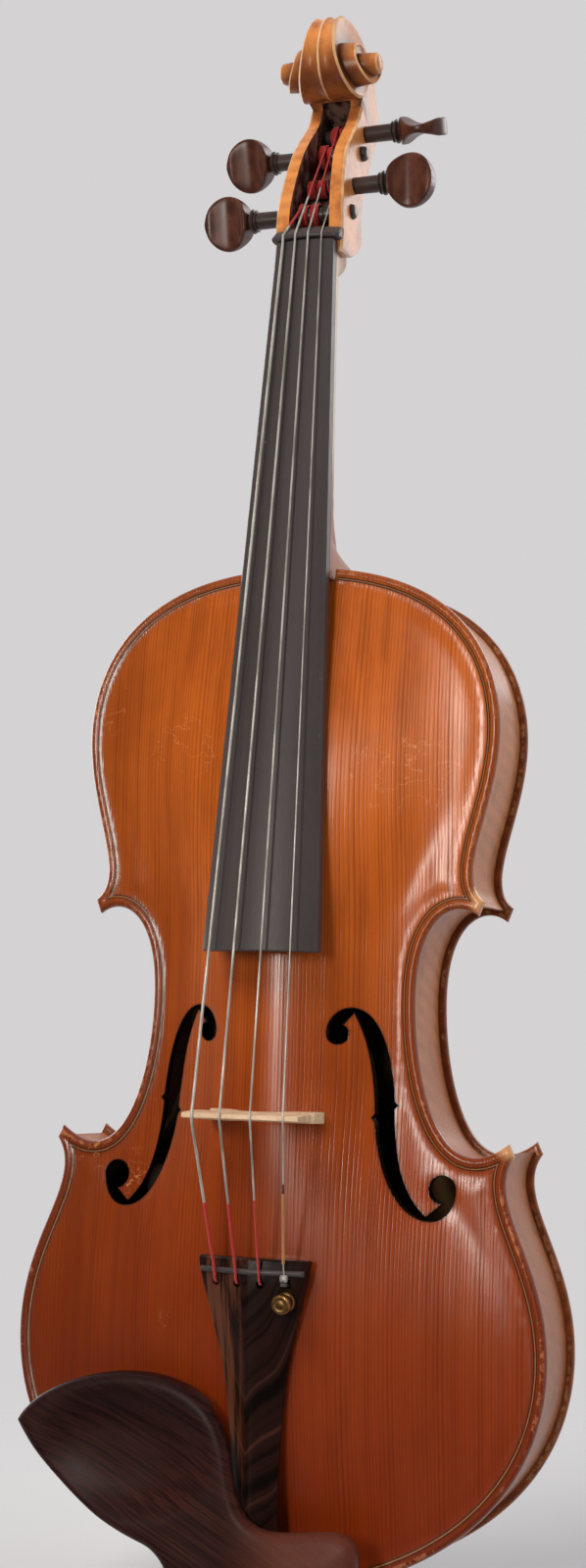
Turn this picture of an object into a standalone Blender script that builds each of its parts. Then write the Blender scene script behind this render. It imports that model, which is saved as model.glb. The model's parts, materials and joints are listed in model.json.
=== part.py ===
"""A four-string viola with its strings, bridge, tailpiece, fine tuner, pegs and chinrest.

Metres, +Z up along the body towards the scroll. The belly faces -Y and the back +Y; +X is the
treble side. The origin is the centre of the end button's outer face. Most sizes are given in the
body's own frame, whose z is 0 at the lowest edge of the plates and whose y is 0 at mid rib.
"""

import math

import bmesh
import bpy
import numpy as np
from mathutils import Matrix, Vector
from mathutils.bvhtree import BVHTree
from mathutils.geometry import delaunay_2d_cdt

# Fits
SEAT_GAP = 0.0003
PEG_GAP = 0.0003

# Plate outline, half of it, in (x, z)
BODY_LENGTH = 0.408
UPPER_HALF_WIDTH = 0.0910
UPPER_WIDEST_Z = 0.3380
UPPER_CORNER = (0.0855, 0.2685)
UPPER_CORNER_FOOT = (0.0832, 0.2627)
WAIST_HALF_WIDTH = 0.0570
WAIST_Z = 0.2290
WAIST_BELOW = 0.0290
WAIST_ABOVE = 0.0210
LOWER_CORNER = (0.0966, 0.1744)
LOWER_CORNER_FOOT = (0.0988, 0.1696)
LOWER_HALF_WIDTH = 0.1124
LOWER_WIDEST_Z = 0.0930

# Plates and ribs
RIB_HEIGHT = 0.038
RIB_THICKNESS = 0.0012
EDGE_OVERHANG = 0.0028
EDGE_THICKNESS = 0.0042
CENTRE_THICKNESS = 0.0031
FRONT_ARCH = 0.0165
BACK_ARCH = 0.0155
EDGE_CHANNEL = 0.0060
PLATE_GRID = 0.0195
PURFLING_INSET = 0.0036
PURFLING_WIDTH = 0.0013
PURFLING_DEPTH = 0.0018
BACK_BUTTON_HALF_WIDTH = 0.0120
BACK_BUTTON_HEIGHT = 0.0130

# Inner woodwork
LINING_THICKNESS = 0.0022
LINING_HEIGHT = 0.0080
CORNER_BLOCK_REACH = 0.020
NECK_BLOCK_HALF_WIDTH = 0.030
NECK_BLOCK_DEPTH = 0.018
END_BLOCK_HALF_WIDTH = 0.024
END_BLOCK_DEPTH = 0.016
BASS_BAR_X = 0.0175
BASS_BAR_WIDTH = 0.0060
BASS_BAR_END_MARGINS = (0.0438, 0.0642)
BASS_BAR_DEPTH = 0.0110
SOUND_POST_X = 0.0190
SOUND_POST_BELOW_BRIDGE = 0.0060
SOUND_POST_RADIUS = 0.0033

# Neck, fingerboard and nut
NECK_LENGTH = 0.146
NECK_MORTISE = 0.0060
HEEL_HALF_WIDTH = 0.0115
NECK_WOOD_AT_NUT = 0.0130
NECK_WOOD_AT_HEEL = 0.0155
NECK_CHIN = (
    (-0.0170, -0.0013, 0.0040, 0.0), (-0.0135, 0.0010, 0.0070, 0.3), (-0.0105, 0.0046, 0.0085, 0.5),
    (-0.0075, 0.0082, 0.0095, 0.6), (-0.0040, 0.0108, 0.0100, 0.65), (0.0005, 0.0116, 0.0100, 0.65),
    (0.0070, 0.0098, 0.0095, 0.65),
)
BOARD_LENGTH = 0.3077
BOARD_HALF_WIDTH_NUT = 0.0132
BOARD_HALF_WIDTH_END = 0.0248
BOARD_SIDE = 0.0048
BOARD_RADIUS = 0.042
BOARD_ARRIS_Y_NUT = -0.0193
BOARD_ARRIS_Y_END = -0.0488
NUT_LENGTH = 0.0060
NUT_HALF_WIDTH = 0.0156
NUT_RISE = 0.0012
NUT_BREAK = 0.0020
NUT_BACK_DROP = 0.0042

# Strings, bass to treble
STRING_NAMES = ("c", "g", "d", "a")
STRING_RADIUS = (0.00060, 0.00050, 0.00042, 0.00030)
STRING_NUT_SPREAD = 0.0176
STRING_BRIDGE_SPREAD = 0.0382
STRING_TAIL_SPREAD = 0.0292
STRING_LIFT = 0.0002
STRING_WOUND_LIFTS = (0.0010, 0.0010, 0.0010, 0.0004)
STRING_PEG_X = (-0.0064, -0.0031, 0.0003, 0.0072)

# Bridge
BODY_STOP = 0.2262
BRIDGE_FOOT_HALF_WIDTH = 0.0243
BRIDGE_FOOT_LENGTH = 0.0115
BRIDGE_TOP_HALF_WIDTH = 0.0248
BRIDGE_OUTER_STRING_Y = -0.0670
BRIDGE_INNER_STRING_Y = -0.0694
BRIDGE_FOOT_THICKNESS = 0.0046
BRIDGE_TOP_THICKNESS = 0.0018

# Sound holes, the treble one, in (x, z)
HOLE_UPPER_EYE = (0.0279, 0.2149)
HOLE_UPPER_EYE_RADIUS = 0.0040
HOLE_LOWER_EYE = (0.0702, 0.1560)
HOLE_LOWER_EYE_RADIUS = 0.0054
HOLE_TOP = (0.0329, 0.2252)
HOLE_BOTTOM = (0.0660, 0.1437)
HOLE_UPPER_WING = (0.0339, 0.2237)
HOLE_LOWER_WING = (0.0641, 0.1453)
HOLE_OUTER_NICK = (0.0513, 0.1875)
HOLE_INNER_NICK = (0.0415, 0.1826)
HOLE_STEM_OUTER_X = 0.0499
HOLE_STEM_INNER_X = 0.0428
HOLE_NICK_HALF = 0.0022

# Pegbox and scroll, in (y, rise over the nut's lower face)
PEG_NAMES = ("c", "a", "g", "d")
PEG_SIDES = (-1, 1, -1, 1)
PEG_AXES = ((-0.0020, 0.0172), (0.0040, 0.0313), (0.0165, 0.0510), (0.0225, 0.0623))
PEG_COLLAR_X = (0.0287, 0.0260, 0.0267, 0.0252)
PEG_TIP_X = (0.0174, 0.0162, 0.0156, 0.0149)
PEG_TURNS = (12.0, 4.0, 18.0, 112.0)
PEG_COLLAR_SHAFT_RADIUS = 0.0039
PEG_TIP_SHAFT_RADIUS = 0.0034
PEG_COLLAR_RADIUS = 0.0055
PEG_COLLAR_WIDTH = 0.0040
PEG_HEAD_LENGTH = 0.0210
PEG_HEAD_HALF_WIDTH = 0.0124
PEG_HEAD_NECK_HALF_WIDTH = 0.0042
PEG_HEAD_HALF_THICKNESS = (
    (0.0, 0.0045), (0.05, 0.0062), (0.12, 0.0056), (0.25, 0.0034), (0.42, 0.0021), (0.56, 0.0021),
    (0.76, 0.0031), (0.90, 0.0040), (1.0, 0.0036),
)
CHEEK_AT_NUT = 0.0064
CHEEK_AT_THROAT = 0.0056
PEGBOX_FLOOR = 0.0050
PEGBOX_STATIONS = (
    ((-0.0147, -0.0048), (-0.0060, -0.0046), 0.0154),
    ((-0.0144, -0.0025), (-0.0009, -0.0034), 0.0157),
    ((-0.0142, 0.0000), (0.0045, -0.0008), 0.0157),
    ((-0.0139, 0.0025), (0.0086, 0.0024), 0.0157),
    ((-0.0137, 0.0053), (0.0106, 0.0048), 0.0157),
    ((-0.0145, 0.0062), (0.0114, 0.0074), 0.0157),
    ((-0.0145, 0.0105), (0.0105, 0.0120), 0.0157),
    ((-0.0139, 0.0190), (0.0116, 0.0205), 0.0153),
    ((-0.0106, 0.0310), (0.0168, 0.0310), 0.0143),
    ((-0.0048, 0.0450), (0.0252, 0.0440), 0.0132),
    ((0.0040, 0.0560), (0.0326, 0.0550), 0.0127),
    ((0.0125, 0.0655), (0.0366, 0.0605), 0.0123),
)
PEGBOX_HOLLOW = (
    (5.12, 0.40, 0.0040), (6.0, 1.0, 0.0040), (7.0, 1.0, 0.0040), (8.0, 1.0, 0.0040), (9.0, 1.0, 0.0040),
    (10.0, 1.0, 0.0040), (11.0, 1.0, 0.0030), (12.0, 1.0, -0.0006),
)
SCROLL_CENTRE = (0.0085, 0.0898)
SCROLL_THROAT_ANGLE = -60.0
SCROLL_LAST_TURN_ANGLE = 760.0
SCROLL_EYE_ANGLE = 1120.0
SCROLL_STEP = 20.0
SCROLL_BACK_FOOT = (0.0385, 0.0635)
SCROLL_RADII = (
    (0, 0.0293), (45, 0.0274), (90, 0.0247), (120, 0.0218), (150, 0.0193), (180, 0.0179), (210, 0.0168),
    (240, 0.0154), (270, 0.0147), (300, 0.0140), (360, 0.0126), (450, 0.0108), (540, 0.0096),
    (630, 0.0089), (675, 0.0074), (720, 0.0060), (760, 0.0054), (810, 0.0051), (1120, 0.0042),
)
SCROLL_WIDTHS = (
    (-60, 0.0124), (0, 0.0110), (60, 0.0076), (90, 0.0066), (120, 0.0065), (150, 0.0072), (180, 0.0084),
    (210, 0.0104), (240, 0.0122), (270, 0.0136), (300, 0.0139), (360, 0.0139), (450, 0.0140),
    (500, 0.0144), (540, 0.0154), (590, 0.0183), (640, 0.0208), (700, 0.0222), (760, 0.0230), (1120, 0.0236),
)
FLUTE_DEPTH = 0.0015
VOLUTE_SCOOP = 0.0008

# Tail end
END_BUTTON_REACH = 0.0165
END_BUTTON_RADIUS = 0.0075
END_BUTTON_SHANK_RADIUS = 0.0040
END_BUTTON_SHANK = 0.0200
SADDLE_HALF_WIDTH = 0.0180
SADDLE_DEPTH = 0.0070
SADDLE_RISE = 0.0050
SADDLE_LOW_Z = 0.0004
TAIL_GUT_RADIUS = 0.0011
TAIL_GUT_HALF_SPREAD = 0.0045
FRET_Z = 0.1225
FRET_LENGTH = 0.0022
FRET_RISE = 0.0012
TAILPIECE_BOW = 0.0004
TAILPIECE_STATIONS = (
    (0.1275, 0.0234, -0.0415, -0.0460, -0.0505),
    (0.1190, 0.0217, -0.0410, -0.0455, -0.0508),
    (0.1050, 0.0180, -0.0399, -0.0436, -0.0495),
    (0.0850, 0.0135, -0.0384, -0.0410, -0.0470),
    (0.0630, 0.0108, -0.0372, -0.0390, -0.0446),
    (0.0350, 0.0096, -0.0362, -0.0378, -0.0430),
    (0.0060, 0.0104, -0.0360, -0.0376, -0.0418),
)
STRING_SLOT_Z = 0.1180
STRING_SLOT_RADIUS = 0.0016

# Fine tuner on the treble string, in its own frame: y into the tailpiece, z towards the fret
TUNER_SEAT = (0.0146, -0.0463, 0.1120)
TUNER_TILT = math.radians(7.7)
TUNER_SCREW_RADIUS = 0.0012
TUNER_KNOB_RADIUS = 0.0040
TUNER_KNOB_HEIGHT = 0.0034
TUNER_KNOB_LIFT = 0.0032
TUNER_COLLAR_RADIUS = 0.0039
TUNER_COLLAR_HEIGHT = 0.0020
TUNER_STEM_RADIUS = 0.0021
TUNER_PLATE_Y = 0.0023
TUNER_PLATE_THICKNESS = 0.0007
TUNER_PLATE_HALF = 0.0030
TUNER_EAR_X = 0.0025
TUNER_LEVER_HALF_WIDTH = 0.0014
TUNER_LEVER_THICKNESS = 0.0012
TUNER_PIVOT_Y = 0.0042
TUNER_PIVOT_Z = 0.0045
TUNER_PIN_RADIUS = 0.00055
TUNER_HOOK_Y = -0.0022
TUNER_HOOK_Z = 0.0067
TUNER_HOOK_SWING = 0.0017

# Chinrest and its clamp
CHINREST_TIP = (-0.0989, 0.0595)
CHINREST_CREST = (-0.0097, 0.0607)
CHINREST_THROAT = (0.0130, 0.0268)
CHINREST_ARM_X = 0.0462
CHINREST_ARM_Z = 0.0200
CHINREST_LOW_Z = -0.0092
CHINREST_LEFT = (-0.0429, 0.0175)
CHINREST_CUP = (-0.0520, 0.0500)
CHINREST_CUP_RADII = (0.0400, 0.0260)
CHINREST_HOLLOW = 0.0065
CHINREST_RIM_Y = -0.0500
CHINREST_ARM_Y = -0.0530
CHINREST_CUP_UNDER_Y = -0.0400
CHINREST_ARM_UNDER_Y = -0.0440
CHINREST_ROUND = 0.0040
CHINREST_GRID = 0.0120
CHINREST_FEET = ((-0.0300, -0.0190), (0.0190, 0.0380))
CHINREST_FOOT_Z = (-0.0080, 0.0115)
CHINREST_CORK = 0.0015
CHINREST_CORK_GAP = 0.0004
CORK_Z = (0.0010, 0.0075)
CLAMP_X = 0.0230
CLAMP_Z = -0.0068
CLAMP_STUD_RADIUS = 0.0013
CLAMP_STUD_ENTRY = 0.0050
CLAMP_BARREL_RADIUS = 0.0033
CLAMP_BARREL_HALF_LENGTH = 0.0120
CLAMP_KEY_RADIUS = 0.0010
CLAMP_BAR_HALF = 0.0022
CLAMP_BAR_MARGIN = 0.0030
CLAMP_BAR_THICKNESS = 0.0018
CLAMP_FOOT_THICKNESS = 0.0022
CLAMP_FOOT_DEPTH = 0.0090

BODY_Z = END_BUTTON_REACH - EDGE_OVERHANG
HALF_RIB = RIB_HEIGHT / 2
NUT_Z = BODY_LENGTH + NECK_LENGTH
BRIDGE_Z = BODY_LENGTH - BODY_STOP
SCROLL_HUB = (SCROLL_CENTRE[0], NUT_Z + SCROLL_CENTRE[1])
TUNER_MATRIX = Matrix.Translation(TUNER_SEAT) @ Matrix.Rotation(TUNER_TILT, 4, "X")


def clear_scene():
    for item in list(bpy.data.objects):
        bpy.data.objects.remove(item, do_unlink=True)


def wood(name, colour, roughness, metallic=0.0):
    """A plain material with the piece's own colour."""
    made = bpy.data.materials.new(name)
    made.use_nodes = True
    shader = made.node_tree.nodes["Principled BSDF"]
    shader.inputs["Base Color"].default_value = (*colour, 1.0)
    shader.inputs["Roughness"].default_value = roughness
    shader.inputs["Metallic"].default_value = metallic
    return made


def place(name, mesh, material, parent, location=(0, 0, 0), smooth=False):
    """Link one finished mesh as a named piece."""
    mesh.name = name
    mesh.materials.clear()
    mesh.materials.append(material)
    item = bpy.data.objects.new(name, mesh)
    bpy.context.collection.objects.link(item)
    item.parent = parent
    item.location = location
    if smooth:
        mesh.shade_smooth()
        mesh.set_sharp_from_angle(angle=math.radians(35))
    return item


def mesh_of(points, faces):
    """A closed mesh with its faces pointing out."""
    mesh = bpy.data.meshes.new("piece")
    mesh.from_pydata([tuple(map(float, point)) for point in points], [], faces)
    work = bmesh.new()
    work.from_mesh(mesh)
    bmesh.ops.remove_doubles(work, verts=work.verts, dist=1e-7)
    bmesh.ops.recalc_face_normals(work, faces=work.faces)
    work.to_mesh(mesh)
    work.free()
    return mesh


def loft(sections):
    """A solid through rings of equal length, with both ends capped."""
    count = len(sections[0])
    points = [point for section in sections for point in section]
    faces = []
    for ring in range(len(sections) - 1):
        for index in range(count):
            near = ring * count + index
            side = ring * count + (index + 1) % count
            faces.append((near, side, side + count, near + count))
    faces.append(tuple(range(count - 1, -1, -1)))
    faces.append(tuple(range(len(points) - count, len(points))))
    return mesh_of(points, faces)


def prism(polygon, near_y, far_y):
    """A flat (x, z) polygon given a thickness along y."""
    return loft([[(x, near_y, z) for x, z in polygon], [(x, far_y, z) for x, z in polygon]])


def box(low, high):
    corners = ((low[0], low[2]), (high[0], low[2]), (high[0], high[2]), (low[0], high[2]))
    return prism(corners, low[1], high[1])


def turned(profile, segments, axis, centre=(0, 0, 0)):
    """A solid of revolution: profile holds (distance along the axis, radius)."""
    rings = []
    for along, radius in profile:
        ring = []
        for step in range(segments):
            angle = 2 * math.pi * step / segments
            across = (radius * math.cos(angle), radius * math.sin(angle))
            point = {"x": (along, across[0], across[1]), "y": (across[1], along, across[0]),
                     "z": (across[0], across[1], along)}[axis]
            ring.append(tuple(point[k] + centre[k] for k in range(3)))
        rings.append(ring)
    return loft(rings)


def combined(base, operation, tools):
    """The base mesh after one exact Boolean with each tool mesh."""
    target = bpy.data.objects.new("target", base)
    bpy.context.collection.objects.link(target)
    cutters = []
    for tool in tools:
        cutter = bpy.data.objects.new("cutter", tool)
        bpy.context.collection.objects.link(cutter)
        cutters.append(cutter)
        step = target.modifiers.new("cut", "BOOLEAN")
        step.operation = operation
        step.solver = "EXACT"
        step.object = cutter
    bpy.context.view_layer.update()
    graph = bpy.context.evaluated_depsgraph_get()
    result = bpy.data.meshes.new_from_object(target.evaluated_get(graph))
    for item in [target, *cutters]:
        bpy.data.objects.remove(item, do_unlink=True)
    work = bmesh.new()
    work.from_mesh(result)
    bmesh.ops.remove_doubles(work, verts=work.verts, dist=2e-6)
    bmesh.ops.dissolve_degenerate(work, edges=work.edges, dist=2e-6)
    work.to_mesh(result)
    work.free()
    return result


def tube(path, radius, sides=8):
    """A round cord along a smooth path, with flat ends."""
    path = [Vector(point) for point in path]
    rings = []
    across = Vector((1, 0, 0))
    for index, point in enumerate(path):
        ahead = path[min(index + 1, len(path) - 1)] - path[max(index - 1, 0)]
        ahead.normalize()
        across = (across - ahead * across.dot(ahead)).normalized()
        other = ahead.cross(across)
        ring = []
        for step in range(sides):
            angle = 2 * math.pi * step / sides
            ring.append(point + across * radius * math.cos(angle) + other * radius * math.sin(angle))
        rings.append(ring)
    return loft(rings)


def bezier(start, pull_a, pull_b, end, count):
    """Points of one cubic curve, both ends included."""
    start, pull_a, pull_b, end = (np.array(p, float) for p in (start, pull_a, pull_b, end))
    t = np.linspace(0, 1, count + 1)[:, None]
    return ((1 - t) ** 3 * start + 3 * (1 - t) ** 2 * t * pull_a
            + 3 * (1 - t) * t ** 2 * pull_b + t ** 3 * end)


def outline_runs():
    """The treble half of the plate outline, from top centre to bottom centre, as smooth runs."""
    upper_right = (UPPER_HALF_WIDTH, UPPER_WIDEST_Z)
    lower_right = (LOWER_HALF_WIDTH, LOWER_WIDEST_Z)
    waist = (WAIST_HALF_WIDTH, WAIST_Z)
    top_rise = BODY_LENGTH - UPPER_WIDEST_Z
    upper_fall = UPPER_WIDEST_Z - UPPER_CORNER[1]
    waist_rise = UPPER_CORNER_FOOT[1] - WAIST_Z
    waist_fall = WAIST_Z - LOWER_CORNER[1]
    lower_fall = LOWER_CORNER_FOOT[1] - LOWER_WIDEST_Z
    shoulder = bezier((0, BODY_LENGTH), (0.81 * UPPER_HALF_WIDTH, BODY_LENGTH),
                      (UPPER_HALF_WIDTH, UPPER_WIDEST_Z + 0.43 * top_rise), upper_right, 7)
    flank = bezier(upper_right, (UPPER_HALF_WIDTH, UPPER_WIDEST_Z - 0.46 * upper_fall),
                   (UPPER_CORNER[0] - 0.0142, UPPER_CORNER[1] + 0.0102), UPPER_CORNER, 7)
    waist_top = bezier(UPPER_CORNER_FOOT,
                       (UPPER_CORNER_FOOT[0] - 0.0092, UPPER_CORNER_FOOT[1] + 0.0073),
                       (WAIST_HALF_WIDTH, WAIST_Z + 1.04 * waist_rise), waist, 6)
    waist_low = bezier(waist, (WAIST_HALF_WIDTH, WAIST_Z - 0.64 * waist_fall),
                       (LOWER_CORNER[0] - 0.0271, LOWER_CORNER[1] - 0.0214), LOWER_CORNER, 6)
    hip = bezier(LOWER_CORNER_FOOT, (LOWER_CORNER_FOOT[0] - 0.0129, LOWER_CORNER_FOOT[1] - 0.0173),
                 (LOWER_HALF_WIDTH, LOWER_WIDEST_Z + 0.50 * lower_fall), lower_right, 6)
    base = bezier(lower_right, (LOWER_HALF_WIDTH, 0.29 * LOWER_WIDEST_Z),
                  (0.36 * LOWER_HALF_WIDTH, 0), (0, 0), 8)
    return [
        np.vstack([shoulder, flank[1:]]),
        np.array([UPPER_CORNER, UPPER_CORNER_FOOT]),
        np.vstack([waist_top, waist_low[1:]]),
        np.array([LOWER_CORNER, LOWER_CORNER_FOOT]),
        np.vstack([hip, base[1:]]),
    ]


def offset_run(run, distance):
    """A run moved towards the middle of the plate, square to itself."""
    steps = np.gradient(run, axis=0)
    steps /= np.linalg.norm(steps, axis=1)[:, None]
    if abs(run[0][0]) < 1e-9:
        steps[0] = (1, 0)
    if abs(run[-1][0]) < 1e-9:
        steps[-1] = (-1, 0)
    return run + distance * np.column_stack([steps[:, 1], -steps[:, 0]])


def crossing(first, second):
    """Where two runs cross first, counted from the end of the one and the start of the other."""
    for i in range(len(first) - 2, -1, -1):
        p, r = first[i], first[i + 1] - first[i]
        for j in range(len(second) - 1):
            q, s = second[j], second[j + 1] - second[j]
            cross = r[0] * s[1] - r[1] * s[0]
            if abs(cross) < 1e-15:
                continue
            t = ((q - p)[0] * s[1] - (q - p)[1] * s[0]) / cross
            u = ((q - p)[0] * r[1] - (q - p)[1] * r[0]) / cross
            if -1e-9 <= t <= 1 + 1e-9 and -1e-9 <= u <= 1 + 1e-9:
                return i, j, p + t * r
    return None


def trimmed(first, second):
    """Two neighbouring runs, cut back to where they cross."""
    found = crossing(first, second)
    if found is None:
        return first, second
    i, j, point = found
    return np.vstack([first[:i + 1], point]), np.vstack([point, second[j + 1:]])


def inset_runs(distance):
    """The outline's runs at a distance inside the edge, trimmed at the corners."""
    runs = [offset_run(run, distance) for run in outline_runs()]
    for corner in (1, 3):
        before, tip, after = runs[corner - 1], runs[corner], runs[corner + 1]
        if crossing(before, after) is None:
            before, tip = trimmed(before, tip)
            tip, after = trimmed(tip, after)
        else:
            before, after = trimmed(before, after)
            tip = after[:1]
        runs[corner - 1], runs[corner], runs[corner + 1] = before, tip, after
    return runs


def cleaned(points, shortest=2e-4):
    """A loop without points that nearly coincide."""
    kept = []
    for point in points:
        if not kept or np.hypot(*(np.array(point) - kept[-1])) > shortest:
            kept.append(np.array(point, float))
    if np.hypot(*(kept[0] - kept[-1])) < shortest:
        kept.pop()
    return kept


def inside(loop, point):
    """Whether a flat point lies in a closed loop."""
    x, z = point
    within = False
    previous = loop[-1]
    for corner in loop:
        if (corner[1] > z) != (previous[1] > z):
            edge_x = (previous[0] - corner[0]) * (z - corner[1]) / (previous[1] - corner[1]) + corner[0]
            if x < edge_x:
                within = not within
        previous = corner
    return within


def distance_to(loop, point):
    """The shortest way from a flat point to a closed loop."""
    ends = np.array(loop)
    starts = np.roll(ends, 1, axis=0)
    spans = ends - starts
    share = ((np.array(point) - starts) * spans).sum(axis=1) / (spans ** 2).sum(axis=1)
    nearest = starts + spans * np.clip(share, 0, 1)[:, None]
    return float(np.hypot(*(nearest - np.array(point)).T).min())


def triangulated(outer, holes, rings, spacing):
    """Flat triangles that fill a loop around its holes and keep the given rings as edges."""
    loops = [outer, *holes, *rings]
    points = []
    edges = []
    for loop in loops:
        first = len(points)
        points.extend(loop)
        edges.extend((first + k, first + (k + 1) % len(loop)) for k in range(len(loop)))
    corners = np.array(outer)
    row_height = spacing * math.sqrt(3) / 2
    for row in range(1, int((corners[:, 1].max() - corners[:, 1].min()) / row_height) + 1):
        z = corners[:, 1].min() + row * row_height
        for column in range(-20, 21):
            point = np.array(((column + 0.5 * (row % 2)) * spacing, z))
            if inside(outer, point) and not any(inside(hole, point) for hole in holes):
                if min(distance_to(loop, point) for loop in loops) > 0.5 * spacing:
                    points.append(point)
    coordinates = [Vector((point[0] * 1000, point[1] * 1000)) for point in points]
    flat, _, faces, _, _, _ = delaunay_2d_cdt(coordinates, edges, [], 0, 1e-6)
    flat = [np.array((point.x, point.y)) / 1000 for point in flat]
    kept = []
    for face in faces:
        middle = sum(flat[k] for k in face) / len(face)
        if inside(outer, middle) and not any(inside(hole, middle) for hole in holes):
            kept.append(tuple(face))
    return flat, kept


def slab(flat, faces, front, back, groove=None, groove_front=None):
    """A closed solid from flat triangles: front and back give y, and a groove has its own front."""
    points = []
    index_of = {}

    def vertex(key, y):
        if key not in index_of:
            index_of[key] = len(points)
            points.append((flat[key[0]][0], y(*flat[key[0]]), flat[key[0]][1]))
        return index_of[key]

    sides = {}
    solid = []
    for face in faces:
        middle = sum(flat[k] for k in face) / len(face)
        sunk = groove is not None and groove(middle)
        level = "groove" if sunk else "front"
        surface = groove_front if sunk else front
        solid.append(tuple(vertex((k, level), surface) for k in face))
        solid.append(tuple(vertex((k, "back"), back) for k in reversed(face)))
        for a, b in zip(face, face[1:] + face[:1]):
            sides.setdefault(frozenset((a, b)), []).append((a, b, level, surface))
    for borders in sides.values():
        a, b, level, surface = borders[0]
        if len(borders) == 1:
            solid.append((vertex((b, level), surface), vertex((a, level), surface),
                          vertex((a, "back"), back), vertex((b, "back"), back)))
        elif level != borders[1][2]:
            other = borders[1]
            solid.append((vertex((b, level), surface), vertex((a, level), surface),
                          vertex((a, other[2]), other[3]), vertex((b, other[2]), other[3])))
    return mesh_of(points, solid)


def smooth_step(value):
    value = min(1.0, max(0.0, value))
    return value * value * (3 - 2 * value)


def arch_half_width(z):
    """Half the width of the arched field at one height, inside the edge channel."""
    lower = LOWER_HALF_WIDTH - EDGE_CHANNEL
    waist = WAIST_HALF_WIDTH - EDGE_CHANNEL
    upper = UPPER_HALF_WIDTH - EDGE_CHANNEL
    if z < LOWER_WIDEST_Z:
        fall = min(1.0, (LOWER_WIDEST_Z - z) / (LOWER_WIDEST_Z - EDGE_CHANNEL))
        return lower * math.sqrt(1 - fall ** 2)
    waist_low, waist_high = WAIST_Z - WAIST_BELOW, WAIST_Z + WAIST_ABOVE
    if z < waist_low:
        return waist + (lower - waist) * smooth_step((waist_low - z) / (waist_low - LOWER_WIDEST_Z))
    if z < waist_high:
        return waist
    if z < UPPER_WIDEST_Z:
        return waist + (upper - waist) * smooth_step((z - waist_high) / (UPPER_WIDEST_Z - waist_high))
    rise = min(1.0, (z - UPPER_WIDEST_Z) / (BODY_LENGTH - EDGE_CHANNEL - UPPER_WIDEST_Z))
    return upper * (1 - rise ** 2.3) ** (1 / 2.3)


def arch_height(x, z, arch):
    """How far the plate's outer face rises over its edge."""
    half_width = arch_half_width(z)
    if half_width < 1e-6:
        return 0.0
    across = min(1.0, abs(x) / half_width)
    middle = BODY_LENGTH / 2
    along = min(1.0, abs(z - middle) / (middle - EDGE_CHANNEL)) ** 2.4
    rise = math.cos(math.pi / 2 * across) ** 1.6 * math.cos(math.pi / 2 * along) ** 1.6
    return arch * rise


def plate_faces(side, arch):
    """The outer, inner and groove heights of a plate on one side of the ribs."""
    hollow = 1 + (EDGE_THICKNESS - CENTRE_THICKNESS) / arch

    def outer(x, z):
        return side * (HALF_RIB + EDGE_THICKNESS + arch_height(x, z, arch))

    def inner(x, z):
        return side * (HALF_RIB + hollow * arch_height(x, z, arch))

    def groove(x, z):
        return outer(x, z) - side * PURFLING_DEPTH

    return outer, inner, groove


def sound_hole(side):
    """One sound hole's edge as a loop of (x, z): two round eyes, two wings and a nicked stem."""
    def around(centre, radius, start, stop, count):
        angles = np.radians(np.linspace(start, stop, count))
        return np.column_stack([centre[0] + radius * np.cos(angles), centre[1] + radius * np.sin(angles)])

    def nick(point, edge_x):
        return [(edge_x, point[1] + HOLE_NICK_HALF), point, (edge_x, point[1] - HOLE_NICK_HALF)]

    upper_left = (HOLE_UPPER_EYE[0] - HOLE_UPPER_EYE_RADIUS, HOLE_UPPER_EYE[1])
    lower_right = (HOLE_LOWER_EYE[0] + HOLE_LOWER_EYE_RADIUS, HOLE_LOWER_EYE[1])
    outer_nick = nick(HOLE_OUTER_NICK, HOLE_STEM_OUTER_X)
    inner_nick = nick(HOLE_INNER_NICK, HOLE_STEM_INNER_X)[::-1]
    parts = [
        bezier(upper_left, (upper_left[0], HOLE_UPPER_EYE[1] + 0.0055),
               (HOLE_TOP[0] - 0.0050, HOLE_TOP[1]), HOLE_TOP, 3)[:-1],
        bezier(HOLE_TOP, (HOLE_TOP[0] + 0.0110, HOLE_TOP[1] + 0.0003),
               (HOLE_STEM_OUTER_X - 0.0010, HOLE_OUTER_NICK[1] + 0.0180), outer_nick[0], 5)[:-1],
        np.array(outer_nick),
        bezier(outer_nick[2], (HOLE_STEM_OUTER_X + 0.0012, HOLE_OUTER_NICK[1] - 0.0220),
               (HOLE_STEM_OUTER_X + 0.0045, HOLE_LOWER_WING[1] + 0.0085), HOLE_LOWER_WING, 5)[1:],
        around(HOLE_LOWER_EYE, HOLE_LOWER_EYE_RADIUS, 270, 0, 8),
        bezier(lower_right, (lower_right[0], HOLE_LOWER_EYE[1] - 0.0075),
               (HOLE_BOTTOM[0] + 0.0055, HOLE_BOTTOM[1]), HOLE_BOTTOM, 3)[1:-1],
        bezier(HOLE_BOTTOM, (HOLE_BOTTOM[0] - 0.0140, HOLE_BOTTOM[1] - 0.0003),
               (HOLE_STEM_INNER_X + 0.0015, HOLE_INNER_NICK[1] - 0.0180), inner_nick[0], 5)[:-1],
        np.array(inner_nick),
        bezier(inner_nick[2], (HOLE_STEM_INNER_X - 0.0016, HOLE_INNER_NICK[1] + 0.0230),
               (HOLE_STEM_INNER_X - 0.0040, HOLE_UPPER_WING[1] - 0.0095), HOLE_UPPER_WING, 5)[1:],
        around(HOLE_UPPER_EYE, HOLE_UPPER_EYE_RADIUS, 72, -150, 7),
    ]
    loop = cleaned(np.vstack(parts), 3e-4)
    return [np.array((side * x, z)) for x, z in loop]


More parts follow.
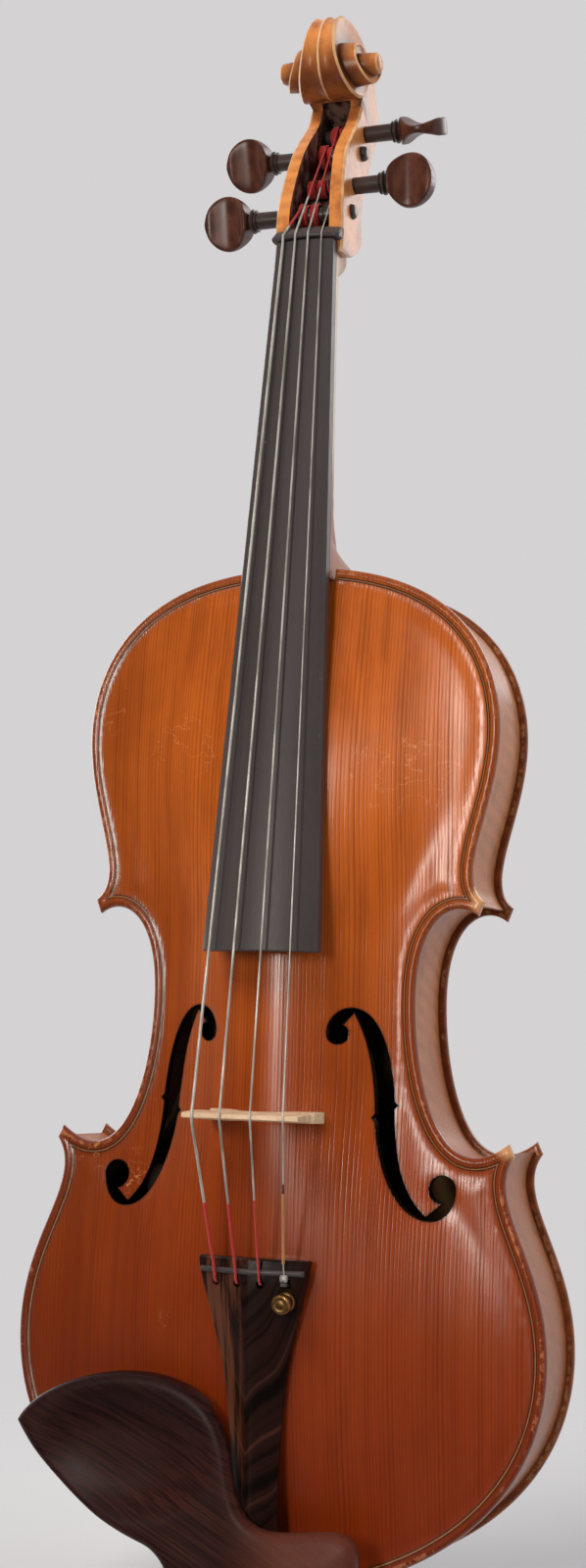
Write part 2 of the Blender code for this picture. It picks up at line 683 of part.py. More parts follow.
def clipped(path, x_top, x_bottom):
    """The treble half of a loop, from x_top beside the top centre to x_bottom at the foot."""
    kept = [np.array(point, float) for point in path]

    def cut(points, limit):
        while len(points) > 1 and points[1][0] <= limit:
            points.pop(0)
        if points[0][0] < limit:
            share = (limit - points[0][0]) / (points[1][0] - points[0][0])
            points[0] = points[0] + share * (points[1] - points[0])
        return points

    kept = cut(kept, x_top)
    return cut(kept[::-1], x_bottom)[::-1]


def half_path(distance, x_top=0.0, x_bottom=0.0):
    return clipped(cleaned(np.vstack(inset_runs(distance))), x_top, x_bottom)


def mirrored(points):
    return [np.array((-point[0], point[1])) for point in points]


def board_half_width(z):
    share = (NUT_Z - z) / BOARD_LENGTH
    return BOARD_HALF_WIDTH_NUT + share * (BOARD_HALF_WIDTH_END - BOARD_HALF_WIDTH_NUT)


def board_arris_y(z):
    share = (NUT_Z - z) / BOARD_LENGTH
    return BOARD_ARRIS_Y_NUT + share * (BOARD_ARRIS_Y_END - BOARD_ARRIS_Y_NUT)


def board_top_y(x, z):
    """The playing surface of the fingerboard."""
    drop_here = math.sqrt(BOARD_RADIUS ** 2 - x ** 2)
    drop_at_side = math.sqrt(BOARD_RADIUS ** 2 - board_half_width(z) ** 2)
    return board_arris_y(z) - (drop_here - drop_at_side)


def neck_front_y(z):
    return board_arris_y(z) + BOARD_SIDE + SEAT_GAP


MORTISE_Z = BODY_LENGTH - NECK_MORTISE
ROOT_HALF_WIDTH = board_half_width(MORTISE_Z)
SADDLE_TOP_Y = -(HALF_RIB + EDGE_THICKNESS + SADDLE_RISE)


def plate_outline(notch_half_width=0.0, saddle_half_width=0.0, button=False):
    """The edge of a plate, with the neck and saddle notches or with the back's button."""
    half = half_path(0.0, notch_half_width, saddle_half_width)
    if notch_half_width:
        half = [np.array((notch_half_width, MORTISE_Z - SEAT_GAP))] + half
    if saddle_half_width:
        half = half + [np.array((saddle_half_width, SADDLE_DEPTH + SEAT_GAP))]
    if button:
        shoulder = half_path(0.0, BACK_BUTTON_HALF_WIDTH)
        angles = np.radians((90, 60, 30))
        arc = [np.array((BACK_BUTTON_HALF_WIDTH * math.cos(a),
                         BODY_LENGTH + BACK_BUTTON_HEIGHT * math.sin(a))) for a in angles]
        half = arc + shoulder
    return cleaned(half + [point for point in mirrored(half)[::-1] if point[0] < -1e-6])


def purfling_polygon(gap, x_top, x_bottom):
    """The treble purfling strip, widened on every side by a gap."""
    near = half_path(PURFLING_INSET - gap, x_top - gap, x_bottom - gap)
    far = half_path(PURFLING_INSET + PURFLING_WIDTH + gap, x_top - gap, x_bottom - gap)
    return near, far


def add_plates(frame, woods):
    """The carved belly and back with the purfling let into their edges."""
    outer, inner, groove_y = plate_faces(-1, FRONT_ARCH)
    notch = ROOT_HALF_WIDTH + SEAT_GAP
    saddle_notch = SADDLE_HALF_WIDTH + SEAT_GAP
    strip_top = notch + 0.0012
    strip_foot = saddle_notch + 0.0012
    near, far = purfling_polygon(SEAT_GAP, strip_top, strip_foot)
    grooves = [near + far[::-1], mirrored(near + far[::-1])]
    holes = [sound_hole(1), sound_hole(-1)]
    flat, faces = triangulated(plate_outline(notch, saddle_notch), holes, grooves, PLATE_GRID)
    belly = slab(flat, faces, outer, inner, lambda p: any(inside(g, p) for g in grooves), groove_y)
    top = place("top_plate", belly, woods["spruce"], frame, smooth=True)
    near, far = purfling_polygon(0.0, strip_top, strip_foot)
    for name, strip in (("treble", near + far[::-1]), ("bass", mirrored(near + far[::-1]))):
        flat, faces = triangulated(strip, [], [], PLATE_GRID)
        mesh = slab(flat, faces, outer, lambda x, z: groove_y(x, z) - SEAT_GAP)
        place(f"top_purfling_{name}", mesh, woods["purfling"], frame)

    outer_b, inner_b, groove_b = plate_faces(1, BACK_ARCH)
    joint = 0.0006
    near, far = purfling_polygon(SEAT_GAP, joint, 0.0)
    around = near + mirrored(near)[::-1] + mirrored(far) + far[::-1]
    groove = cleaned(around)
    flat, faces = triangulated(plate_outline(button=True), [], [groove], PLATE_GRID)
    back_mesh = slab(flat, faces, outer_b, inner_b, lambda p: inside(groove, p), groove_b)
    back = place("back_plate", back_mesh, woods["maple"], frame, smooth=True)
    near, far = purfling_polygon(0.0, joint + SEAT_GAP, 0.0)
    strip = cleaned(near + mirrored(near)[::-1] + mirrored(far) + far[::-1])
    flat, faces = triangulated(strip, [], [], PLATE_GRID)
    mesh = slab(flat, faces, outer_b, lambda x, z: groove_b(x, z) + SEAT_GAP)
    place("back_purfling", mesh, woods["purfling"], frame)
    return top, back


def surface_y(tree, x, z, side):
    """Where a line along y meets a plate's inner (side +1) or outer (side -1) face first."""
    hit = tree.ray_cast(Vector((x, 0.1 * side, z)), Vector((0, -side, 0)))
    return hit[0].y


def tree_of(item):
    graph = bpy.context.evaluated_depsgraph_get()
    return BVHTree.FromObject(item, graph)


def heel_cutter():
    """The neck root with its clearance, for the mortise in block and ribs."""
    wide = ROOT_HALF_WIDTH + SEAT_GAP
    slim = HEEL_HALF_WIDTH + SEAT_GAP
    front = neck_front_y(MORTISE_Z)
    lean = (wide - slim) / (HALF_RIB - front)
    rings = []
    for z in (MORTISE_Z - SEAT_GAP, BODY_LENGTH + 0.010):
        rings.append([(wide + lean * 0.002, front - 0.002, z), (slim - lean * 0.002, HALF_RIB + 0.002, z),
                      (-slim + lean * 0.002, HALF_RIB + 0.002, z), (-wide - lean * 0.002, front - 0.002, z)])
    return loft(rings)


def shank_cutter():
    """The end button's hole through the lower ribs and the end block."""
    radius = END_BUTTON_SHANK_RADIUS + SEAT_GAP
    return turned([(-0.001, radius), (0.030, radius)], 12, "z")


def walk(path, start, stop):
    """The stretch of a path between two arc lengths; stop counts from the far end."""
    path = np.array(path)
    spans = np.hypot(*np.diff(path, axis=0).T)
    along = np.concatenate([[0], np.cumsum(spans)])
    finish = along[-1] - stop

    def at(length):
        return np.array([np.interp(length, along, path[:, 0]), np.interp(length, along, path[:, 1])])

    middle = [path[k] for k in range(len(path)) if start + 3e-4 < along[k] < finish - 3e-4]
    return [at(start), *middle, at(finish)]


def add_ribs(frame, woods):
    """Six bent ribs, mitred at the corners, with the corner and end blocks and twelve linings."""
    rib_low, rib_high = -HALF_RIB + SEAT_GAP, HALF_RIB - SEAT_GAP
    outside = inset_runs(EDGE_OVERHANG)
    face = inset_runs(EDGE_OVERHANG + RIB_THICKNESS)
    depth = EDGE_OVERHANG + RIB_THICKNESS + SEAT_GAP
    seat = inset_runs(depth)
    lined = inset_runs(depth + LINING_THICKNESS)
    half_gap = SEAT_GAP / 2
    cut_x = HEEL_HALF_WIDTH / 2
    end_x = half_gap
    spans = {"upper": 0, "waist": 2, "lower": 4}
    for name, k in spans.items():
        out_path = list(outside[k])
        in_path = list(face[k])
        if k == 0:
            out_path = clipped(out_path, cut_x, -1)
            in_path = clipped(in_path, cut_x, -1)
        if k == 4:
            out_path = clipped(out_path, -1, end_x)
            in_path = clipped(in_path, -1, end_x)
        if k < 4:
            tip = outside[k + 1]
            pull = (outside[k][-1] - outside[k + 2][0])
            pull = pull / max(np.linalg.norm(pull), 1e-9) * half_gap
            middle = (tip[0] + tip[-1]) / 2 + pull
            out_path.append(middle)
            in_path[-1] = in_path[-1] + pull
        if k > 0:
            tip = outside[k - 1]
            pull = (outside[k][0] - outside[k - 2][-1])
            pull = pull / max(np.linalg.norm(pull), 1e-9) * half_gap
            middle = (tip[0] + tip[-1]) / 2 + pull
            out_path.insert(0, middle)
            in_path[0] = in_path[0] + pull
        polygon = cleaned(out_path + in_path[::-1], 5e-5)
        for side, label in ((1, "treble"), (-1, "bass")):
            mesh = prism(polygon if side > 0 else mirrored(polygon), rib_low, rib_high)
            if k == 0:
                mesh = combined(mesh, "DIFFERENCE", [heel_cutter()])
            if k == 4:
                mesh = combined(mesh, "DIFFERENCE", [shank_cutter()])
            place(f"{name}_rib_{label}", mesh, woods["rib"], frame)

        first = CORNER_BLOCK_REACH if k else 0.0
        last = CORNER_BLOCK_REACH if k < 4 else 0.0
        seat_path = list(seat[k])
        lined_path = list(lined[k])
        if k == 0:
            seat_path = clipped(seat_path, NECK_BLOCK_HALF_WIDTH + SEAT_GAP, -1)
            lined_path = clipped(lined_path, NECK_BLOCK_HALF_WIDTH + SEAT_GAP, -1)
        if k == 4:
            seat_path = clipped(seat_path, -1, END_BLOCK_HALF_WIDTH + SEAT_GAP)
            lined_path = clipped(lined_path, -1, END_BLOCK_HALF_WIDTH + SEAT_GAP)
        first_gap = first + (SEAT_GAP if first else 0.0)
        last_gap = last + (SEAT_GAP if last else 0.0)
        strip = walk(seat_path, first_gap, last_gap) + walk(lined_path, first_gap, last_gap)[::-1]
        for label, side in (("treble", 1), ("bass", -1)):
            shape = strip if side > 0 else mirrored(strip)
            place(f"{name}_lining_front_{label}", prism(shape, rib_low, rib_low + LINING_HEIGHT),
                  woods["lining"], frame)
            place(f"{name}_lining_back_{label}", prism(shape, rib_high - LINING_HEIGHT, rib_high),
                  woods["lining"], frame)

    for name, k in (("upper", 0), ("lower", 2)):
        before = walk(seat[k], 0.0, 0.0)
        total = float(np.hypot(*np.diff(np.array(before), axis=0).T).sum())
        arm = walk(seat[k], total - CORNER_BLOCK_REACH, 0.0)
        other = seat[k + 2]
        total = float(np.hypot(*np.diff(np.array(other), axis=0).T).sum())
        leg = walk(other, 0.0, total - CORNER_BLOCK_REACH)
        polygon = cleaned(arm + leg[1:])
        for label, side in (("treble", 1), ("bass", -1)):
            place(f"{name}_corner_block_{label}",
                  prism(polygon if side > 0 else mirrored(polygon), rib_low, rib_high),
                  woods["block"], frame)

    edge = [point for point in half_path(depth) if point[0] < NECK_BLOCK_HALF_WIDTH and point[1] > WAIST_Z]
    floor = BODY_LENGTH - depth - NECK_BLOCK_DEPTH
    top_edge = clipped(half_path(depth)[:8], 0.0, -1)
    shoulder_z = np.interp(NECK_BLOCK_HALF_WIDTH, [p[0] for p in top_edge], [p[1] for p in top_edge])
    half = edge + [np.array((NECK_BLOCK_HALF_WIDTH, shoulder_z)), np.array((NECK_BLOCK_HALF_WIDTH, floor))]
    polygon = cleaned(half + mirrored(half)[::-1])
    block = combined(prism(polygon, rib_low, rib_high), "DIFFERENCE", [heel_cutter()])
    place("neck_block", block, woods["block"], frame)

    edge = [point for point in half_path(depth) if point[0] < END_BLOCK_HALF_WIDTH and point[1] < WAIST_Z]
    foot_edge = half_path(depth)[-8:][::-1]
    hip_z = np.interp(END_BLOCK_HALF_WIDTH, [p[0] for p in foot_edge], [p[1] for p in foot_edge])
    ceiling = depth + END_BLOCK_DEPTH
    half = [np.array((END_BLOCK_HALF_WIDTH, ceiling)), np.array((END_BLOCK_HALF_WIDTH, hip_z))] + edge
    polygon = cleaned(half + mirrored(half)[::-1])
    block = combined(prism(polygon, rib_low, rib_high), "DIFFERENCE", [shank_cutter()])
    place("end_block", block, woods["block"], frame)


def add_inner_parts(frame, woods, top, back):
    """The bass bar under the belly and the sound post between the plates."""
    top_tree, back_tree = tree_of(top), tree_of(back)
    low_end, high_end = BASS_BAR_END_MARGINS[0], BODY_LENGTH - BASS_BAR_END_MARGINS[1]
    middle, half_length = (low_end + high_end) / 2, (high_end - low_end) / 2
    stations = np.linspace(low_end, high_end, 19)
    rings = []
    for z in stations:
        heights = [surface_y(top_tree, -BASS_BAR_X + dx, z + dz, 1)
                   for dx in (-BASS_BAR_WIDTH / 2, 0, BASS_BAR_WIDTH / 2) for dz in (-0.004, 0, 0.004)]
        seat = max(heights) + SEAT_GAP
        reach = abs(z - middle) / half_length
        depth = 0.0035 + (BASS_BAR_DEPTH - 0.0035) * (1 - reach ** 2)
        low, high = -BASS_BAR_X - BASS_BAR_WIDTH / 2, -BASS_BAR_X + BASS_BAR_WIDTH / 2
        rings.append([(low, seat, z), (high, seat, z), (high, seat + depth, z), (low, seat + depth, z)])
    place("bass_bar", loft(rings), woods["bar"], frame)

    z = BRIDGE_Z - SOUND_POST_BELOW_BRIDGE - SOUND_POST_RADIUS
    around = [(SOUND_POST_X + SOUND_POST_RADIUS * math.cos(a), z + SOUND_POST_RADIUS * math.sin(a))
              for a in np.linspace(0, 2 * math.pi, 13)[:-1]]
    low = [(x, surface_y(top_tree, x, zz, 1) + SEAT_GAP, zz) for x, zz in around]
    high = [(x, surface_y(back_tree, x, zz, -1) - SEAT_GAP, zz) for x, zz in around]
    place("sound_post", loft([low, high]), woods["bar"], frame)


def neck_section(z, half_width, front, back, flat, square):
    """One neck ring: half an ellipse, blended towards the heel's straight sides."""
    depth = back - front
    corners = ((half_width, 0.0), (half_width + 0.34 * (flat - half_width), 0.34),
               (half_width + 0.68 * (flat - half_width), 0.68), (flat, 1.0))
    blunt = [*corners, (0.0, 1.0), *[(-x, share) for x, share in corners[::-1]]]
    ring = []
    for k, (x, share) in enumerate(blunt):
        angle = math.pi * k / 8
        round_x, round_share = half_width * math.cos(angle), math.sin(angle)
        ring.append(((1 - square) * round_x + square * x,
                     front + depth * ((1 - square) * round_share + square * share), z))
    return ring


def neck_mesh():
    """The neck from its root in the mortise, round the heel and up to the pegbox."""
    button_z = BODY_LENGTH + BACK_BUTTON_HEIGHT
    heel_back = HALF_RIB - SEAT_GAP
    grip_low = BODY_LENGTH + 0.034
    low_back = neck_front_y(grip_low) + NECK_WOOD_AT_HEEL
    stations = [
        (MORTISE_Z, heel_back, HEEL_HALF_WIDTH, 1.0),
        (BODY_LENGTH + 0.001, heel_back, HEEL_HALF_WIDTH, 1.0),
        (BODY_LENGTH + 0.6 * BACK_BUTTON_HEIGHT, heel_back, 0.86 * HEEL_HALF_WIDTH, 1.0),
        (button_z - 0.0012, heel_back, 0.45 * HEEL_HALF_WIDTH, 0.9),
        (button_z + 0.0015, heel_back - 0.0055, 0.40 * HEEL_HALF_WIDTH, 0.6),
        (button_z + 0.0050, 0.5 * (heel_back + low_back), 0.35 * HEEL_HALF_WIDTH, 0.35),
        (button_z + 0.0100, low_back + 0.0050, 0.35 * HEEL_HALF_WIDTH, 0.15),
        (button_z + 0.0160, low_back + 0.0012, 0.35 * HEEL_HALF_WIDTH, 0.0),
        (grip_low, low_back, 0.35 * HEEL_HALF_WIDTH, 0.0),
    ]
    for share in (0.35, 0.7):
        z = grip_low + share * (NUT_Z - grip_low)
        wood = NECK_WOOD_AT_HEEL + share * (NECK_WOOD_AT_NUT - NECK_WOOD_AT_HEEL)
        stations.append((z, neck_front_y(z) + wood, 0.35 * HEEL_HALF_WIDTH, 0.0))
    stations.extend((NUT_Z + rise, back, flat, square) for rise, back, flat, square in NECK_CHIN)
    rings = [neck_section(z, board_half_width(z), neck_front_y(z), back, flat, square)
             for z, back, flat, square in stations]
    return loft(rings)


def over_nut(place):
    """A place in the head, given as (y, rise over the nut), as (y, z)."""
    return place[0], NUT_Z + place[1]


def scroll_rim(angle):
    """The volute's rim in (y, z): a spiral that shrinks inwards as the angle grows."""
    if angle < 0:
        share = angle / SCROLL_THROAT_ANGLE
        start = (SCROLL_HUB[0] + SCROLL_RADII[0][1], SCROLL_HUB[1])
        foot = over_nut(SCROLL_BACK_FOOT)
        ahead = (start[0] + 0.0025, start[1] - 0.0100)
        behind = (foot[0] + 0.0045, foot[1] + 0.0075)
        t = share
        return tuple((1 - t) ** 3 * start[k] + 3 * (1 - t) ** 2 * t * ahead[k]
                     + 3 * (1 - t) * t ** 2 * behind[k] + t ** 3 * foot[k] for k in (0, 1))
    turn = math.radians(angle)
    radius = float(np.interp(angle, [a for a, _ in SCROLL_RADII], [r for _, r in SCROLL_RADII]))
    return SCROLL_HUB[0] + radius * math.cos(turn), SCROLL_HUB[1] + radius * math.sin(turn)


def scroll_half_width(angle):
    return float(np.interp(angle, [a for a, _ in SCROLL_WIDTHS], [w for _, w in SCROLL_WIDTHS]))


def head_section(front, back, front_half, back_half):
    """Seven points round the pegbox or volute: a front, two rims, two flutes and the back ridge."""
    away = (front[0] - back[0], front[1] - back[1])
    length = math.hypot(*away)
    flute = [back[k] + away[k] / length * FLUTE_DEPTH for k in (0, 1)]
    return [(front_half, *front), (back_half, *back), (0.5 * back_half, *flute), (0, *back),
            (-0.5 * back_half, *flute), (-back_half, *back), (-front_half, *front)]


def head_mesh():
    """Pegbox and scroll as one closed solid: the stations fan from the pegbox into the spiral."""
    per_turn = round(360 / SCROLL_STEP)
    angles = [SCROLL_THROAT_ANGLE + SCROLL_STEP * k
              for k in range(round((SCROLL_EYE_ANGLE - SCROLL_THROAT_ANGLE) / SCROLL_STEP) + 1)]
    last_ribbon = round((SCROLL_LAST_TURN_ANGLE - SCROLL_THROAT_ANGLE) / SCROLL_STEP)

    def groove_foot(angle):
        y, z = scroll_rim(angle + 360)
        out = (y - SCROLL_HUB[0], z - SCROLL_HUB[1])
        shift = 0.0007 + 0.0026 * math.exp(-(angle - SCROLL_THROAT_ANGLE) / 12)
        length = math.hypot(*out)
        return y + out[0] / length * shift, z + out[1] / length * shift

    points = []
    faces = []
    stations = []
    for front, back, half in PEGBOX_STATIONS:
        stations.append(head_section(over_nut(front), over_nut(back), half, half))
    for angle in angles[:last_ribbon + 1]:
        half = scroll_half_width(angle)
        stations.append(head_section(groove_foot(angle), scroll_rim(angle), half - VOLUTE_SCOOP, half))
    for section in stations:
        points.extend(section)
    first = len(PEGBOX_STATIONS)
    for k in range(len(stations) - 1):
        a, b = 7 * k, 7 * (k + 1)
        faces.append((a, a + 1, b + 1, b))
        faces.append((a + 5, a + 6, b + 6, b + 5))
        if k < first + per_turn:
            faces.extend((a + i, a + i + 1, b + i + 1, b + i) for i in range(1, 5))
        if k < first:
            faces.append((a + 6, a, b, b + 6))
    faces.append(tuple(range(7)))
    eye = len(points)
    for angle in angles[last_ribbon + 1:]:
        half = scroll_half_width(angle)
        points.extend([(half, *scroll_rim(angle)), (-half, *scroll_rim(angle))])

    def rim_index(k, side):
        if k <= last_ribbon:
            return 7 * (first + k) + (1 if side > 0 else 5)
        return eye + 2 * (k - last_ribbon - 1) + (0 if side > 0 else 1)

    def foot_index(k, side):
        return 7 * (first + k) + (0 if side > 0 else 6)

    for side in (1, -1):
        for k in range(last_ribbon):
            faces.append((foot_index(k, side), foot_index(k + 1, side),
                          rim_index(k + 1 + per_turn, side), rim_index(k + per_turn, side)))
        faces.append((rim_index(last_ribbon, side), foot_index(last_ribbon, side),
                      rim_index(len(angles) - 1, side)))
        points.append((side * scroll_half_width(SCROLL_EYE_ANGLE), *SCROLL_HUB))
        hub = len(points) - 1
        eye_loop = [rim_index(k, side) for k in range(last_ribbon, len(angles))]
        faces.extend((a, b, hub) for a, b in zip(eye_loop, eye_loop[1:] + eye_loop[:1]))
    throat = 7 * first
    under = 7 * (first + per_turn)
    faces.append((throat, under + 1, under + 2, under + 3, under + 4, under + 5, throat + 6))
    used = sorted({index for face in faces for index in face})
    renamed = {old: new for new, old in enumerate(used)}
    return mesh_of([points[k] for k in used], [tuple(renamed[k] for k in face) for face in faces])


def pegbox_cutter():
    """The hollow between the cheeks, open at the front."""
    throat = (scroll_rim(SCROLL_THROAT_ANGLE + 360), scroll_rim(SCROLL_THROAT_ANGLE),
              scroll_half_width(SCROLL_THROAT_ANGLE))
    table = [*[(over_nut(front), over_nut(back), half) for front, back, half in PEGBOX_STATIONS], throat]
    rings = []
    first, last = PEGBOX_HOLLOW[0][0], PEGBOX_HOLLOW[-1][0]
    for place_along, depth_share, overshoot in PEGBOX_HOLLOW:
        low = int(place_along)
        share = place_along - low
        following = table[min(low + 1, len(table) - 1)]
        front = [table[low][0][k] + share * (following[0][k] - table[low][0][k]) for k in (0, 1)]
        back = [table[low][1][k] + share * (following[1][k] - table[low][1][k]) for k in (0, 1)]
        cheek = CHEEK_AT_NUT + (place_along - first) / (last - first) * (CHEEK_AT_THROAT - CHEEK_AT_NUT)
        half = table[low][2] + share * (following[2] - table[low][2]) - cheek
        away = (front[0] - back[0], front[1] - back[1])
        length = math.hypot(*away)
        unit = (away[0] / length, away[1] / length)
        depth = (length - PEGBOX_FLOOR - FLUTE_DEPTH) * depth_share
        floor = [front[k] - unit[k] * depth for k in (0, 1)]
        over = [front[k] + unit[k] * overshoot for k in (0, 1)]
        rings.append([(half, *over), (half, *floor), (-half, *floor), (-half, *over)])
    return loft(rings)


def shaft_radius(peg, along):
    """The tapered shaft's radius at a distance from the centre plane towards the collar."""
    length = PEG_COLLAR_X[peg] + PEG_TIP_X[peg]
    share = (PEG_COLLAR_X[peg] - along) / length
    return PEG_COLLAR_SHAFT_RADIUS + share * (PEG_TIP_SHAFT_RADIUS - PEG_COLLAR_SHAFT_RADIUS)


def add_neck(frame, woods):
    cutters = [pegbox_cutter()]
    for peg, (y, z) in enumerate(map(over_nut, PEG_AXES)):
        side = PEG_SIDES[peg]
        profile = [(side * along, shaft_radius(peg, along) + PEG_GAP) for along in (-0.021, 0.021)]
        cutters.append(turned(profile, 12, "x", (0, y, z)))
    whole = combined(head_mesh(), "UNION", [neck_mesh()])
    place("neck_and_scroll", combined(whole, "DIFFERENCE", cutters), woods["neck"], frame, smooth=True)


def add_pegs(frame, woods):
    """Four tapered pegs with a double collar and a flattened round head, each on its own axis."""
    angles = np.linspace(0, 2 * math.pi, 13)[:-1]
    for peg, (y, z) in enumerate(map(over_nut, PEG_AXES)):
        side = PEG_SIDES[peg]
        collar = PEG_COLLAR_X[peg]
        rings = [(-PEG_TIP_X[peg], PEG_TIP_SHAFT_RADIUS), (collar, PEG_COLLAR_SHAFT_RADIUS),
                 (collar, 0.86 * PEG_COLLAR_RADIUS),
                 (collar + 0.24 * PEG_COLLAR_WIDTH, 0.88 * PEG_COLLAR_RADIUS),
                 (collar + 0.36 * PEG_COLLAR_WIDTH, 0.76 * PEG_COLLAR_RADIUS),
                 (collar + 0.48 * PEG_COLLAR_WIDTH, PEG_COLLAR_RADIUS),
                 (collar + 0.72 * PEG_COLLAR_WIDTH, PEG_COLLAR_RADIUS),
                 (collar + PEG_COLLAR_WIDTH, 0.65 * PEG_COLLAR_RADIUS)]
        sections = [[(side * along, radius * math.cos(angle), radius * math.sin(angle))
                     for angle in angles] for along, radius in rings]
        for share in (0.04, 0.12, 0.24, 0.40, 0.56, 0.72, 0.86, 0.95, 0.995):
            along = collar + PEG_COLLAR_WIDTH + share * PEG_HEAD_LENGTH
            wide = PEG_HEAD_HALF_WIDTH * math.sqrt(1 - (2 * share - 1) ** 2)
            if share < 0.5:
                wide = max(wide, PEG_HEAD_NECK_HALF_WIDTH)
            thick = float(np.interp(share, *zip(*PEG_HEAD_HALF_THICKNESS)))
            sections.append([(side * along, thick * max(-1.0, min(1.0, 1.6 * math.cos(angle))),
                              wide * math.sin(angle)) for angle in angles])
        mesh = loft(sections)
        item = place(f"peg_{PEG_NAMES[peg]}", mesh, woods["rosewood"], frame, (0, y, z), smooth=True)
        item.rotation_euler = (math.radians(PEG_TURNS[peg]), 0, 0)


def add_board_and_nut(frame, woods):
    """The ebony fingerboard, hollowed under its free end, and the nut across its top."""
    rings = []
    for share in (0.0, 0.12, 0.24, 0.36, 0.463, 0.475, 0.6, 0.8, 1.0):
        z = NUT_Z - share * BOARD_LENGTH
        half = board_half_width(z)
        arris = board_arris_y(z)
        under = arris + BOARD_SIDE
        hollow = 0.0042 if share > 0.47 else 0.0
        top = [(half * across, board_top_y(half * across, z), z)
               for across in (-1, -0.67, -0.33, 0, 0.33, 0.67, 1)]
        floor = [(half * across, under - hollow * (1 - across ** 2), z)
                 for across in (1, 0.9, 0.45, 0, -0.45, -0.9, -1)]
        if share > 0.47:
            floor[1] = (floor[1][0], under, z)
            floor[5] = (floor[5][0], under, z)
        rings.append(top + floor)
    place("fingerboard", loft(rings), woods["ebony"], frame)

    low_z, high_z = NUT_Z + SEAT_GAP, NUT_Z + NUT_LENGTH
    rings = []
    for z, drop in ((low_z, 0.0), (NUT_Z + NUT_BREAK, 0.0), (high_z, NUT_BACK_DROP)):
        half = NUT_HALF_WIDTH
        top = []
        for across in (-1, -0.55, -0.18, 0.18, 0.55, 1):
            x = half * across
            cord = min(abs(x), BOARD_HALF_WIDTH_NUT)
            top.append((x, board_top_y(cord, NUT_Z) - NUT_RISE * (1 if abs(across) < 1 else 0.2) + drop, z))
        floor = neck_front_y(NUT_Z + NUT_LENGTH / 2) - 0.0006
        rings.append(top + [(half, floor, z), (-half, floor, z)])
    place("nut", loft(rings), woods["ebony"], frame)


def string_points(index):
    """The x positions of one string at tail, bridge and nut, and its height at bridge and nut."""
    across = index / 3 - 0.5
    outer = index in (0, 3)
    bridge_y = BRIDGE_OUTER_STRING_Y if outer else BRIDGE_INNER_STRING_Y
    nut_x = across * STRING_NUT_SPREAD
    nut_y = board_top_y(nut_x, NUT_Z) - NUT_RISE - STRING_RADIUS[index] - STRING_LIFT
    return across * STRING_TAIL_SPREAD, across * STRING_BRIDGE_SPREAD, nut_x, bridge_y, nut_y


def tailpiece_row(z):
    """Half width, lower arris, upper arris and ridge of the tailpiece at one height."""
    heights = [row[0] for row in TAILPIECE_STATIONS][::-1]
    return [float(np.interp(z, heights, [row[k] for row in TAILPIECE_STATIONS][::-1])) for k in range(1, 5)]


def tailpiece_top_y(x, z):
    half, _, arris, ridge = tailpiece_row(z)
    across = min(1.0, abs(x) / half)
    return ridge + (arris - ridge) * across - TAILPIECE_BOW * (1 - abs(2 * across - 1))


def add_strings(frame, woods):
    for index, name in enumerate(STRING_NAMES):
        tail_x, bridge_x, nut_x, bridge_y, nut_y = string_points(index)
        radius = STRING_RADIUS[index]
        peg = PEG_NAMES.index(name)
        peg_y, peg_z = over_nut(PEG_AXES[peg])
        peg_x = STRING_PEG_X[index]
        wrap = shaft_radius(peg, PEG_SIDES[peg] * peg_x) + STRING_WOUND_LIFTS[index] + radius
        away_y, away_z = peg_y - nut_y, peg_z - NUT_Z - NUT_BREAK
        reach = math.hypot(away_y, away_z)
        lean = math.asin(wrap / reach)
        heading = math.atan2(away_y, away_z) - lean
        run = math.sqrt(reach ** 2 - wrap ** 2)
        touch = (peg_x, nut_y + run * math.sin(heading), NUT_Z + NUT_BREAK + run * math.cos(heading))
        fret_y = tailpiece_top_y(tail_x, FRET_Z) - FRET_RISE - radius - STRING_LIFT
        if name == "a":
            hook = TUNER_MATRIX @ Vector((0, TUNER_HOOK_Y, TUNER_HOOK_Z + 0.0007 + SEAT_GAP))
            tail = [(tail_x, hook.y + 0.0006, hook.z + 0.0002)]
        else:
            surface = tailpiece_top_y(tail_x, STRING_SLOT_Z)
            tail = [(tail_x, surface + 0.0030, STRING_SLOT_Z - 0.0002),
                    (tail_x, surface - 0.0004, STRING_SLOT_Z + 0.0002),
                    (tail_x, surface - 0.0012, STRING_SLOT_Z + 0.0012)]
        path = [*tail, (tail_x, fret_y, FRET_Z + 0.0002), (tail_x, fret_y - 0.0008, FRET_Z + 0.0022),
                (bridge_x, bridge_y + 0.0005, BRIDGE_Z - 0.0030), (bridge_x, bridge_y, BRIDGE_Z - 0.0013),
                (bridge_x, bridge_y, BRIDGE_Z + 0.0013),
                (nut_x, nut_y - 0.0002, NUT_Z - 0.0020), (nut_x, nut_y, NUT_Z + 0.0004),
                (nut_x, nut_y, NUT_Z + NUT_BREAK), touch]
        place(f"string_{name}", tube(path, radius, 6), woods["steel"], frame)


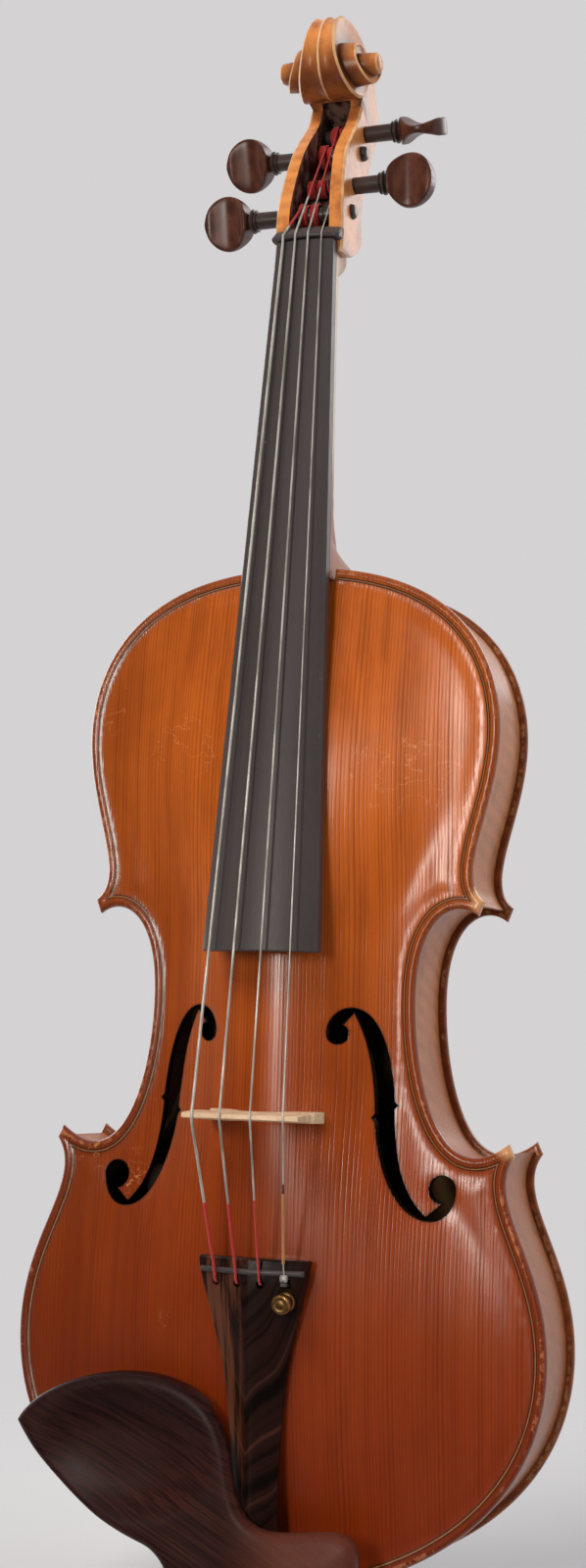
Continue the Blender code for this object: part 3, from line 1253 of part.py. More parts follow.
def add_bridge(frame, woods, top):
    """The maple bridge: feet cut to the belly, a heart and two open kidneys, thinner at the top."""
    tree = tree_of(top)

    def belly(x):
        found = [surface_y(tree, x + dx, BRIDGE_Z + dz, -1) for dx in (-0.001, 0, 0.001)
                 for dz in (-0.0023, 0, 0.0023)]
        return -min(found) + SEAT_GAP

    base = -surface_y(tree, 0.0, BRIDGE_Z, -1)
    foot_out = BRIDGE_FOOT_HALF_WIDTH
    foot_in = BRIDGE_FOOT_HALF_WIDTH - BRIDGE_FOOT_LENGTH
    foot_mid = (foot_in + foot_out) / 2
    crown = []
    for x in (BRIDGE_TOP_HALF_WIDTH - 0.0004, STRING_BRIDGE_SPREAD / 2, STRING_BRIDGE_SPREAD / 3,
              STRING_BRIDGE_SPREAD / 6):
        curve = ((x / (STRING_BRIDGE_SPREAD / 2)) ** 2 - 1 / 9) / (8 / 9)
        string_y = BRIDGE_INNER_STRING_Y + curve * (BRIDGE_OUTER_STRING_Y - BRIDGE_INNER_STRING_Y)
        crown.append((x, -string_y - max(STRING_RADIUS) - STRING_LIFT))
    arch = [(0, base + 0.0075), (0.0055, base + 0.0068), (0.0095, base + 0.0040),
            (foot_in - 0.0006, base + 0.0008)]
    foot = [(foot_in, belly(foot_in)), (foot_mid, belly(foot_mid)), (foot_out, belly(foot_out)),
            (foot_out - 0.0001, belly(foot_out) + 0.0026), (foot_out - 0.0045, base + 0.0016)]
    kidney = [(x, base + h) for x, h in (
        (0.0177, 0.0042), (0.0174, 0.0066), (0.0148, 0.0082), (0.0118, 0.0090), (0.0104, 0.0112),
        (0.0122, 0.0132), (0.0152, 0.0126), (0.0180, 0.0106), (0.0208, 0.0098))]
    wing = [(BRIDGE_TOP_HALF_WIDTH - 0.0010, base + 0.0108),
            (BRIDGE_TOP_HALF_WIDTH + 0.0006, base + 0.0140), (BRIDGE_TOP_HALF_WIDTH, base + 0.0190)]
    half = [np.array(point) for point in arch + foot + kidney + wing + crown]
    outline = cleaned(half + mirrored(half[1:])[::-1])
    heart = [np.array((x, base + h)) for x, h in (
        (0, 0.0122), (0.0016, 0.0142), (0.0034, 0.0160), (0.0034, 0.0180), (0.0016, 0.0188), (0, 0.0176))]
    heart = heart + mirrored(heart[1:5])[::-1]
    flat, faces = triangulated(outline, [heart], [], 0.02)
    height = -BRIDGE_INNER_STRING_Y - base

    def half_thickness(h):
        share = min(1.0, max(0.0, (h - base) / height))
        return 0.5 * (BRIDGE_FOOT_THICKNESS + share * (BRIDGE_TOP_THICKNESS - BRIDGE_FOOT_THICKNESS))

    mesh = slab(flat, faces, lambda x, h: -half_thickness(h), lambda x, h: half_thickness(h))
    for vertex in mesh.vertices:
        x, across, h = vertex.co
        vertex.co = (x, -h, BRIDGE_Z + across)
    mesh.flip_normals()
    place("bridge", mesh_of([v.co for v in mesh.vertices], [tuple(p.vertices) for p in mesh.polygons]),
          woods["bridge"], frame)


def add_tail(frame, woods):
    """Saddle, end button, tail gut, tailpiece and the fret across it."""
    half = SADDLE_HALF_WIDTH
    low_z = SADDLE_LOW_Z
    rings = []
    for x, rise in ((-half, 0.30), (-0.6 * half, 0.85), (-0.3 * half, 1.0), (0.3 * half, 1.0),
                    (0.6 * half, 0.85), (half, 0.30)):
        front = SADDLE_TOP_Y + (1 - rise) * SADDLE_RISE
        rings.append([(x, -HALF_RIB, low_z), (x, front + 0.0020, low_z), (x, front + 0.0006, low_z + 0.0008),
                      (x, front, low_z + 0.0024), (x, front + 0.0004, SADDLE_DEPTH - 0.0014),
                      (x, front + 0.0022, SADDLE_DEPTH), (x, -HALF_RIB, SADDLE_DEPTH)])
    place("saddle", loft(rings), woods["ebony"], frame)

    face_z = -BODY_Z
    shank_top = EDGE_OVERHANG + END_BUTTON_SHANK
    rib_z = EDGE_OVERHANG - SEAT_GAP
    profile = [(face_z, 0.72 * END_BUTTON_RADIUS), (face_z + 0.0012, 0.94 * END_BUTTON_RADIUS),
               (face_z + 0.0030, END_BUTTON_RADIUS), (face_z + 0.0055, 0.93 * END_BUTTON_RADIUS),
               (face_z + 0.0075, 0.70 * END_BUTTON_RADIUS), (face_z + 0.0095, 0.62 * END_BUTTON_RADIUS),
               (rib_z - 0.0030, 0.78 * END_BUTTON_RADIUS), (rib_z, 0.88 * END_BUTTON_RADIUS),
               (rib_z, END_BUTTON_SHANK_RADIUS), (shank_top, 0.88 * END_BUTTON_SHANK_RADIUS)]
    place("end_button", turned(profile, 16, "z"), woods["ebony"], frame, smooth=True)

    row = tailpiece_row(0.006)
    gut_y = row[1] + TAIL_GUT_RADIUS + 0.0004
    over_y = SADDLE_TOP_Y - TAIL_GUT_RADIUS - SEAT_GAP
    past_z = SADDLE_LOW_Z - TAIL_GUT_RADIUS - SEAT_GAP
    neck_z = face_z + 0.0085
    loop_radius = 0.70 * END_BUTTON_RADIUS + TAIL_GUT_RADIUS + SEAT_GAP
    spread = TAIL_GUT_HALF_SPREAD
    down = [(spread, gut_y, 0.0230), (spread, gut_y, 0.0090), (spread, over_y - 0.0006, 0.0044),
            (spread, over_y + 0.0002, 0.0020), (spread, over_y + 0.0014, past_z + 0.0010),
            (spread, over_y + 0.0034, past_z), (spread, -0.0200, past_z - 0.0006)]
    around = []
    for angle in np.linspace(-25, 205, 10):
        turn = math.radians(angle)
        around.append((loop_radius * math.cos(turn), loop_radius * math.sin(turn), neck_z))
    path = down + around + [(-x, y, z) for x, y, z in down[::-1]]
    place("tail_gut", tube(path, TAIL_GUT_RADIUS, 6), woods["gut"], frame)

    rings = []
    for z, half, low, arris, ridge in TAILPIECE_STATIONS:
        slope = (arris + ridge) / 2 - TAILPIECE_BOW
        rings.append([(-half, low, z), (-half, arris, z), (-half / 2, slope, z), (0, ridge, z),
                      (half / 2, slope, z), (half, arris, z), (half, low, z)])
    body = loft(rings)
    cutters = []
    for index, name in enumerate(STRING_NAMES):
        tail_x = string_points(index)[0]
        if name != "a":
            cutters.append(turned([(-0.056, STRING_SLOT_RADIUS), (-0.036, STRING_SLOT_RADIUS)], 8, "y",
                                  (tail_x, 0, STRING_SLOT_Z)))
    place("tailpiece", combined(body, "DIFFERENCE", cutters + tuner_cutters()), woods["tail"], frame)

    rings = []
    for z, lift in ((FRET_Z - FRET_LENGTH / 2, 0.3), (FRET_Z, 1.0), (FRET_Z + FRET_LENGTH / 2, 0.3)):
        half = tailpiece_row(z)[0] - 0.0006
        ring = []
        for across in (-1, -0.5, 0, 0.5, 1):
            ring.append((half * across, tailpiece_top_y(half * across, z) - FRET_RISE * lift, z))
        for across in (1, 0.5, 0, -0.5, -1):
            ring.append((half * across, tailpiece_top_y(half * across, z) - SEAT_GAP / 2, z))
        rings.append(ring)
    place("tailpiece_fret", loft(rings), woods["ebony"], frame)


def on_tuner_seat(mesh):
    """A mesh drawn square to the fine tuner, turned and moved to its place in the tailpiece."""
    mesh.transform(TUNER_MATRIX)
    return mesh


def tuner_cutters():
    """The seat, bore, recess and hook slot that the tailpiece has for the fine tuner."""
    u, w_low, w_high = TUNER_EAR_X + SEAT_GAP, -TUNER_PLATE_HALF - SEAT_GAP, TUNER_HOOK_Z + 0.0018
    seat = TUNER_COLLAR_RADIUS + SEAT_GAP
    bore = TUNER_STEM_RADIUS + SEAT_GAP
    return [
        on_tuner_seat(turned([(-0.006, seat), (SEAT_GAP, seat)], 16, "y")),
        on_tuner_seat(turned([(-0.001, bore), (0.004, bore)], 12, "y")),
        on_tuner_seat(box((-u, TUNER_PLATE_Y - SEAT_GAP, w_low), (u, 0.010, w_high))),
        on_tuner_seat(box((-TUNER_LEVER_HALF_WIDTH - 2 * SEAT_GAP, -0.006, TUNER_HOOK_Z - TUNER_HOOK_SWING),
                          (TUNER_LEVER_HALF_WIDTH + 2 * SEAT_GAP, 0.004, w_high))),
    ]


def add_tuner(frame, woods):
    """Collar and ears let into the tailpiece, the screw and knob through it, and the hooked lever."""
    plate_low = TUNER_PLATE_Y + TUNER_PLATE_THICKNESS
    collar = turned([(-TUNER_COLLAR_HEIGHT, 0.86 * TUNER_COLLAR_RADIUS),
                     (-0.8 * TUNER_COLLAR_HEIGHT, TUNER_COLLAR_RADIUS),
                     (0.0, TUNER_COLLAR_RADIUS)], 16, "y")
    stem = turned([(-0.0005, TUNER_STEM_RADIUS), (TUNER_PLATE_Y + 0.0002, TUNER_STEM_RADIUS)], 12, "y")
    plate = box((-TUNER_EAR_X, TUNER_PLATE_Y, -TUNER_PLATE_HALF),
                (TUNER_EAR_X, plate_low, TUNER_PLATE_HALF))
    ear_inner = TUNER_LEVER_HALF_WIDTH + SEAT_GAP
    ears = [box((min(side * ear_inner, side * TUNER_EAR_X), TUNER_PLATE_Y + 0.0001, 0.5 * TUNER_PLATE_HALF),
                (max(side * ear_inner, side * TUNER_EAR_X), TUNER_PIVOT_Y + 0.0011, TUNER_PIVOT_Z + 0.0012))
            for side in (-1, 1)]
    body = combined(collar, "UNION", [stem, plate, *ears])
    bore = TUNER_SCREW_RADIUS + SEAT_GAP
    pin_hole = TUNER_PIN_RADIUS + SEAT_GAP
    body = combined(body, "DIFFERENCE", [
        turned([(-0.005, bore), (0.006, bore)], 12, "y"),
        turned([(-0.005, pin_hole), (0.005, pin_hole)], 8, "x", (0, TUNER_PIVOT_Y, TUNER_PIVOT_Z)),
    ])
    seat = bpy.data.objects.new("tuner_seat", None)
    bpy.context.collection.objects.link(seat)
    seat.parent = frame
    seat.location = TUNER_SEAT
    seat.rotation_euler = (TUNER_TILT, 0, 0)
    place("tuner_frame", body, woods["brass"], seat)

    tip = TUNER_PIVOT_Y - TUNER_LEVER_THICKNESS / 2 - SEAT_GAP
    rod = turned([(-TUNER_KNOB_LIFT + SEAT_GAP, TUNER_SCREW_RADIUS), (tip, TUNER_SCREW_RADIUS)], 12, "y")
    place("tuner_screw", rod, woods["steel"], seat)

    rings = []
    for along, scale in ((0.0, 0.90), (0.12, 1.0), (0.80, 1.0), (1.0, 0.86)):
        y = -TUNER_KNOB_LIFT - along * TUNER_KNOB_HEIGHT
        ring = []
        for step in range(24):
            radius = scale * TUNER_KNOB_RADIUS * (1.0 if step % 2 else 0.95)
            angle = 2 * math.pi * step / 24
            ring.append((radius * math.cos(angle), y, radius * math.sin(angle)))
        rings.append(ring)
    place("tuner_knob", loft(rings), woods["brass"], seat)

    half, thick = TUNER_LEVER_HALF_WIDTH, TUNER_LEVER_THICKNESS / 2
    hook_low = TUNER_HOOK_Z - 0.0007 - TUNER_PIVOT_Z
    hook_high = TUNER_HOOK_Z + 0.0007 - TUNER_PIVOT_Z
    arm = box((-half, -thick, -TUNER_PIVOT_Z - 0.0015), (half, thick, hook_high))
    hook = box((-0.98 * half, TUNER_HOOK_Y - TUNER_PIVOT_Y, hook_low),
               (0.98 * half, 0.5 * thick, hook_high - 0.00005))
    pin = turned([(-TUNER_EAR_X, TUNER_PIN_RADIUS), (TUNER_EAR_X, TUNER_PIN_RADIUS)], 8, "x")
    lever = combined(arm, "UNION", [hook, pin])
    place("tuner_lever", lever, woods["steel"], seat, (0, TUNER_PIVOT_Y, TUNER_PIVOT_Z))


def chinrest_outline():
    """The chinrest seen from the front: a pointed cup on the bass side and an arm over the tail."""
    tip, crest, arm = CHINREST_TIP, CHINREST_CREST, (CHINREST_ARM_X, CHINREST_ARM_Z)
    hollow, low, left = CHINREST_THROAT, CHINREST_LOW_Z, CHINREST_LEFT
    runs = [
        bezier(tip, (tip[0] + 0.0120, tip[1] + 0.0220), (-0.0240, crest[1] + 0.0330), crest, 8),
        bezier(crest, (-0.0030, 0.0460), (-0.0080, hollow[1]), hollow, 5),
        bezier(hollow, (0.0270, hollow[1]), (arm[0], 0.0345), arm, 5),
        bezier(arm, (arm[0], 0.0020), (0.0400, low), (0.0240, low), 5),
        bezier((0.0240, low), (0.0080, low), (-0.0080, low), (-0.0240, low), 4),
        bezier((-0.0240, low), (-0.0310, low), (-0.0265, 0.0120), left, 4),
        bezier(left, (-0.0640, 0.0240), (-0.0850, 0.0380), tip, 6),
    ]
    return cleaned(np.vstack([run[:-1] for run in runs]))


def chinrest_top_y(x, z):
    """The chinrest's upper face: a dished cup running into a domed arm."""
    arm = smooth_step((x - CHINREST_CUP[0] - 0.040) / 0.030)
    level = CHINREST_RIM_Y + arm * (CHINREST_ARM_Y - CHINREST_RIM_Y)
    across = (x - CHINREST_CUP[0]) / CHINREST_CUP_RADII[0]
    along = (z - CHINREST_CUP[1]) / CHINREST_CUP_RADII[1]
    return level + CHINREST_HOLLOW * max(0.0, 1 - across ** 2 - along ** 2) ** 0.8


def add_chinrest(frame, woods):
    """The chinrest, the corks under its feet and the clamp that holds it to the edges."""
    outline = chinrest_outline()
    tangents = [(outline[(k + 1) % len(outline)] - outline[k - 1]) for k in range(len(outline))]
    inner = []
    for point, tangent in zip(outline, tangents):
        normal = np.array((tangent[1], -tangent[0])) / np.hypot(*tangent)
        moved = point + CHINREST_ROUND * normal
        if inside(outline, moved) and distance_to(outline, moved) > 0.85 * CHINREST_ROUND:
            inner.append(moved)
    inner = cleaned(inner, 0.002)
    flat, faces = triangulated(outline, [], [inner], CHINREST_GRID)

    def front(x, z):
        away = min(1.0, distance_to(outline, (x, z)) / CHINREST_ROUND)
        return chinrest_top_y(x, z) + CHINREST_ROUND * (1 - math.sqrt(1 - (1 - away) ** 2)) * 0.8

    def back(x, z):
        over_tail = smooth_step((x + 0.019) / 0.005)
        return CHINREST_CUP_UNDER_Y + over_tail * (CHINREST_ARM_UNDER_Y - CHINREST_CUP_UNDER_Y)

    body = slab(flat, faces, front, back)
    plate_y = -(HALF_RIB + EDGE_THICKNESS)
    cork_y = plate_y - CHINREST_CORK_GAP
    foot_y = cork_y - CHINREST_CORK - SEAT_GAP
    feet = []
    for low, high in CHINREST_FEET:
        feet.append(box((low, CHINREST_ARM_UNDER_Y - 0.002, CHINREST_FOOT_Z[0]),
                        (high, foot_y, CHINREST_FOOT_Z[1])))
    place("chinrest", combined(body, "UNION", feet), woods["rosewood"], frame, smooth=True)
    for label, (low, high) in zip(("bass", "treble"), CHINREST_FEET):
        cork = box((low + 0.0005, foot_y + SEAT_GAP, CORK_Z[0]), (high - 0.0005, cork_y, CORK_Z[1]))
        place(f"chinrest_cork_{label}", cork, woods["cork"], frame)

    bar_half = CLAMP_X + CLAMP_BAR_MARGIN
    bar_top = foot_y + SEAT_GAP
    bar = box((-bar_half, bar_top, CLAMP_Z - CLAMP_BAR_HALF),
              (bar_half, bar_top + CLAMP_BAR_THICKNESS, CLAMP_Z + CLAMP_BAR_HALF))
    studs = [turned([(bar_top + 0.0004, CLAMP_STUD_RADIUS), (-CLAMP_STUD_ENTRY, CLAMP_STUD_RADIUS)], 10, "y",
                    (side * CLAMP_X, 0, CLAMP_Z)) for side in (-1, 1)]
    place("clamp_bracket", combined(bar, "UNION", studs), woods["nickel"], frame)

    wall = [(-CLAMP_BARREL_HALF_LENGTH, CLAMP_BARREL_RADIUS), (CLAMP_BARREL_HALF_LENGTH, CLAMP_BARREL_RADIUS)]
    bore = CLAMP_STUD_RADIUS + SEAT_GAP
    for label, side in (("bass", -1), ("treble", 1)):
        barrel = combined(turned(wall, 16, "y"), "DIFFERENCE", [
            turned([(-0.02, bore), (0.02, bore)], 12, "y"),
            turned([(-0.01, CLAMP_KEY_RADIUS), (0.01, CLAMP_KEY_RADIUS)], 8, "x"),
        ])
        place(f"clamp_barrel_{label}", barrel, woods["nickel"], frame, (side * CLAMP_X, 0, CLAMP_Z))

    back_y = HALF_RIB + EDGE_THICKNESS
    pad_y = back_y + CHINREST_CORK_GAP
    foot_low = pad_y + CHINREST_CORK + SEAT_GAP
    bar = box((-bar_half, foot_low, CLAMP_Z - CLAMP_BAR_HALF),
              (bar_half, foot_low + CLAMP_FOOT_THICKNESS, CLAMP_FOOT_DEPTH))
    studs = [turned([(CLAMP_STUD_ENTRY, CLAMP_STUD_RADIUS), (foot_low + 0.0004, CLAMP_STUD_RADIUS)], 10, "y",
                    (side * CLAMP_X, 0, CLAMP_Z)) for side in (-1, 1)]
    place("clamp_foot", combined(bar, "UNION", studs), woods["nickel"], frame)
    pad = box((-bar_half + 0.0005, pad_y, CORK_Z[0]),
              (bar_half - 0.0005, pad_y + CHINREST_CORK, CORK_Z[1]))
    place("clamp_foot_cork", pad, woods["cork"], frame)


clear_scene()
body_frame = bpy.data.objects.new("body_frame", None)
bpy.context.collection.objects.link(body_frame)
body_frame.location = (0, 0, BODY_Z)

materials = {
    "spruce": wood("spruce", (0.42, 0.17, 0.05), 0.25),
    "maple": wood("maple", (0.40, 0.18, 0.06), 0.28),
    "rib": wood("rib_maple", (0.45, 0.24, 0.12), 0.32),
    "neck": wood("neck_maple", (0.48, 0.25, 0.09), 0.35),
    "purfling": wood("purfling", (0.03, 0.02, 0.015), 0.5),
    "lining": wood("lining_willow", (0.60, 0.45, 0.28), 0.7),
    "block": wood("block_spruce", (0.58, 0.43, 0.27), 0.7),
    "bar": wood("bar_spruce", (0.62, 0.47, 0.30), 0.7),
    "ebony": wood("ebony", (0.025, 0.02, 0.018), 0.35),
    "rosewood": wood("rosewood", (0.09, 0.03, 0.02), 0.3),
    "tail": wood("tail_rosewood", (0.07, 0.03, 0.02), 0.4),
    "bridge": wood("bridge_maple", (0.66, 0.50, 0.32), 0.5),
    "steel": wood("steel", (0.62, 0.62, 0.60), 0.3, 1.0),
    "nickel": wood("nickel", (0.66, 0.64, 0.60), 0.25, 1.0),
    "brass": wood("brass", (0.62, 0.42, 0.16), 0.3, 1.0),
    "gut": wood("tail_gut", (0.05, 0.05, 0.05), 0.5),
    "cork": wood("cork", (0.42, 0.26, 0.15), 0.9),
}

top_plate, back_plate = add_plates(body_frame, materials)
add_ribs(body_frame, materials)
add_inner_parts(body_frame, materials, top_plate, back_plate)
add_neck(body_frame, materials)
add_board_and_nut(body_frame, materials)
add_pegs(body_frame, materials)
add_strings(body_frame, materials)
add_bridge(body_frame, materials, top_plate)
add_tail(body_frame, materials)
add_tuner(body_frame, materials)
add_chinrest(body_frame, materials)
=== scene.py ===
import json
import math

import bmesh
import bpy
import numpy as np
from mathutils import Matrix, Vector
from mathutils.geometry import delaunay_2d_cdt
from mathutils.kdtree import KDTree


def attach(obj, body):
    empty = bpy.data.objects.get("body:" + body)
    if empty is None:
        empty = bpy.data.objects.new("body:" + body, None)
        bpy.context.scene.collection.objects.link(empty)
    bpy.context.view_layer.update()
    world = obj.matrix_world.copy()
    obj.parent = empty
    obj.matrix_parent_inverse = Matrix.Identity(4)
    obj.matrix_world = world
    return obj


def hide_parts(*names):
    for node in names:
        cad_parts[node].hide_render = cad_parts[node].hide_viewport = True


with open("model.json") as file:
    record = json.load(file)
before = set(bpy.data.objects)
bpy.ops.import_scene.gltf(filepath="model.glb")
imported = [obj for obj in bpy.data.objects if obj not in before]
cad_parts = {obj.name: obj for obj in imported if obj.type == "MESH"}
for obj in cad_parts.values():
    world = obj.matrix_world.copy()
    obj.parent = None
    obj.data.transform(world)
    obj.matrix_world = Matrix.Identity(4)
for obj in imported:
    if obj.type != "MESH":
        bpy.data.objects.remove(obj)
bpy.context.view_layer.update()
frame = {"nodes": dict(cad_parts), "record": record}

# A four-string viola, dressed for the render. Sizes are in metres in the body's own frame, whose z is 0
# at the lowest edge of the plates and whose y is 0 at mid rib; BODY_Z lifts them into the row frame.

SCENE = bpy.context.scene
BODY_Z = 0.0137

# Camera: the photograph's own viewpoint. Its lens and shift give the photograph's framing.
PHOTO_SIZE = (598, 1600)
FOCAL_PIXELS = 2526.1
PRINCIPAL_PIXEL = (253.7, 579.9)
CAMERA_AT = (0.3697, -0.9809, 0.2208)
CAMERA_YAW, CAMERA_PITCH, CAMERA_ROLL = (math.radians(angle) for angle in (22.14, 11.03, 1.76))
SENSOR = 36.0


def add_camera():
    forward = Vector((-math.sin(CAMERA_YAW) * math.cos(CAMERA_PITCH),
                      math.cos(CAMERA_YAW) * math.cos(CAMERA_PITCH), math.sin(CAMERA_PITCH)))
    level = Vector((math.cos(CAMERA_YAW), math.sin(CAMERA_YAW), 0))
    upright = level.cross(forward)
    right = level * math.cos(CAMERA_ROLL) + upright * math.sin(CAMERA_ROLL)
    up = upright * math.cos(CAMERA_ROLL) - level * math.sin(CAMERA_ROLL)
    data = bpy.data.cameras.new("camera")
    data.sensor_width = SENSOR
    data.lens = FOCAL_PIXELS / PHOTO_SIZE[1] * SENSOR
    data.shift_x = (PHOTO_SIZE[0] / 2 - PRINCIPAL_PIXEL[0]) / PHOTO_SIZE[1]
    data.shift_y = (PRINCIPAL_PIXEL[1] - PHOTO_SIZE[1] / 2) / PHOTO_SIZE[1]
    data.clip_start, data.clip_end = 0.05, 60
    camera = bpy.data.objects.new("camera", data)
    camera.matrix_world = Matrix.Translation(CAMERA_AT) @ Matrix((right, up, -forward)).transposed().to_4x4()
    SCENE.collection.objects.link(camera)
    SCENE.camera = camera


add_camera()


# Studio: a pale floor that fades into the pale background, and soft area lights.
# The side behind the camera is a dim room, as varnish would mirror it, and the far side is pale.
FLOOR_Z = -0.001
FLOOR_SOLID_RADIUS, FLOOR_FADE_RADIUS = 0.22, 0.80
BACKDROP_COLOUR = (0.66, 0.645, 0.65, 1)
AMBIENT_COLOUR = (0.90, 0.93, 1.0, 1)
AMBIENT_STRENGTH, ROOM_LEVEL = 0.50, 0.16
ROOM_FROM, ROOM_TO = -0.85, 0.25
LIGHTS = (
    ("streak", (-0.15, -1.75, 0.50), (0.0, 0, 0.20), (0.20, 0.50), 11.0, (1.0, 0.94, 0.86)),
    ("key", (-0.60, -1.50, 1.95), (0, 0, 0.40), (1.2, 1.0), 36.0, (1.0, 0.98, 0.95)),
    ("fill", (1.70, -0.60, 1.25), (0, 0, 0.36), (0.9, 1.2), 11.0, (0.97, 0.98, 1.0)),
    ("back", (0.90, 1.60, 1.50), (0, 0, 0.35), (1.2, 1.2), 16.0, (1.0, 1.0, 1.0)),
    ("back_left", (-1.60, 1.20, 0.90), (0, 0, 0.35), (1.2, 1.2), 14.0, (1.0, 1.0, 1.0)),
)


def node(tree, kind, inputs=None, **settings):
    """One shader node; inputs holds values or the sockets to link."""
    made = tree.nodes.new("ShaderNode" + kind)
    for key, value in settings.items():
        setattr(made, key, value)
    for key, value in (inputs or {}).items():
        if isinstance(value, bpy.types.NodeSocket):
            tree.links.new(value, made.inputs[key])
        else:
            made.inputs[key].default_value = value
    return made


def add_studio():
    world = bpy.data.worlds.new("studio")
    SCENE.world = world
    world.use_nodes = True
    tree = world.node_tree
    tree.nodes.clear()
    seen = node(tree, "LightPath").outputs
    mirror = node(tree, "Math", {0: seen["Is Glossy Ray"], 1: seen["Is Transmission Ray"]}, operation="MAXIMUM")
    shown = node(tree, "Math", {0: seen["Is Camera Ray"], 1: mirror.outputs[0]}, operation="MAXIMUM")
    toward = node(tree, "SeparateXYZ", {0: node(tree, "TexCoord").outputs["Generated"]}).outputs[1]
    room = node(tree, "MapRange", {"Value": toward, "From Min": ROOM_FROM, "From Max": ROOM_TO, "To Min": ROOM_LEVEL,
                                   "To Max": 1.0}, interpolation_type="SMOOTHERSTEP")
    soft = node(tree, "Math", {0: room.outputs[0], 1: AMBIENT_STRENGTH}, operation="MULTIPLY")
    dark = node(tree, "Math", {0: room.outputs[0], 1: 2.0}, operation="POWER")
    level = node(tree, "Math", {0: dark.outputs[0], 1: seen["Is Camera Ray"]}, operation="MAXIMUM")
    ambient = node(tree, "Background", {"Color": AMBIENT_COLOUR, "Strength": soft.outputs[0]})
    backdrop = node(tree, "Background", {"Color": BACKDROP_COLOUR, "Strength": level.outputs[0]})
    mix = node(tree, "MixShader", {0: shown.outputs[0], 1: ambient.outputs[0], 2: backdrop.outputs[0]})
    node(tree, "OutputWorld", {"Surface": mix.outputs[0]})

    mesh = bpy.data.meshes.new("floor")
    work = bmesh.new()
    bmesh.ops.create_circle(work, cap_ends=True, segments=64, radius=FLOOR_FADE_RADIUS)
    work.to_mesh(mesh)
    work.free()
    floor = bpy.data.objects.new("floor", mesh)
    floor.location = (0, 0, FLOOR_Z)
    floor.visible_glossy = False
    SCENE.collection.objects.link(floor)
    paint = bpy.data.materials.new("floor")
    paint.use_nodes = True
    tree = paint.node_tree
    tree.nodes.clear()
    where = node(tree, "TexCoord")
    reach = node(tree, "VectorMath", {0: where.outputs["Object"]}, operation="LENGTH")
    fade = node(tree, "MapRange", {"Value": reach.outputs["Value"], "From Min": FLOOR_SOLID_RADIUS,
                                   "From Max": FLOOR_FADE_RADIUS}, interpolation_type="SMOOTHERSTEP")
    diffuse = node(tree, "BsdfDiffuse", {"Color": (0.60, 0.59, 0.585, 1)})
    clear = node(tree, "BsdfTransparent")
    mix = node(tree, "MixShader", {0: fade.outputs[0], 1: diffuse.outputs[0], 2: clear.outputs[0]})
    node(tree, "OutputMaterial", {"Surface": mix.outputs[0]})
    mesh.materials.append(paint)

    for name, place, aim, size, power, colour in LIGHTS:
        data = bpy.data.lights.new(name, "AREA")
        data.shape = "RECTANGLE"
        data.size, data.size_y = size
        data.energy = power
        data.color = colour
        lamp = bpy.data.objects.new(name, data)
        lamp.location = place
        lamp.rotation_euler = (Vector(aim) - Vector(place)).to_track_quat("-Z", "Y").to_euler()
        lamp.visible_camera = False
        lamp.visible_glossy = name not in ("key", "fill")
        SCENE.collection.objects.link(lamp)


add_studio()
SCENE.view_settings.view_transform = "Standard"


# Belly: carved spruce under an old orange-brown oil varnish, with two sound holes cut through it.
# Its edge stands up as a worn bead round a shallow channel, and the arch rises inside that.

BODY_LENGTH = 0.408
UPPER_HALF_WIDTH, UPPER_WIDEST_Z = 0.0910, 0.3380
UPPER_CORNER, UPPER_CORNER_FOOT = (0.0855, 0.2685), (0.0832, 0.2627)
WAIST_HALF_WIDTH, WAIST_Z, WAIST_BELOW, WAIST_ABOVE = 0.0570, 0.2290, 0.0290, 0.0210
LOWER_CORNER, LOWER_CORNER_FOOT = (0.0966, 0.1744), (0.0988, 0.1696)
LOWER_HALF_WIDTH, LOWER_WIDEST_Z = 0.1124, 0.0930
HALF_RIB = 0.019
EDGE_THICKNESS, CENTRE_THICKNESS = 0.0042, 0.0031
EDGE_OVERHANG = 0.0028
EDGE_CHANNEL = 0.0060
FRONT_ARCH = 0.0165
BEAD_RADIUS, BEAD_RISE = 0.0019, 0.00025
UNDER_RADIUS = 0.0013
CHANNEL_AT, CHANNEL_DEPTH, CHANNEL_WIDTH = 0.0066, 0.0008, 0.0034
PURFLING_INSET, PURFLING_WIDTH = 0.0036, 0.0013
GROOVE_DEPTH = 0.0006
RIM_RINGS = (0.00025, 0.0007, 0.0013, 0.0020, 0.0028, 0.0060)
PLATE_SPACING = 0.0027
CURVE_STEPS = 9
SEAT_GAP = 0.0003


def bezier(start, pull_a, pull_b, end, count):
    """Points of one cubic curve, both ends included."""
    start, pull_a, pull_b, end = (np.array(p, float) for p in (start, pull_a, pull_b, end))
    t = np.linspace(0, 1, count * CURVE_STEPS + 1)[:, None]
    return ((1 - t) ** 3 * start + 3 * (1 - t) ** 2 * t * pull_a
            + 3 * (1 - t) * t ** 2 * pull_b + t ** 3 * end)


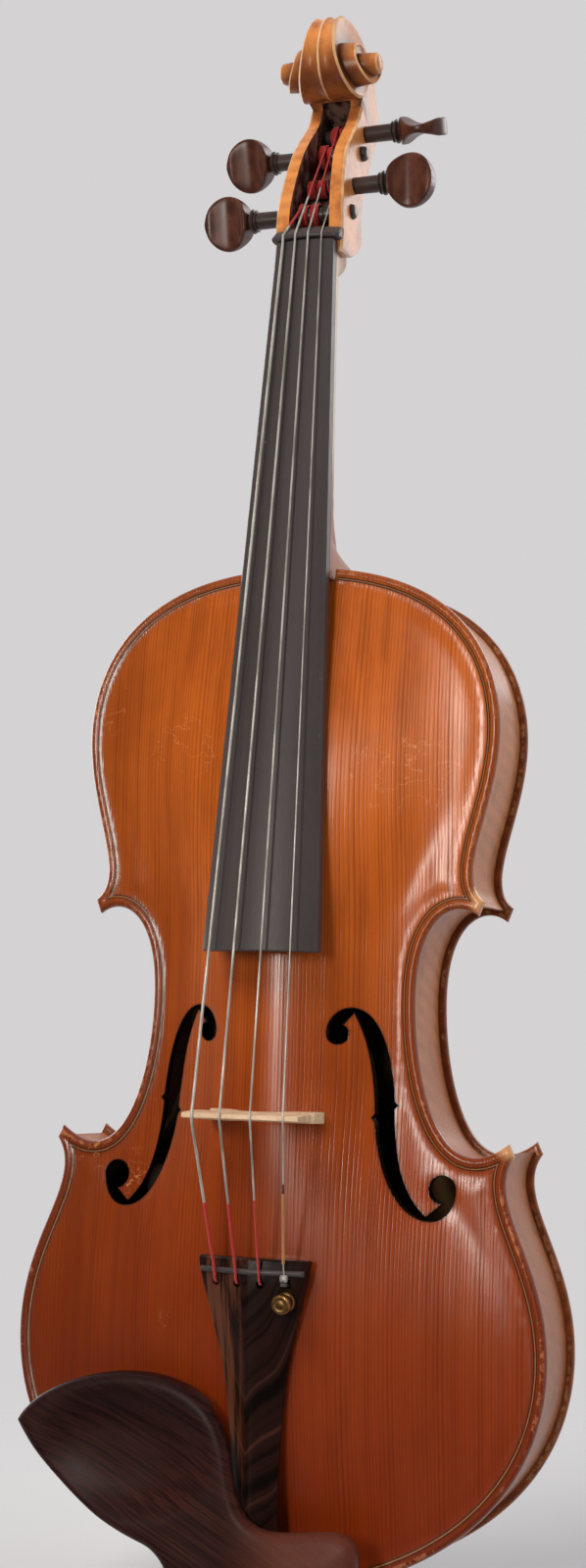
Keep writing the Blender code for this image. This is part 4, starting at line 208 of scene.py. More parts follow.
def outline_runs():
    """The treble half of the plate outline, from top centre to bottom centre, as smooth runs."""
    upper_right, waist = (UPPER_HALF_WIDTH, UPPER_WIDEST_Z), (WAIST_HALF_WIDTH, WAIST_Z)
    lower_right = (LOWER_HALF_WIDTH, LOWER_WIDEST_Z)
    top_rise = BODY_LENGTH - UPPER_WIDEST_Z
    shoulder = bezier((0, BODY_LENGTH), (0.81 * UPPER_HALF_WIDTH, BODY_LENGTH),
                      (UPPER_HALF_WIDTH, UPPER_WIDEST_Z + 0.43 * top_rise), upper_right, 7)
    flank = bezier(upper_right, (UPPER_HALF_WIDTH, UPPER_WIDEST_Z - 0.46 * (UPPER_WIDEST_Z - UPPER_CORNER[1])),
                   (UPPER_CORNER[0] - 0.0142, UPPER_CORNER[1] + 0.0102), UPPER_CORNER, 6)
    waist_top = bezier(UPPER_CORNER_FOOT, (UPPER_CORNER_FOOT[0] - 0.0092, UPPER_CORNER_FOOT[1] + 0.0073),
                       (WAIST_HALF_WIDTH, WAIST_Z + 1.04 * (UPPER_CORNER_FOOT[1] - WAIST_Z)), waist, 4)
    waist_low = bezier(waist, (WAIST_HALF_WIDTH, WAIST_Z - 0.64 * (WAIST_Z - LOWER_CORNER[1])),
                       (LOWER_CORNER[0] - 0.0271, LOWER_CORNER[1] - 0.0214), LOWER_CORNER, 5)
    hip = bezier(LOWER_CORNER_FOOT, (LOWER_CORNER_FOOT[0] - 0.0129, LOWER_CORNER_FOOT[1] - 0.0173),
                 (LOWER_HALF_WIDTH, LOWER_WIDEST_Z + 0.50 * (LOWER_CORNER_FOOT[1] - LOWER_WIDEST_Z)),
                 lower_right, 5)
    base = bezier(lower_right, (LOWER_HALF_WIDTH, 0.29 * LOWER_WIDEST_Z), (0.36 * LOWER_HALF_WIDTH, 0),
                  (0, 0), 9)
    return [np.vstack([shoulder, flank[1:]]), np.array([UPPER_CORNER, UPPER_CORNER_FOOT]),
            np.vstack([waist_top, waist_low[1:]]), np.array([LOWER_CORNER, LOWER_CORNER_FOOT]),
            np.vstack([hip, base[1:]])]


def offset_run(run, distance):
    """A run moved towards the middle of the plate, square to itself."""
    steps = np.gradient(run, axis=0)
    steps /= np.linalg.norm(steps, axis=1)[:, None]
    if abs(run[0][0]) < 1e-9:
        steps[0] = (1, 0)
    if abs(run[-1][0]) < 1e-9:
        steps[-1] = (-1, 0)
    return run + distance * np.column_stack([steps[:, 1], -steps[:, 0]])


def crossing(first, second):
    """Where two runs cross first, counted from the end of the one and the start of the other."""
    q, s = second[:-1], np.diff(second, axis=0)
    for i in range(len(first) - 2, -1, -1):
        p, r = first[i], first[i + 1] - first[i]
        cross = r[0] * s[:, 1] - r[1] * s[:, 0]
        cross = np.where(np.abs(cross) < 1e-18, 1e-18, cross)
        t = ((q - p)[:, 0] * s[:, 1] - (q - p)[:, 1] * s[:, 0]) / cross
        u = ((q - p)[:, 0] * r[1] - (q - p)[:, 1] * r[0]) / cross
        hits = np.flatnonzero((t >= -1e-9) & (t <= 1 + 1e-9) & (u >= -1e-9) & (u <= 1 + 1e-9))
        if len(hits):
            return i, hits[0], p + t[hits[0]] * r
    return None


def trimmed(first, second):
    """Two neighbouring runs, cut back to where they cross."""
    found = crossing(first, second)
    if found is None:
        return first, second
    i, j, point = found
    return np.vstack([first[:i + 1], point]), np.vstack([point, second[j + 1:]])


def inset_runs(distance):
    """The outline's runs at a distance inside the edge, trimmed at the corners."""
    runs = [offset_run(run, distance) for run in outline_runs()]
    for corner in (1, 3):
        before, tip, after = runs[corner - 1:corner + 2]
        if crossing(before, after) is None:
            before, tip = trimmed(before, tip)
            tip, after = trimmed(tip, after)
        else:
            before, after = trimmed(before, after)
            tip = after[:1]
        runs[corner - 1:corner + 2] = before, tip, after
    return runs


def cleaned(points, shortest=2e-4):
    """A loop without points that nearly coincide."""
    kept = [np.array(points[0], float)]
    for point in points[1:]:
        if np.hypot(*(point - kept[-1])) > shortest:
            kept.append(np.array(point, float))
    if np.hypot(*(kept[0] - kept[-1])) < shortest:
        kept.pop()
    return kept


def clipped(path, x_top, x_bottom):
    """The treble half of a loop, from x_top beside the top centre to x_bottom at the foot."""
    def cut(points, limit):
        while len(points) > 1 and points[1][0] <= limit:
            points.pop(0)
        if points[0][0] < limit:
            share = (limit - points[0][0]) / (points[1][0] - points[0][0])
            points[0] = points[0] + share * (points[1] - points[0])
        return points

    kept = cut([np.array(point, float) for point in path], x_top)
    return cut(kept[::-1], x_bottom)[::-1]


def half_path(distance, x_top=0.0, x_bottom=0.0):
    return clipped(cleaned(np.vstack(inset_runs(distance))), x_top, x_bottom)


def mirrored(points):
    return [np.array((-point[0], point[1])) for point in points]


def lies_in(loop, points):
    """Which of many flat points lie in a closed loop."""
    loop = np.array(loop)
    within = np.zeros(len(points), bool)
    for (ax, az), (bx, bz) in zip(np.roll(loop, 1, axis=0), loop):
        spans = (az > points[:, 1]) != (bz > points[:, 1])
        if spans.any():
            within ^= spans & (points[:, 0] < (ax - bx) * (points[:, 1] - bz) / (az - bz) + bx)
    return within


def way_to(loop, points):
    """How far many flat points are from a closed loop."""
    loop = np.array(loop)
    nearest = np.full(len(points), 1e9)
    for start, end in zip(np.roll(loop, 1, axis=0), loop):
        span = end - start
        share = np.clip((points - start) @ span / max(span @ span, 1e-18), 0, 1)
        nearest = np.minimum(nearest, np.hypot(*(points - start - share[:, None] * span).T))
    return nearest


def triangulated(outer, holes, rings, spacing, paths=()):
    """Flat triangles that fill a loop around its holes and keep the given rings and paths as edges."""
    loops = [outer, *holes, *rings]
    points = []
    edges = []
    for loop in loops:
        first = len(points)
        points.extend(loop)
        edges.extend((first + k, first + (k + 1) % len(loop)) for k in range(len(loop)))
    for path in paths:
        first = len(points)
        points.extend(path)
        edges.extend((first + k, first + k + 1) for k in range(len(path) - 1))
    low, high = np.min(outer, axis=0), np.max(outer, axis=0)
    row = spacing * math.sqrt(3) / 2
    rows, columns = int((high[1] - low[1]) / row) + 1, int(max(high[0], -low[0]) / spacing) + 2
    loose = np.array([((column + 0.5 * (k % 2)) * spacing, low[1] + k * row)
                      for k in range(1, rows) for column in range(-columns, columns + 1)])
    loose = loose[lies_in(outer, loose)]
    for loop in [*loops, *paths]:
        loose = loose[way_to(loop, loose) > 0.45 * spacing]
    points.extend(loose)
    flat, _, faces, _, _, _ = delaunay_2d_cdt([Vector(point * 1000) for point in points], edges, [], 0, 1e-6)
    flat = np.array(flat) / 1000
    faces = np.array([face for face in faces])
    middle = flat[faces].mean(axis=1)
    kept = lies_in(outer, middle)
    for hole in holes:
        kept &= ~lies_in(hole, middle)
    return flat, faces[kept]


def slab(name, flat, faces, front, back, sunk=None, groove=None, floor=None):
    """A closed plate: front, back and groove hold a height y for each flat point.

    sunk says which faces lie in the groove; floor is not used.
    """
    layers = {"front": front, "back": back, "groove": groove}
    index_of, points = {}, []

    def vertex(layer, k):
        if (layer, k) not in index_of:
            index_of[layer, k] = len(points)
            points.append((flat[k][0], layers[layer][k], flat[k][1]))
        return index_of[layer, k]

    polygons, sides = [], {}
    for number, face in enumerate(faces.tolist()):
        level = "groove" if sunk is not None and sunk[number] else "front"
        polygons.append([vertex(level, k) for k in face])
        polygons.append([vertex("back", k) for k in reversed(face)])
        for a, b in zip(face, face[1:] + face[:1]):
            sides.setdefault((min(a, b), max(a, b)), []).append((a, b, level))
    for borders in sides.values():
        a, b, level = borders[0]
        if len(borders) == 1:
            polygons.append([vertex(level, b), vertex(level, a), vertex("back", a), vertex("back", b)])
        elif level != borders[1][2]:
            other = borders[1][2]
            polygons.append([vertex(level, b), vertex(level, a), vertex(other, a), vertex(other, b)])
    return solid(name, points, polygons), index_of


def solid(name, points, polygons, smooth=40):
    """A linked piece of closed mesh with its faces pointing out, smooth up to an angle in degrees."""
    mesh = bpy.data.meshes.new(name)
    mesh.from_pydata(np.array(points, float).tolist(), [], polygons)
    work = bmesh.new()
    work.from_mesh(mesh)
    bmesh.ops.recalc_face_normals(work, faces=work.faces)
    work.to_mesh(mesh)
    work.free()
    mesh.shade_smooth()
    mesh.set_sharp_from_angle(angle=math.radians(smooth))
    item = bpy.data.objects.new(name, mesh)
    SCENE.collection.objects.link(item)
    return item


def lift(item, rise=BODY_Z):
    """Move a finished mesh from the body's own frame into the row frame."""
    item.data.transform(Matrix.Translation((0, 0, rise)))
    return item


def mark(item, name, values):
    """A float on every point, which the materials read."""
    item.data.attributes.new(name, "FLOAT", "POINT").data.foreach_set("value", np.array(values, np.float32))


def smooth_step(value):
    value = np.clip(value, 0, 1)
    return value * value * (3 - 2 * value)


def arch_half_width(z):
    """Half the width of the arched field at each height, inside the edge channel."""
    lower, waist, upper = (w - EDGE_CHANNEL for w in (LOWER_HALF_WIDTH, WAIST_HALF_WIDTH, UPPER_HALF_WIDTH))
    low, high = WAIST_Z - WAIST_BELOW, WAIST_Z + WAIST_ABOVE
    fall = np.clip((LOWER_WIDEST_Z - z) / (LOWER_WIDEST_Z - EDGE_CHANNEL), 0, 1)
    rise = np.clip((z - UPPER_WIDEST_Z) / (BODY_LENGTH - EDGE_CHANNEL - UPPER_WIDEST_Z), 0, 1)
    width = np.where(z < WAIST_Z, waist + (lower - waist) * smooth_step((low - z) / (low - LOWER_WIDEST_Z)),
                     waist + (upper - waist) * smooth_step((z - high) / (UPPER_WIDEST_Z - high)))
    width = np.where(z < LOWER_WIDEST_Z, lower * np.sqrt(1 - fall ** 2), width)
    return np.where(z > UPPER_WIDEST_Z, upper * (1 - rise ** 2.3) ** (1 / 2.3), width)


def arch_height(flat, arch):
    """How far the plate's outer face rises over its edge."""
    x, z = flat.T
    across = np.clip(np.abs(x) / np.maximum(arch_half_width(z), 1e-6), 0, 1)
    middle = BODY_LENGTH / 2
    along = np.clip(np.abs(z - middle) / (middle - EDGE_CHANNEL), 0, 1) ** 2.4
    cosines = np.maximum(np.cos(math.pi / 2 * across), 0) * np.maximum(np.cos(math.pi / 2 * along), 0)
    return arch * cosines ** 1.6


FULL_OUTLINE = np.vstack(inset_runs(0.0))
FULL_OUTLINE = np.array(cleaned(list(FULL_OUTLINE) + mirrored(FULL_OUTLINE)[::-1]))


def plate_heights(flat, side, arch, edge=None):
    """The outer, inner and groove heights of a plate, and each point's way in from its edge."""
    inward = way_to(FULL_OUTLINE, flat)
    way = inward if edge is None else way_to(edge, flat)
    rise = arch_height(flat, arch)
    rise = rise + BEAD_RISE * np.exp(-((way - 0.0021) / 0.0012) ** 2)
    channel = np.where(flat[:, 1] > BODY_LENGTH, -inward, inward) - CHANNEL_AT
    rise = rise - CHANNEL_DEPTH * np.exp(-(channel / CHANNEL_WIDTH) ** 2)
    over = np.clip(BEAD_RADIUS - way, 0, BEAD_RADIUS)
    rise = rise - (BEAD_RADIUS - np.sqrt(BEAD_RADIUS ** 2 - over ** 2))
    under = np.clip(UNDER_RADIUS - way, 0, UNDER_RADIUS)
    hollow = (1 + (EDGE_THICKNESS - CENTRE_THICKNESS) / arch) * arch_height(flat, arch)
    inner = hollow + UNDER_RADIUS - np.sqrt(UNDER_RADIUS ** 2 - under ** 2)
    outer = side * (HALF_RIB + EDGE_THICKNESS + rise)
    return outer, side * (HALF_RIB + inner), outer - side * GROOVE_DEPTH, way


HOLE_UPPER_EYE, HOLE_UPPER_EYE_RADIUS = (0.0279, 0.2149), 0.0040
HOLE_LOWER_EYE, HOLE_LOWER_EYE_RADIUS = (0.0702, 0.1560), 0.0054
HOLE_TOP, HOLE_BOTTOM = (0.0329, 0.2252), (0.0660, 0.1437)
HOLE_UPPER_WING, HOLE_LOWER_WING = (0.0339, 0.2237), (0.0641, 0.1453)
HOLE_OUTER_NICK, HOLE_INNER_NICK = (0.0513, 0.1875), (0.0415, 0.1826)
HOLE_STEM_OUTER_X, HOLE_STEM_INNER_X = 0.0499, 0.0428
HOLE_NICK_HALF = 0.0016


def sound_hole(side):
    """One sound hole's edge as a loop of (x, z): two round eyes, two wings and a nicked stem."""
    def around(centre, radius, start, stop, count):
        angles = np.radians(np.linspace(start, stop, count * 4))
        return np.column_stack([centre[0] + radius * np.cos(angles), centre[1] + radius * np.sin(angles)])

    def nick(point, edge_x):
        return [(edge_x, point[1] + HOLE_NICK_HALF), point, (edge_x, point[1] - HOLE_NICK_HALF)]

    def curve(start, pull_a, pull_b, end, count):
        return bezier(start, pull_a, pull_b, end, count)[::2]

    upper_left = (HOLE_UPPER_EYE[0] - HOLE_UPPER_EYE_RADIUS, HOLE_UPPER_EYE[1])
    lower_right = (HOLE_LOWER_EYE[0] + HOLE_LOWER_EYE_RADIUS, HOLE_LOWER_EYE[1])
    outer_nick = nick(HOLE_OUTER_NICK, HOLE_STEM_OUTER_X)
    inner_nick = nick(HOLE_INNER_NICK, HOLE_STEM_INNER_X)[::-1]
    parts = [
        curve(upper_left, (upper_left[0], HOLE_UPPER_EYE[1] + 0.0055), (HOLE_TOP[0] - 0.0050, HOLE_TOP[1]),
              HOLE_TOP, 2),
        curve(HOLE_TOP, (HOLE_TOP[0] + 0.0110, HOLE_TOP[1] + 0.0003),
              (HOLE_STEM_OUTER_X - 0.0010, HOLE_OUTER_NICK[1] + 0.0180), outer_nick[0], 4)[1:],
        np.array(outer_nick[1:]),
        curve(outer_nick[2], (HOLE_STEM_OUTER_X + 0.0012, HOLE_OUTER_NICK[1] - 0.0220),
              (HOLE_STEM_OUTER_X + 0.0045, HOLE_LOWER_WING[1] + 0.0085), HOLE_LOWER_WING, 4)[1:],
        around(HOLE_LOWER_EYE, HOLE_LOWER_EYE_RADIUS, 270, 0, 8),
        curve(lower_right, (lower_right[0], HOLE_LOWER_EYE[1] - 0.0075),
              (HOLE_BOTTOM[0] + 0.0055, HOLE_BOTTOM[1]), HOLE_BOTTOM, 2)[1:],
        curve(HOLE_BOTTOM, (HOLE_BOTTOM[0] - 0.0140, HOLE_BOTTOM[1] - 0.0003),
              (HOLE_STEM_INNER_X + 0.0015, HOLE_INNER_NICK[1] - 0.0180), inner_nick[0], 4)[1:],
        np.array(inner_nick[1:]),
        curve(inner_nick[2], (HOLE_STEM_INNER_X - 0.0016, HOLE_INNER_NICK[1] + 0.0230),
              (HOLE_STEM_INNER_X - 0.0040, HOLE_UPPER_WING[1] - 0.0095), HOLE_UPPER_WING, 4)[1:],
        around(HOLE_UPPER_EYE, HOLE_UPPER_EYE_RADIUS, 72, -150, 7),
    ]
    loop = cleaned(np.vstack(parts), 2e-4)
    return [np.array((side * x, z)) for x, z in loop]


def tint(red, green, blue):
    """A colour written as it looks, from 0 to 255, as the renderer's linear value."""
    return (*(((v / 255 + 0.055) / 1.055) ** 2.4 if v > 10 else v / 255 / 12.92 for v in (red, green, blue)), 1)


def group(name, inputs, outputs):
    """An empty shader node group; inputs holds (name, kind, value) and outputs holds (name, kind)."""
    tree = bpy.data.node_groups.new(name, "ShaderNodeTree")
    for label, kind, value in inputs:
        socket = tree.interface.new_socket(label, in_out="INPUT", socket_type="NodeSocket" + kind)
        if value is not None:
            socket.default_value = value
    for label, kind in outputs:
        tree.interface.new_socket(label, in_out="OUTPUT", socket_type="NodeSocket" + kind)
    return tree, tree.nodes.new("NodeGroupInput").outputs, tree.nodes.new("NodeGroupOutput").inputs


def use(tree, shared, **inputs):
    """One use of a shared node group; underscores in the input names stand for spaces."""
    made = tree.nodes.new("ShaderNodeGroup")
    made.node_tree = shared
    for key, value in inputs.items():
        key = key.replace("_", " ")
        if isinstance(value, bpy.types.NodeSocket):
            tree.links.new(value, made.inputs[key])
        else:
            made.inputs[key].default_value = value
    return made.outputs


def calc(tree, operation, first, second=0.0, clamp=False):
    return node(tree, "Math", {0: first, 1: second}, operation=operation, use_clamp=clamp).outputs[0]


def ramp(tree, value, low, high, to_low=0.0, to_high=1.0):
    """A smooth step between two values."""
    return node(tree, "MapRange", {"Value": value, "From Min": low, "From Max": high, "To Min": to_low,
                                   "To Max": to_high}, interpolation_type="SMOOTHSTEP").outputs[0]


def noise(tree, vector, stretch, detail=2.0, rough=0.5):
    """Noise over coordinates in metres; stretch gives its turns a metre along x, y and z."""
    scaled = node(tree, "VectorMath", {0: vector, 1: stretch}, operation="MULTIPLY").outputs[0]
    return node(tree, "TexNoise", {"Vector": scaled, "Scale": 1.0, "Detail": detail,
                                   "Roughness": rough}).outputs[0]


def blended(tree, share, first, second, mode="MIX"):
    made = node(tree, "Mix", {0: share, 6: first, 7: second}, data_type="RGBA", blend_type=mode)
    return made.outputs[2]


def make_grain_group():
    """Growth lines: x runs across the grain and z along it."""
    tree, given, result = group("grain", (("Vector", "Vector", None), ("Pitch", "Float", 0.001),
                                          ("Wander", "Float", 0.002)),
                                (("Line", "Float"), ("Fibre", "Float"), ("Tone", "Float")))
    vector = given["Vector"]
    drift = calc(tree, "MULTIPLY", calc(tree, "SUBTRACT", noise(tree, vector, (5, 5, 3), 1), 0.5),
                 given["Wander"])
    axes = node(tree, "SeparateXYZ", {0: vector}).outputs
    across = calc(tree, "ADD", axes[0], drift)
    rings = node(tree, "CombineXYZ", {0: across}).outputs[0]
    spread = calc(tree, "MULTIPLY", noise(tree, rings, (60, 1, 1), 1), 5.0)
    phase = calc(tree, "ADD", calc(tree, "DIVIDE", across, given["Pitch"]), spread)
    part = calc(tree, "FRACT", phase)
    late = calc(tree, "MULTIPLY", ramp(tree, part, 0.35, 0.86), ramp(tree, part, 1.0, 0.92))
    strength = ramp(tree, noise(tree, rings, (260, 1, 1), 1), 0.3, 0.7, 0.35, 1.0)
    fibre = noise(tree, vector, (2600, 2600, 70), 3, 0.6)
    tree.links.new(calc(tree, "MULTIPLY", late, strength), result["Line"])
    tree.links.new(fibre, result["Fibre"])
    tree.links.new(noise(tree, vector, (22, 22, 7), 3), result["Tone"])
    return tree


GRAIN = make_grain_group()


def finish_material(name, paint):
    """A material whose Principled shader is fed by paint(tree, shader, vector)."""
    made = bpy.data.materials.new(name)
    made.use_nodes = True
    tree = made.node_tree
    shader = tree.nodes["Principled BSDF"]
    vector = node(tree, "TexCoord").outputs["Object"]
    paint(tree, shader, vector)
    return made


def feed(tree, shader, colour=None, rough=None, height=None, bump=0.3, depth=0.0002, **fixed):
    """Link colour, roughness and bump, and set the fixed values on the shader's own sockets."""
    if colour is not None:
        tree.links.new(colour, shader.inputs["Base Color"])
    if rough is not None:
        tree.links.new(rough, shader.inputs["Roughness"])
    if height is not None:
        bumped = node(tree, "Bump", {"Strength": bump, "Distance": depth, "Height": height})
        tree.links.new(bumped.outputs[0], shader.inputs["Normal"])
    for key, value in fixed.items():
        shader.inputs[key.replace("_", " ")].default_value = value


def value_of(tree, name):
    """A float that the mesh carries on its points."""
    return node(tree, "Attribute", attribute_name=name).outputs["Fac"]


def rim_wear_and_highlight(tree, vector, way):
    """Masks near a plate's edge: the dark handled bead, its pale crest, partly worn and partly a painted highlight, and
    a darker band in the channel beside the purfling.
    """
    broken = calc(tree, "MULTIPLY", noise(tree, vector, (300, 300, 300), 4, 0.7),
                  ramp(tree, noise(tree, vector, (34, 34, 34), 2), 0.35, 0.6, 0.72, 1.12))
    bead = ramp(tree, way, 0.0034, 0.0024)
    # The crest band is paler: partly worn wood, partly a painted highlight along the bead's crest.
    crest = calc(tree, "MULTIPLY", ramp(tree, way, 0.0004, 0.0012), ramp(tree, way, 0.0026, 0.0018))
    worn = calc(tree, "MULTIPLY", crest, ramp(tree, broken, 0.50, 0.66))
    # A darker band in the channel beside the purfling.
    low = calc(tree, "MULTIPLY", ramp(tree, way, 0.0024, 0.0033), ramp(tree, way, 0.0070, 0.0046))
    channel_darkening = calc(tree, "MULTIPLY", low, ramp(tree, broken, 0.25, 0.7, 0.35, 1.0))
    return bead, worn, channel_darkening


def paint_belly(tree, shader, vector):
    grain = use(tree, GRAIN, Vector=vector, Pitch=0.0015, Wander=0.004)
    axes = node(tree, "SeparateXYZ", {0: vector}).outputs
    # Darker towards the bottom: partly the varnish's own tone, partly painted shade, as if lit from above.
    height = calc(tree, "ADD", axes[2], calc(tree, "MULTIPLY", calc(tree, "SUBTRACT", grain["Tone"], 0.5), 0.20))
    ground = blended(tree, ramp(tree, height, 0.06, 0.40), tint(132, 46, 12), tint(212, 106, 34))
    # Darker towards the bass edge: painted shade where the arch turns away from the light.
    left = ramp(tree, axes[0], -0.010, -0.105)
    ground = blended(tree, calc(tree, "MULTIPLY", left, 0.50), ground, tint(104, 40, 14))
    streak = ramp(tree, noise(tree, vector, (210, 210, 4), 3), 0.40, 0.66)
    ground = blended(tree, calc(tree, "MULTIPLY", streak, 0.22), ground, tint(98, 32, 9))
    patch = ramp(tree, noise(tree, vector, (26, 26, 15), 4, 0.6), 0.42, 0.66)
    ground = blended(tree, calc(tree, "MULTIPLY", patch, 0.25), ground, tint(112, 40, 11))
    line = calc(tree, "POWER", grain["Line"], 1.4)
    colour = blended(tree, calc(tree, "MULTIPLY", line, 0.50), ground, tint(78, 26, 8))
    colour = blended(tree, calc(tree, "MULTIPLY", grain["Fibre"], 0.15), colour, tint(70, 20, 6))
    bead, worn, channel_darkening = rim_wear_and_highlight(tree, vector, value_of(tree, "way_in"))
    colour = blended(tree, calc(tree, "MULTIPLY", bead, 0.50), colour, tint(92, 36, 14))
    for corner in (UPPER_CORNER, LOWER_CORNER):
        tip = node(tree, "VectorMath", {0: vector, 1: (corner[0], -HALF_RIB, corner[1] + BODY_Z)}, operation="DISTANCE")
        bare = calc(tree, "MULTIPLY", ramp(tree, tip.outputs["Value"], 0.0085, 0.0050), 0.7)
        colour = blended(tree, bare, colour, tint(222, 164, 112))
    # Paler crest of the bead: partly worn wood, partly a painted highlight.
    colour = blended(tree, calc(tree, "MULTIPLY", worn, 0.45), colour, tint(206, 132, 80))
    # A darker band in the channel beside the purfling.
    colour = blended(tree, calc(tree, "MULTIPLY", channel_darkening, 0.35), colour, tint(76, 28, 12))
    hair = calc(tree, "ABSOLUTE", calc(tree, "SUBTRACT", noise(tree, vector, (70, 70, 90), 3, 0.6), 0.5))
    nicked = calc(tree, "MULTIPLY", ramp(tree, hair, 0.006, 0.002),
                  ramp(tree, noise(tree, vector, (17, 17, 17), 1), 0.66, 0.72))
    colour = blended(tree, calc(tree, "MULTIPLY", nicked, 0.5), colour, tint(226, 156, 104))
    lip = value_of(tree, "hole_way")
    colour = blended(tree, calc(tree, "MULTIPLY", ramp(tree, lip, 0.0011, 0.0003), 0.5), colour, tint(92, 38, 20))
    colour = blended(tree, value_of(tree, "inner"), colour, tint(104, 74, 48))
    # The hole walls go near black: partly a dark stain, partly painted shade of the body's dark inside.
    colour = blended(tree, ramp(tree, lip, 0.00035, 0.00015), colour, tint(16, 8, 6))
    rough = calc(tree, "ADD", ramp(tree, grain["Fibre"], 0.2, 0.8, 0.19, 0.27), calc(tree, "MULTIPLY", worn, 0.2))
    relief = calc(tree, "SUBTRACT", calc(tree, "MULTIPLY", grain["Fibre"], -0.5), line)
    feed(tree, shader, colour, rough, relief, 0.30, 0.00015)


VARNISHED_SPRUCE = finish_material("varnished_spruce", paint_belly)


def dress(names, material):
    """Give CAD nodes a finished material in their own slots."""
    for name in names:
        item = frame["nodes"][name]
        for index in range(max(1, len(item.material_slots))):
            if not item.material_slots:
                item.data.materials.append(material)
            item.material_slots[index].material = material


NECK_NOTCH_HALF, MORTISE_Z = 0.0186, BODY_LENGTH - 0.0060
SADDLE_HALF, SADDLE_DEPTH = 0.0180, 0.0070
STRIP_MARGIN = 0.0012


def purfling_rings(gap, x_top, x_bottom):
    """The treble purfling's inner and outer bounds, widened by a gap."""
    return (half_path(PURFLING_INSET - gap, x_top - gap, x_bottom - gap),
            half_path(PURFLING_INSET + PURFLING_WIDTH + gap, x_top - gap, x_bottom - gap))


def make_belly():
    notch, saddle = NECK_NOTCH_HALF + SEAT_GAP, SADDLE_HALF + SEAT_GAP
    half = [np.array((notch, MORTISE_Z - SEAT_GAP)), *half_path(0.0, notch, saddle),
            np.array((saddle, SADDLE_DEPTH + SEAT_GAP))]
    outer = cleaned(half + mirrored(half)[::-1])
    holes = [sound_hole(1), sound_hole(-1)]
    lips = []
    for hole in holes:
        loop = np.array(hole)
        steps = np.roll(loop, -1, axis=0) - np.roll(loop, 1, axis=0)
        normal = np.column_stack([steps[:, 1], -steps[:, 0]]) / np.linalg.norm(steps, axis=1)[:, None]
        for away in (1, -1):
            grown = loop + away * 0.00045 * normal
            if not lies_in(hole, grown).any():
                lips.append(list(grown))
    near, far = purfling_rings(0.00006, notch + STRIP_MARGIN, saddle + STRIP_MARGIN)
    grooves = [near + far[::-1], mirrored(near + far[::-1])]
    rings = []
    for way in RIM_RINGS:
        path = half_path(way, notch + 0.0008, saddle + 0.0008)
        rings.append(path)
        rings.append(mirrored(path))
    flat, faces = triangulated(outer, holes, grooves, PLATE_SPACING, rings)
    front, back, groove, way = plate_heights(flat, -1, FRONT_ARCH)
    hole_way = np.minimum(way_to(holes[0], flat), way_to(holes[1], flat))
    front = front + 0.0002 * (1 - smooth_step(hole_way / 0.0004))
    middle = flat[faces].mean(axis=1)
    sunk = lies_in(grooves[0], middle) | lies_in(grooves[1], middle)
    item, index_of = slab("belly", flat, faces, front, back, sunk, groove)
    values = np.zeros(len(item.data.vertices))
    inner = np.zeros(len(item.data.vertices))
    rim = np.zeros(len(item.data.vertices))
    for (layer, k), index in index_of.items():
        values[index], rim[index] = way[k], hole_way[k]
        inner[index] = layer == "back" and way[k] > EDGE_OVERHANG
    mark(item, "way_in", values)
    mark(item, "hole_way", rim)
    mark(item, "inner", inner)
    return lift(item)


belly = make_belly()
belly.data.materials.append(VARNISHED_SPRUCE)
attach(belly, "instrument")
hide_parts("top_plate")


# Purfling: three thin strips of dyed and plain wood, bent and glued into a groove round each plate.
# The belly's runs from the neck to the saddle on each side, and the back's goes all round.

PLY_EDGES = (0.00040, 0.00090)
PURFLING_SINK = 0.00004
BACK_ARCH = 0.0155
BUTTON_HALF_WIDTH, BUTTON_HEIGHT = 0.0120, 0.0130


def paint_ply(light, dark):
    def paint(tree, shader, vector):
        fibre = noise(tree, vector, (900, 900, 300), 3)
        feed(tree, shader, blended(tree, fibre, light, dark), ramp(tree, fibre, 0.3, 0.7, 0.32, 0.5), fibre,
             0.1, 0.0001, Coat_Weight=0.3, Coat_Roughness=0.12)
    return paint


PLY_DARK = finish_material("purfling_dark", paint_ply(tint(52, 28, 18), tint(26, 13, 8)))
PLY_PALE = finish_material("purfling_pale", paint_ply(tint(176, 112, 62), tint(122, 66, 34)))


def make_purfling(name, node_name, side, arch, loop, plies):
    flat, faces = triangulated(loop, [], [], 0.004, plies)
    outer, _, groove, _ = plate_heights(flat, side, arch)
    item, _ = slab(name, flat, faces, outer - side * PURFLING_SINK, groove + side * 0.00005)
    item.data.materials.append(PLY_DARK)
    item.data.materials.append(PLY_PALE)
    middle = np.array([tuple(p.center) for p in item.data.polygons])[:, [0, 2]]
    way = way_to(FULL_OUTLINE, middle) - PURFLING_INSET
    pale = (way > PLY_EDGES[0]) & (way < PLY_EDGES[1])
    item.data.polygons.foreach_set("material_index", pale.astype(int))
    lift(item)
    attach(item, "instrument")
    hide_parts(node_name)


strip_top, strip_foot = NECK_NOTCH_HALF + SEAT_GAP + STRIP_MARGIN, SADDLE_HALF + SEAT_GAP + STRIP_MARGIN
near, far = purfling_rings(0.0, strip_top, strip_foot)
inner_plies = [half_path(PURFLING_INSET + edge, strip_top, strip_foot) for edge in PLY_EDGES]
make_purfling("belly_purfling_treble", "top_purfling_treble", -1, FRONT_ARCH, near + far[::-1], inner_plies)
make_purfling("belly_purfling_bass", "top_purfling_bass", -1, FRONT_ARCH, mirrored(near + far[::-1]),
              [mirrored(ply) for ply in inner_plies])


# Back: two carved plates of flamed maple joined down the middle, under the same varnish.
# The half-round button at its top stands behind the neck's heel.

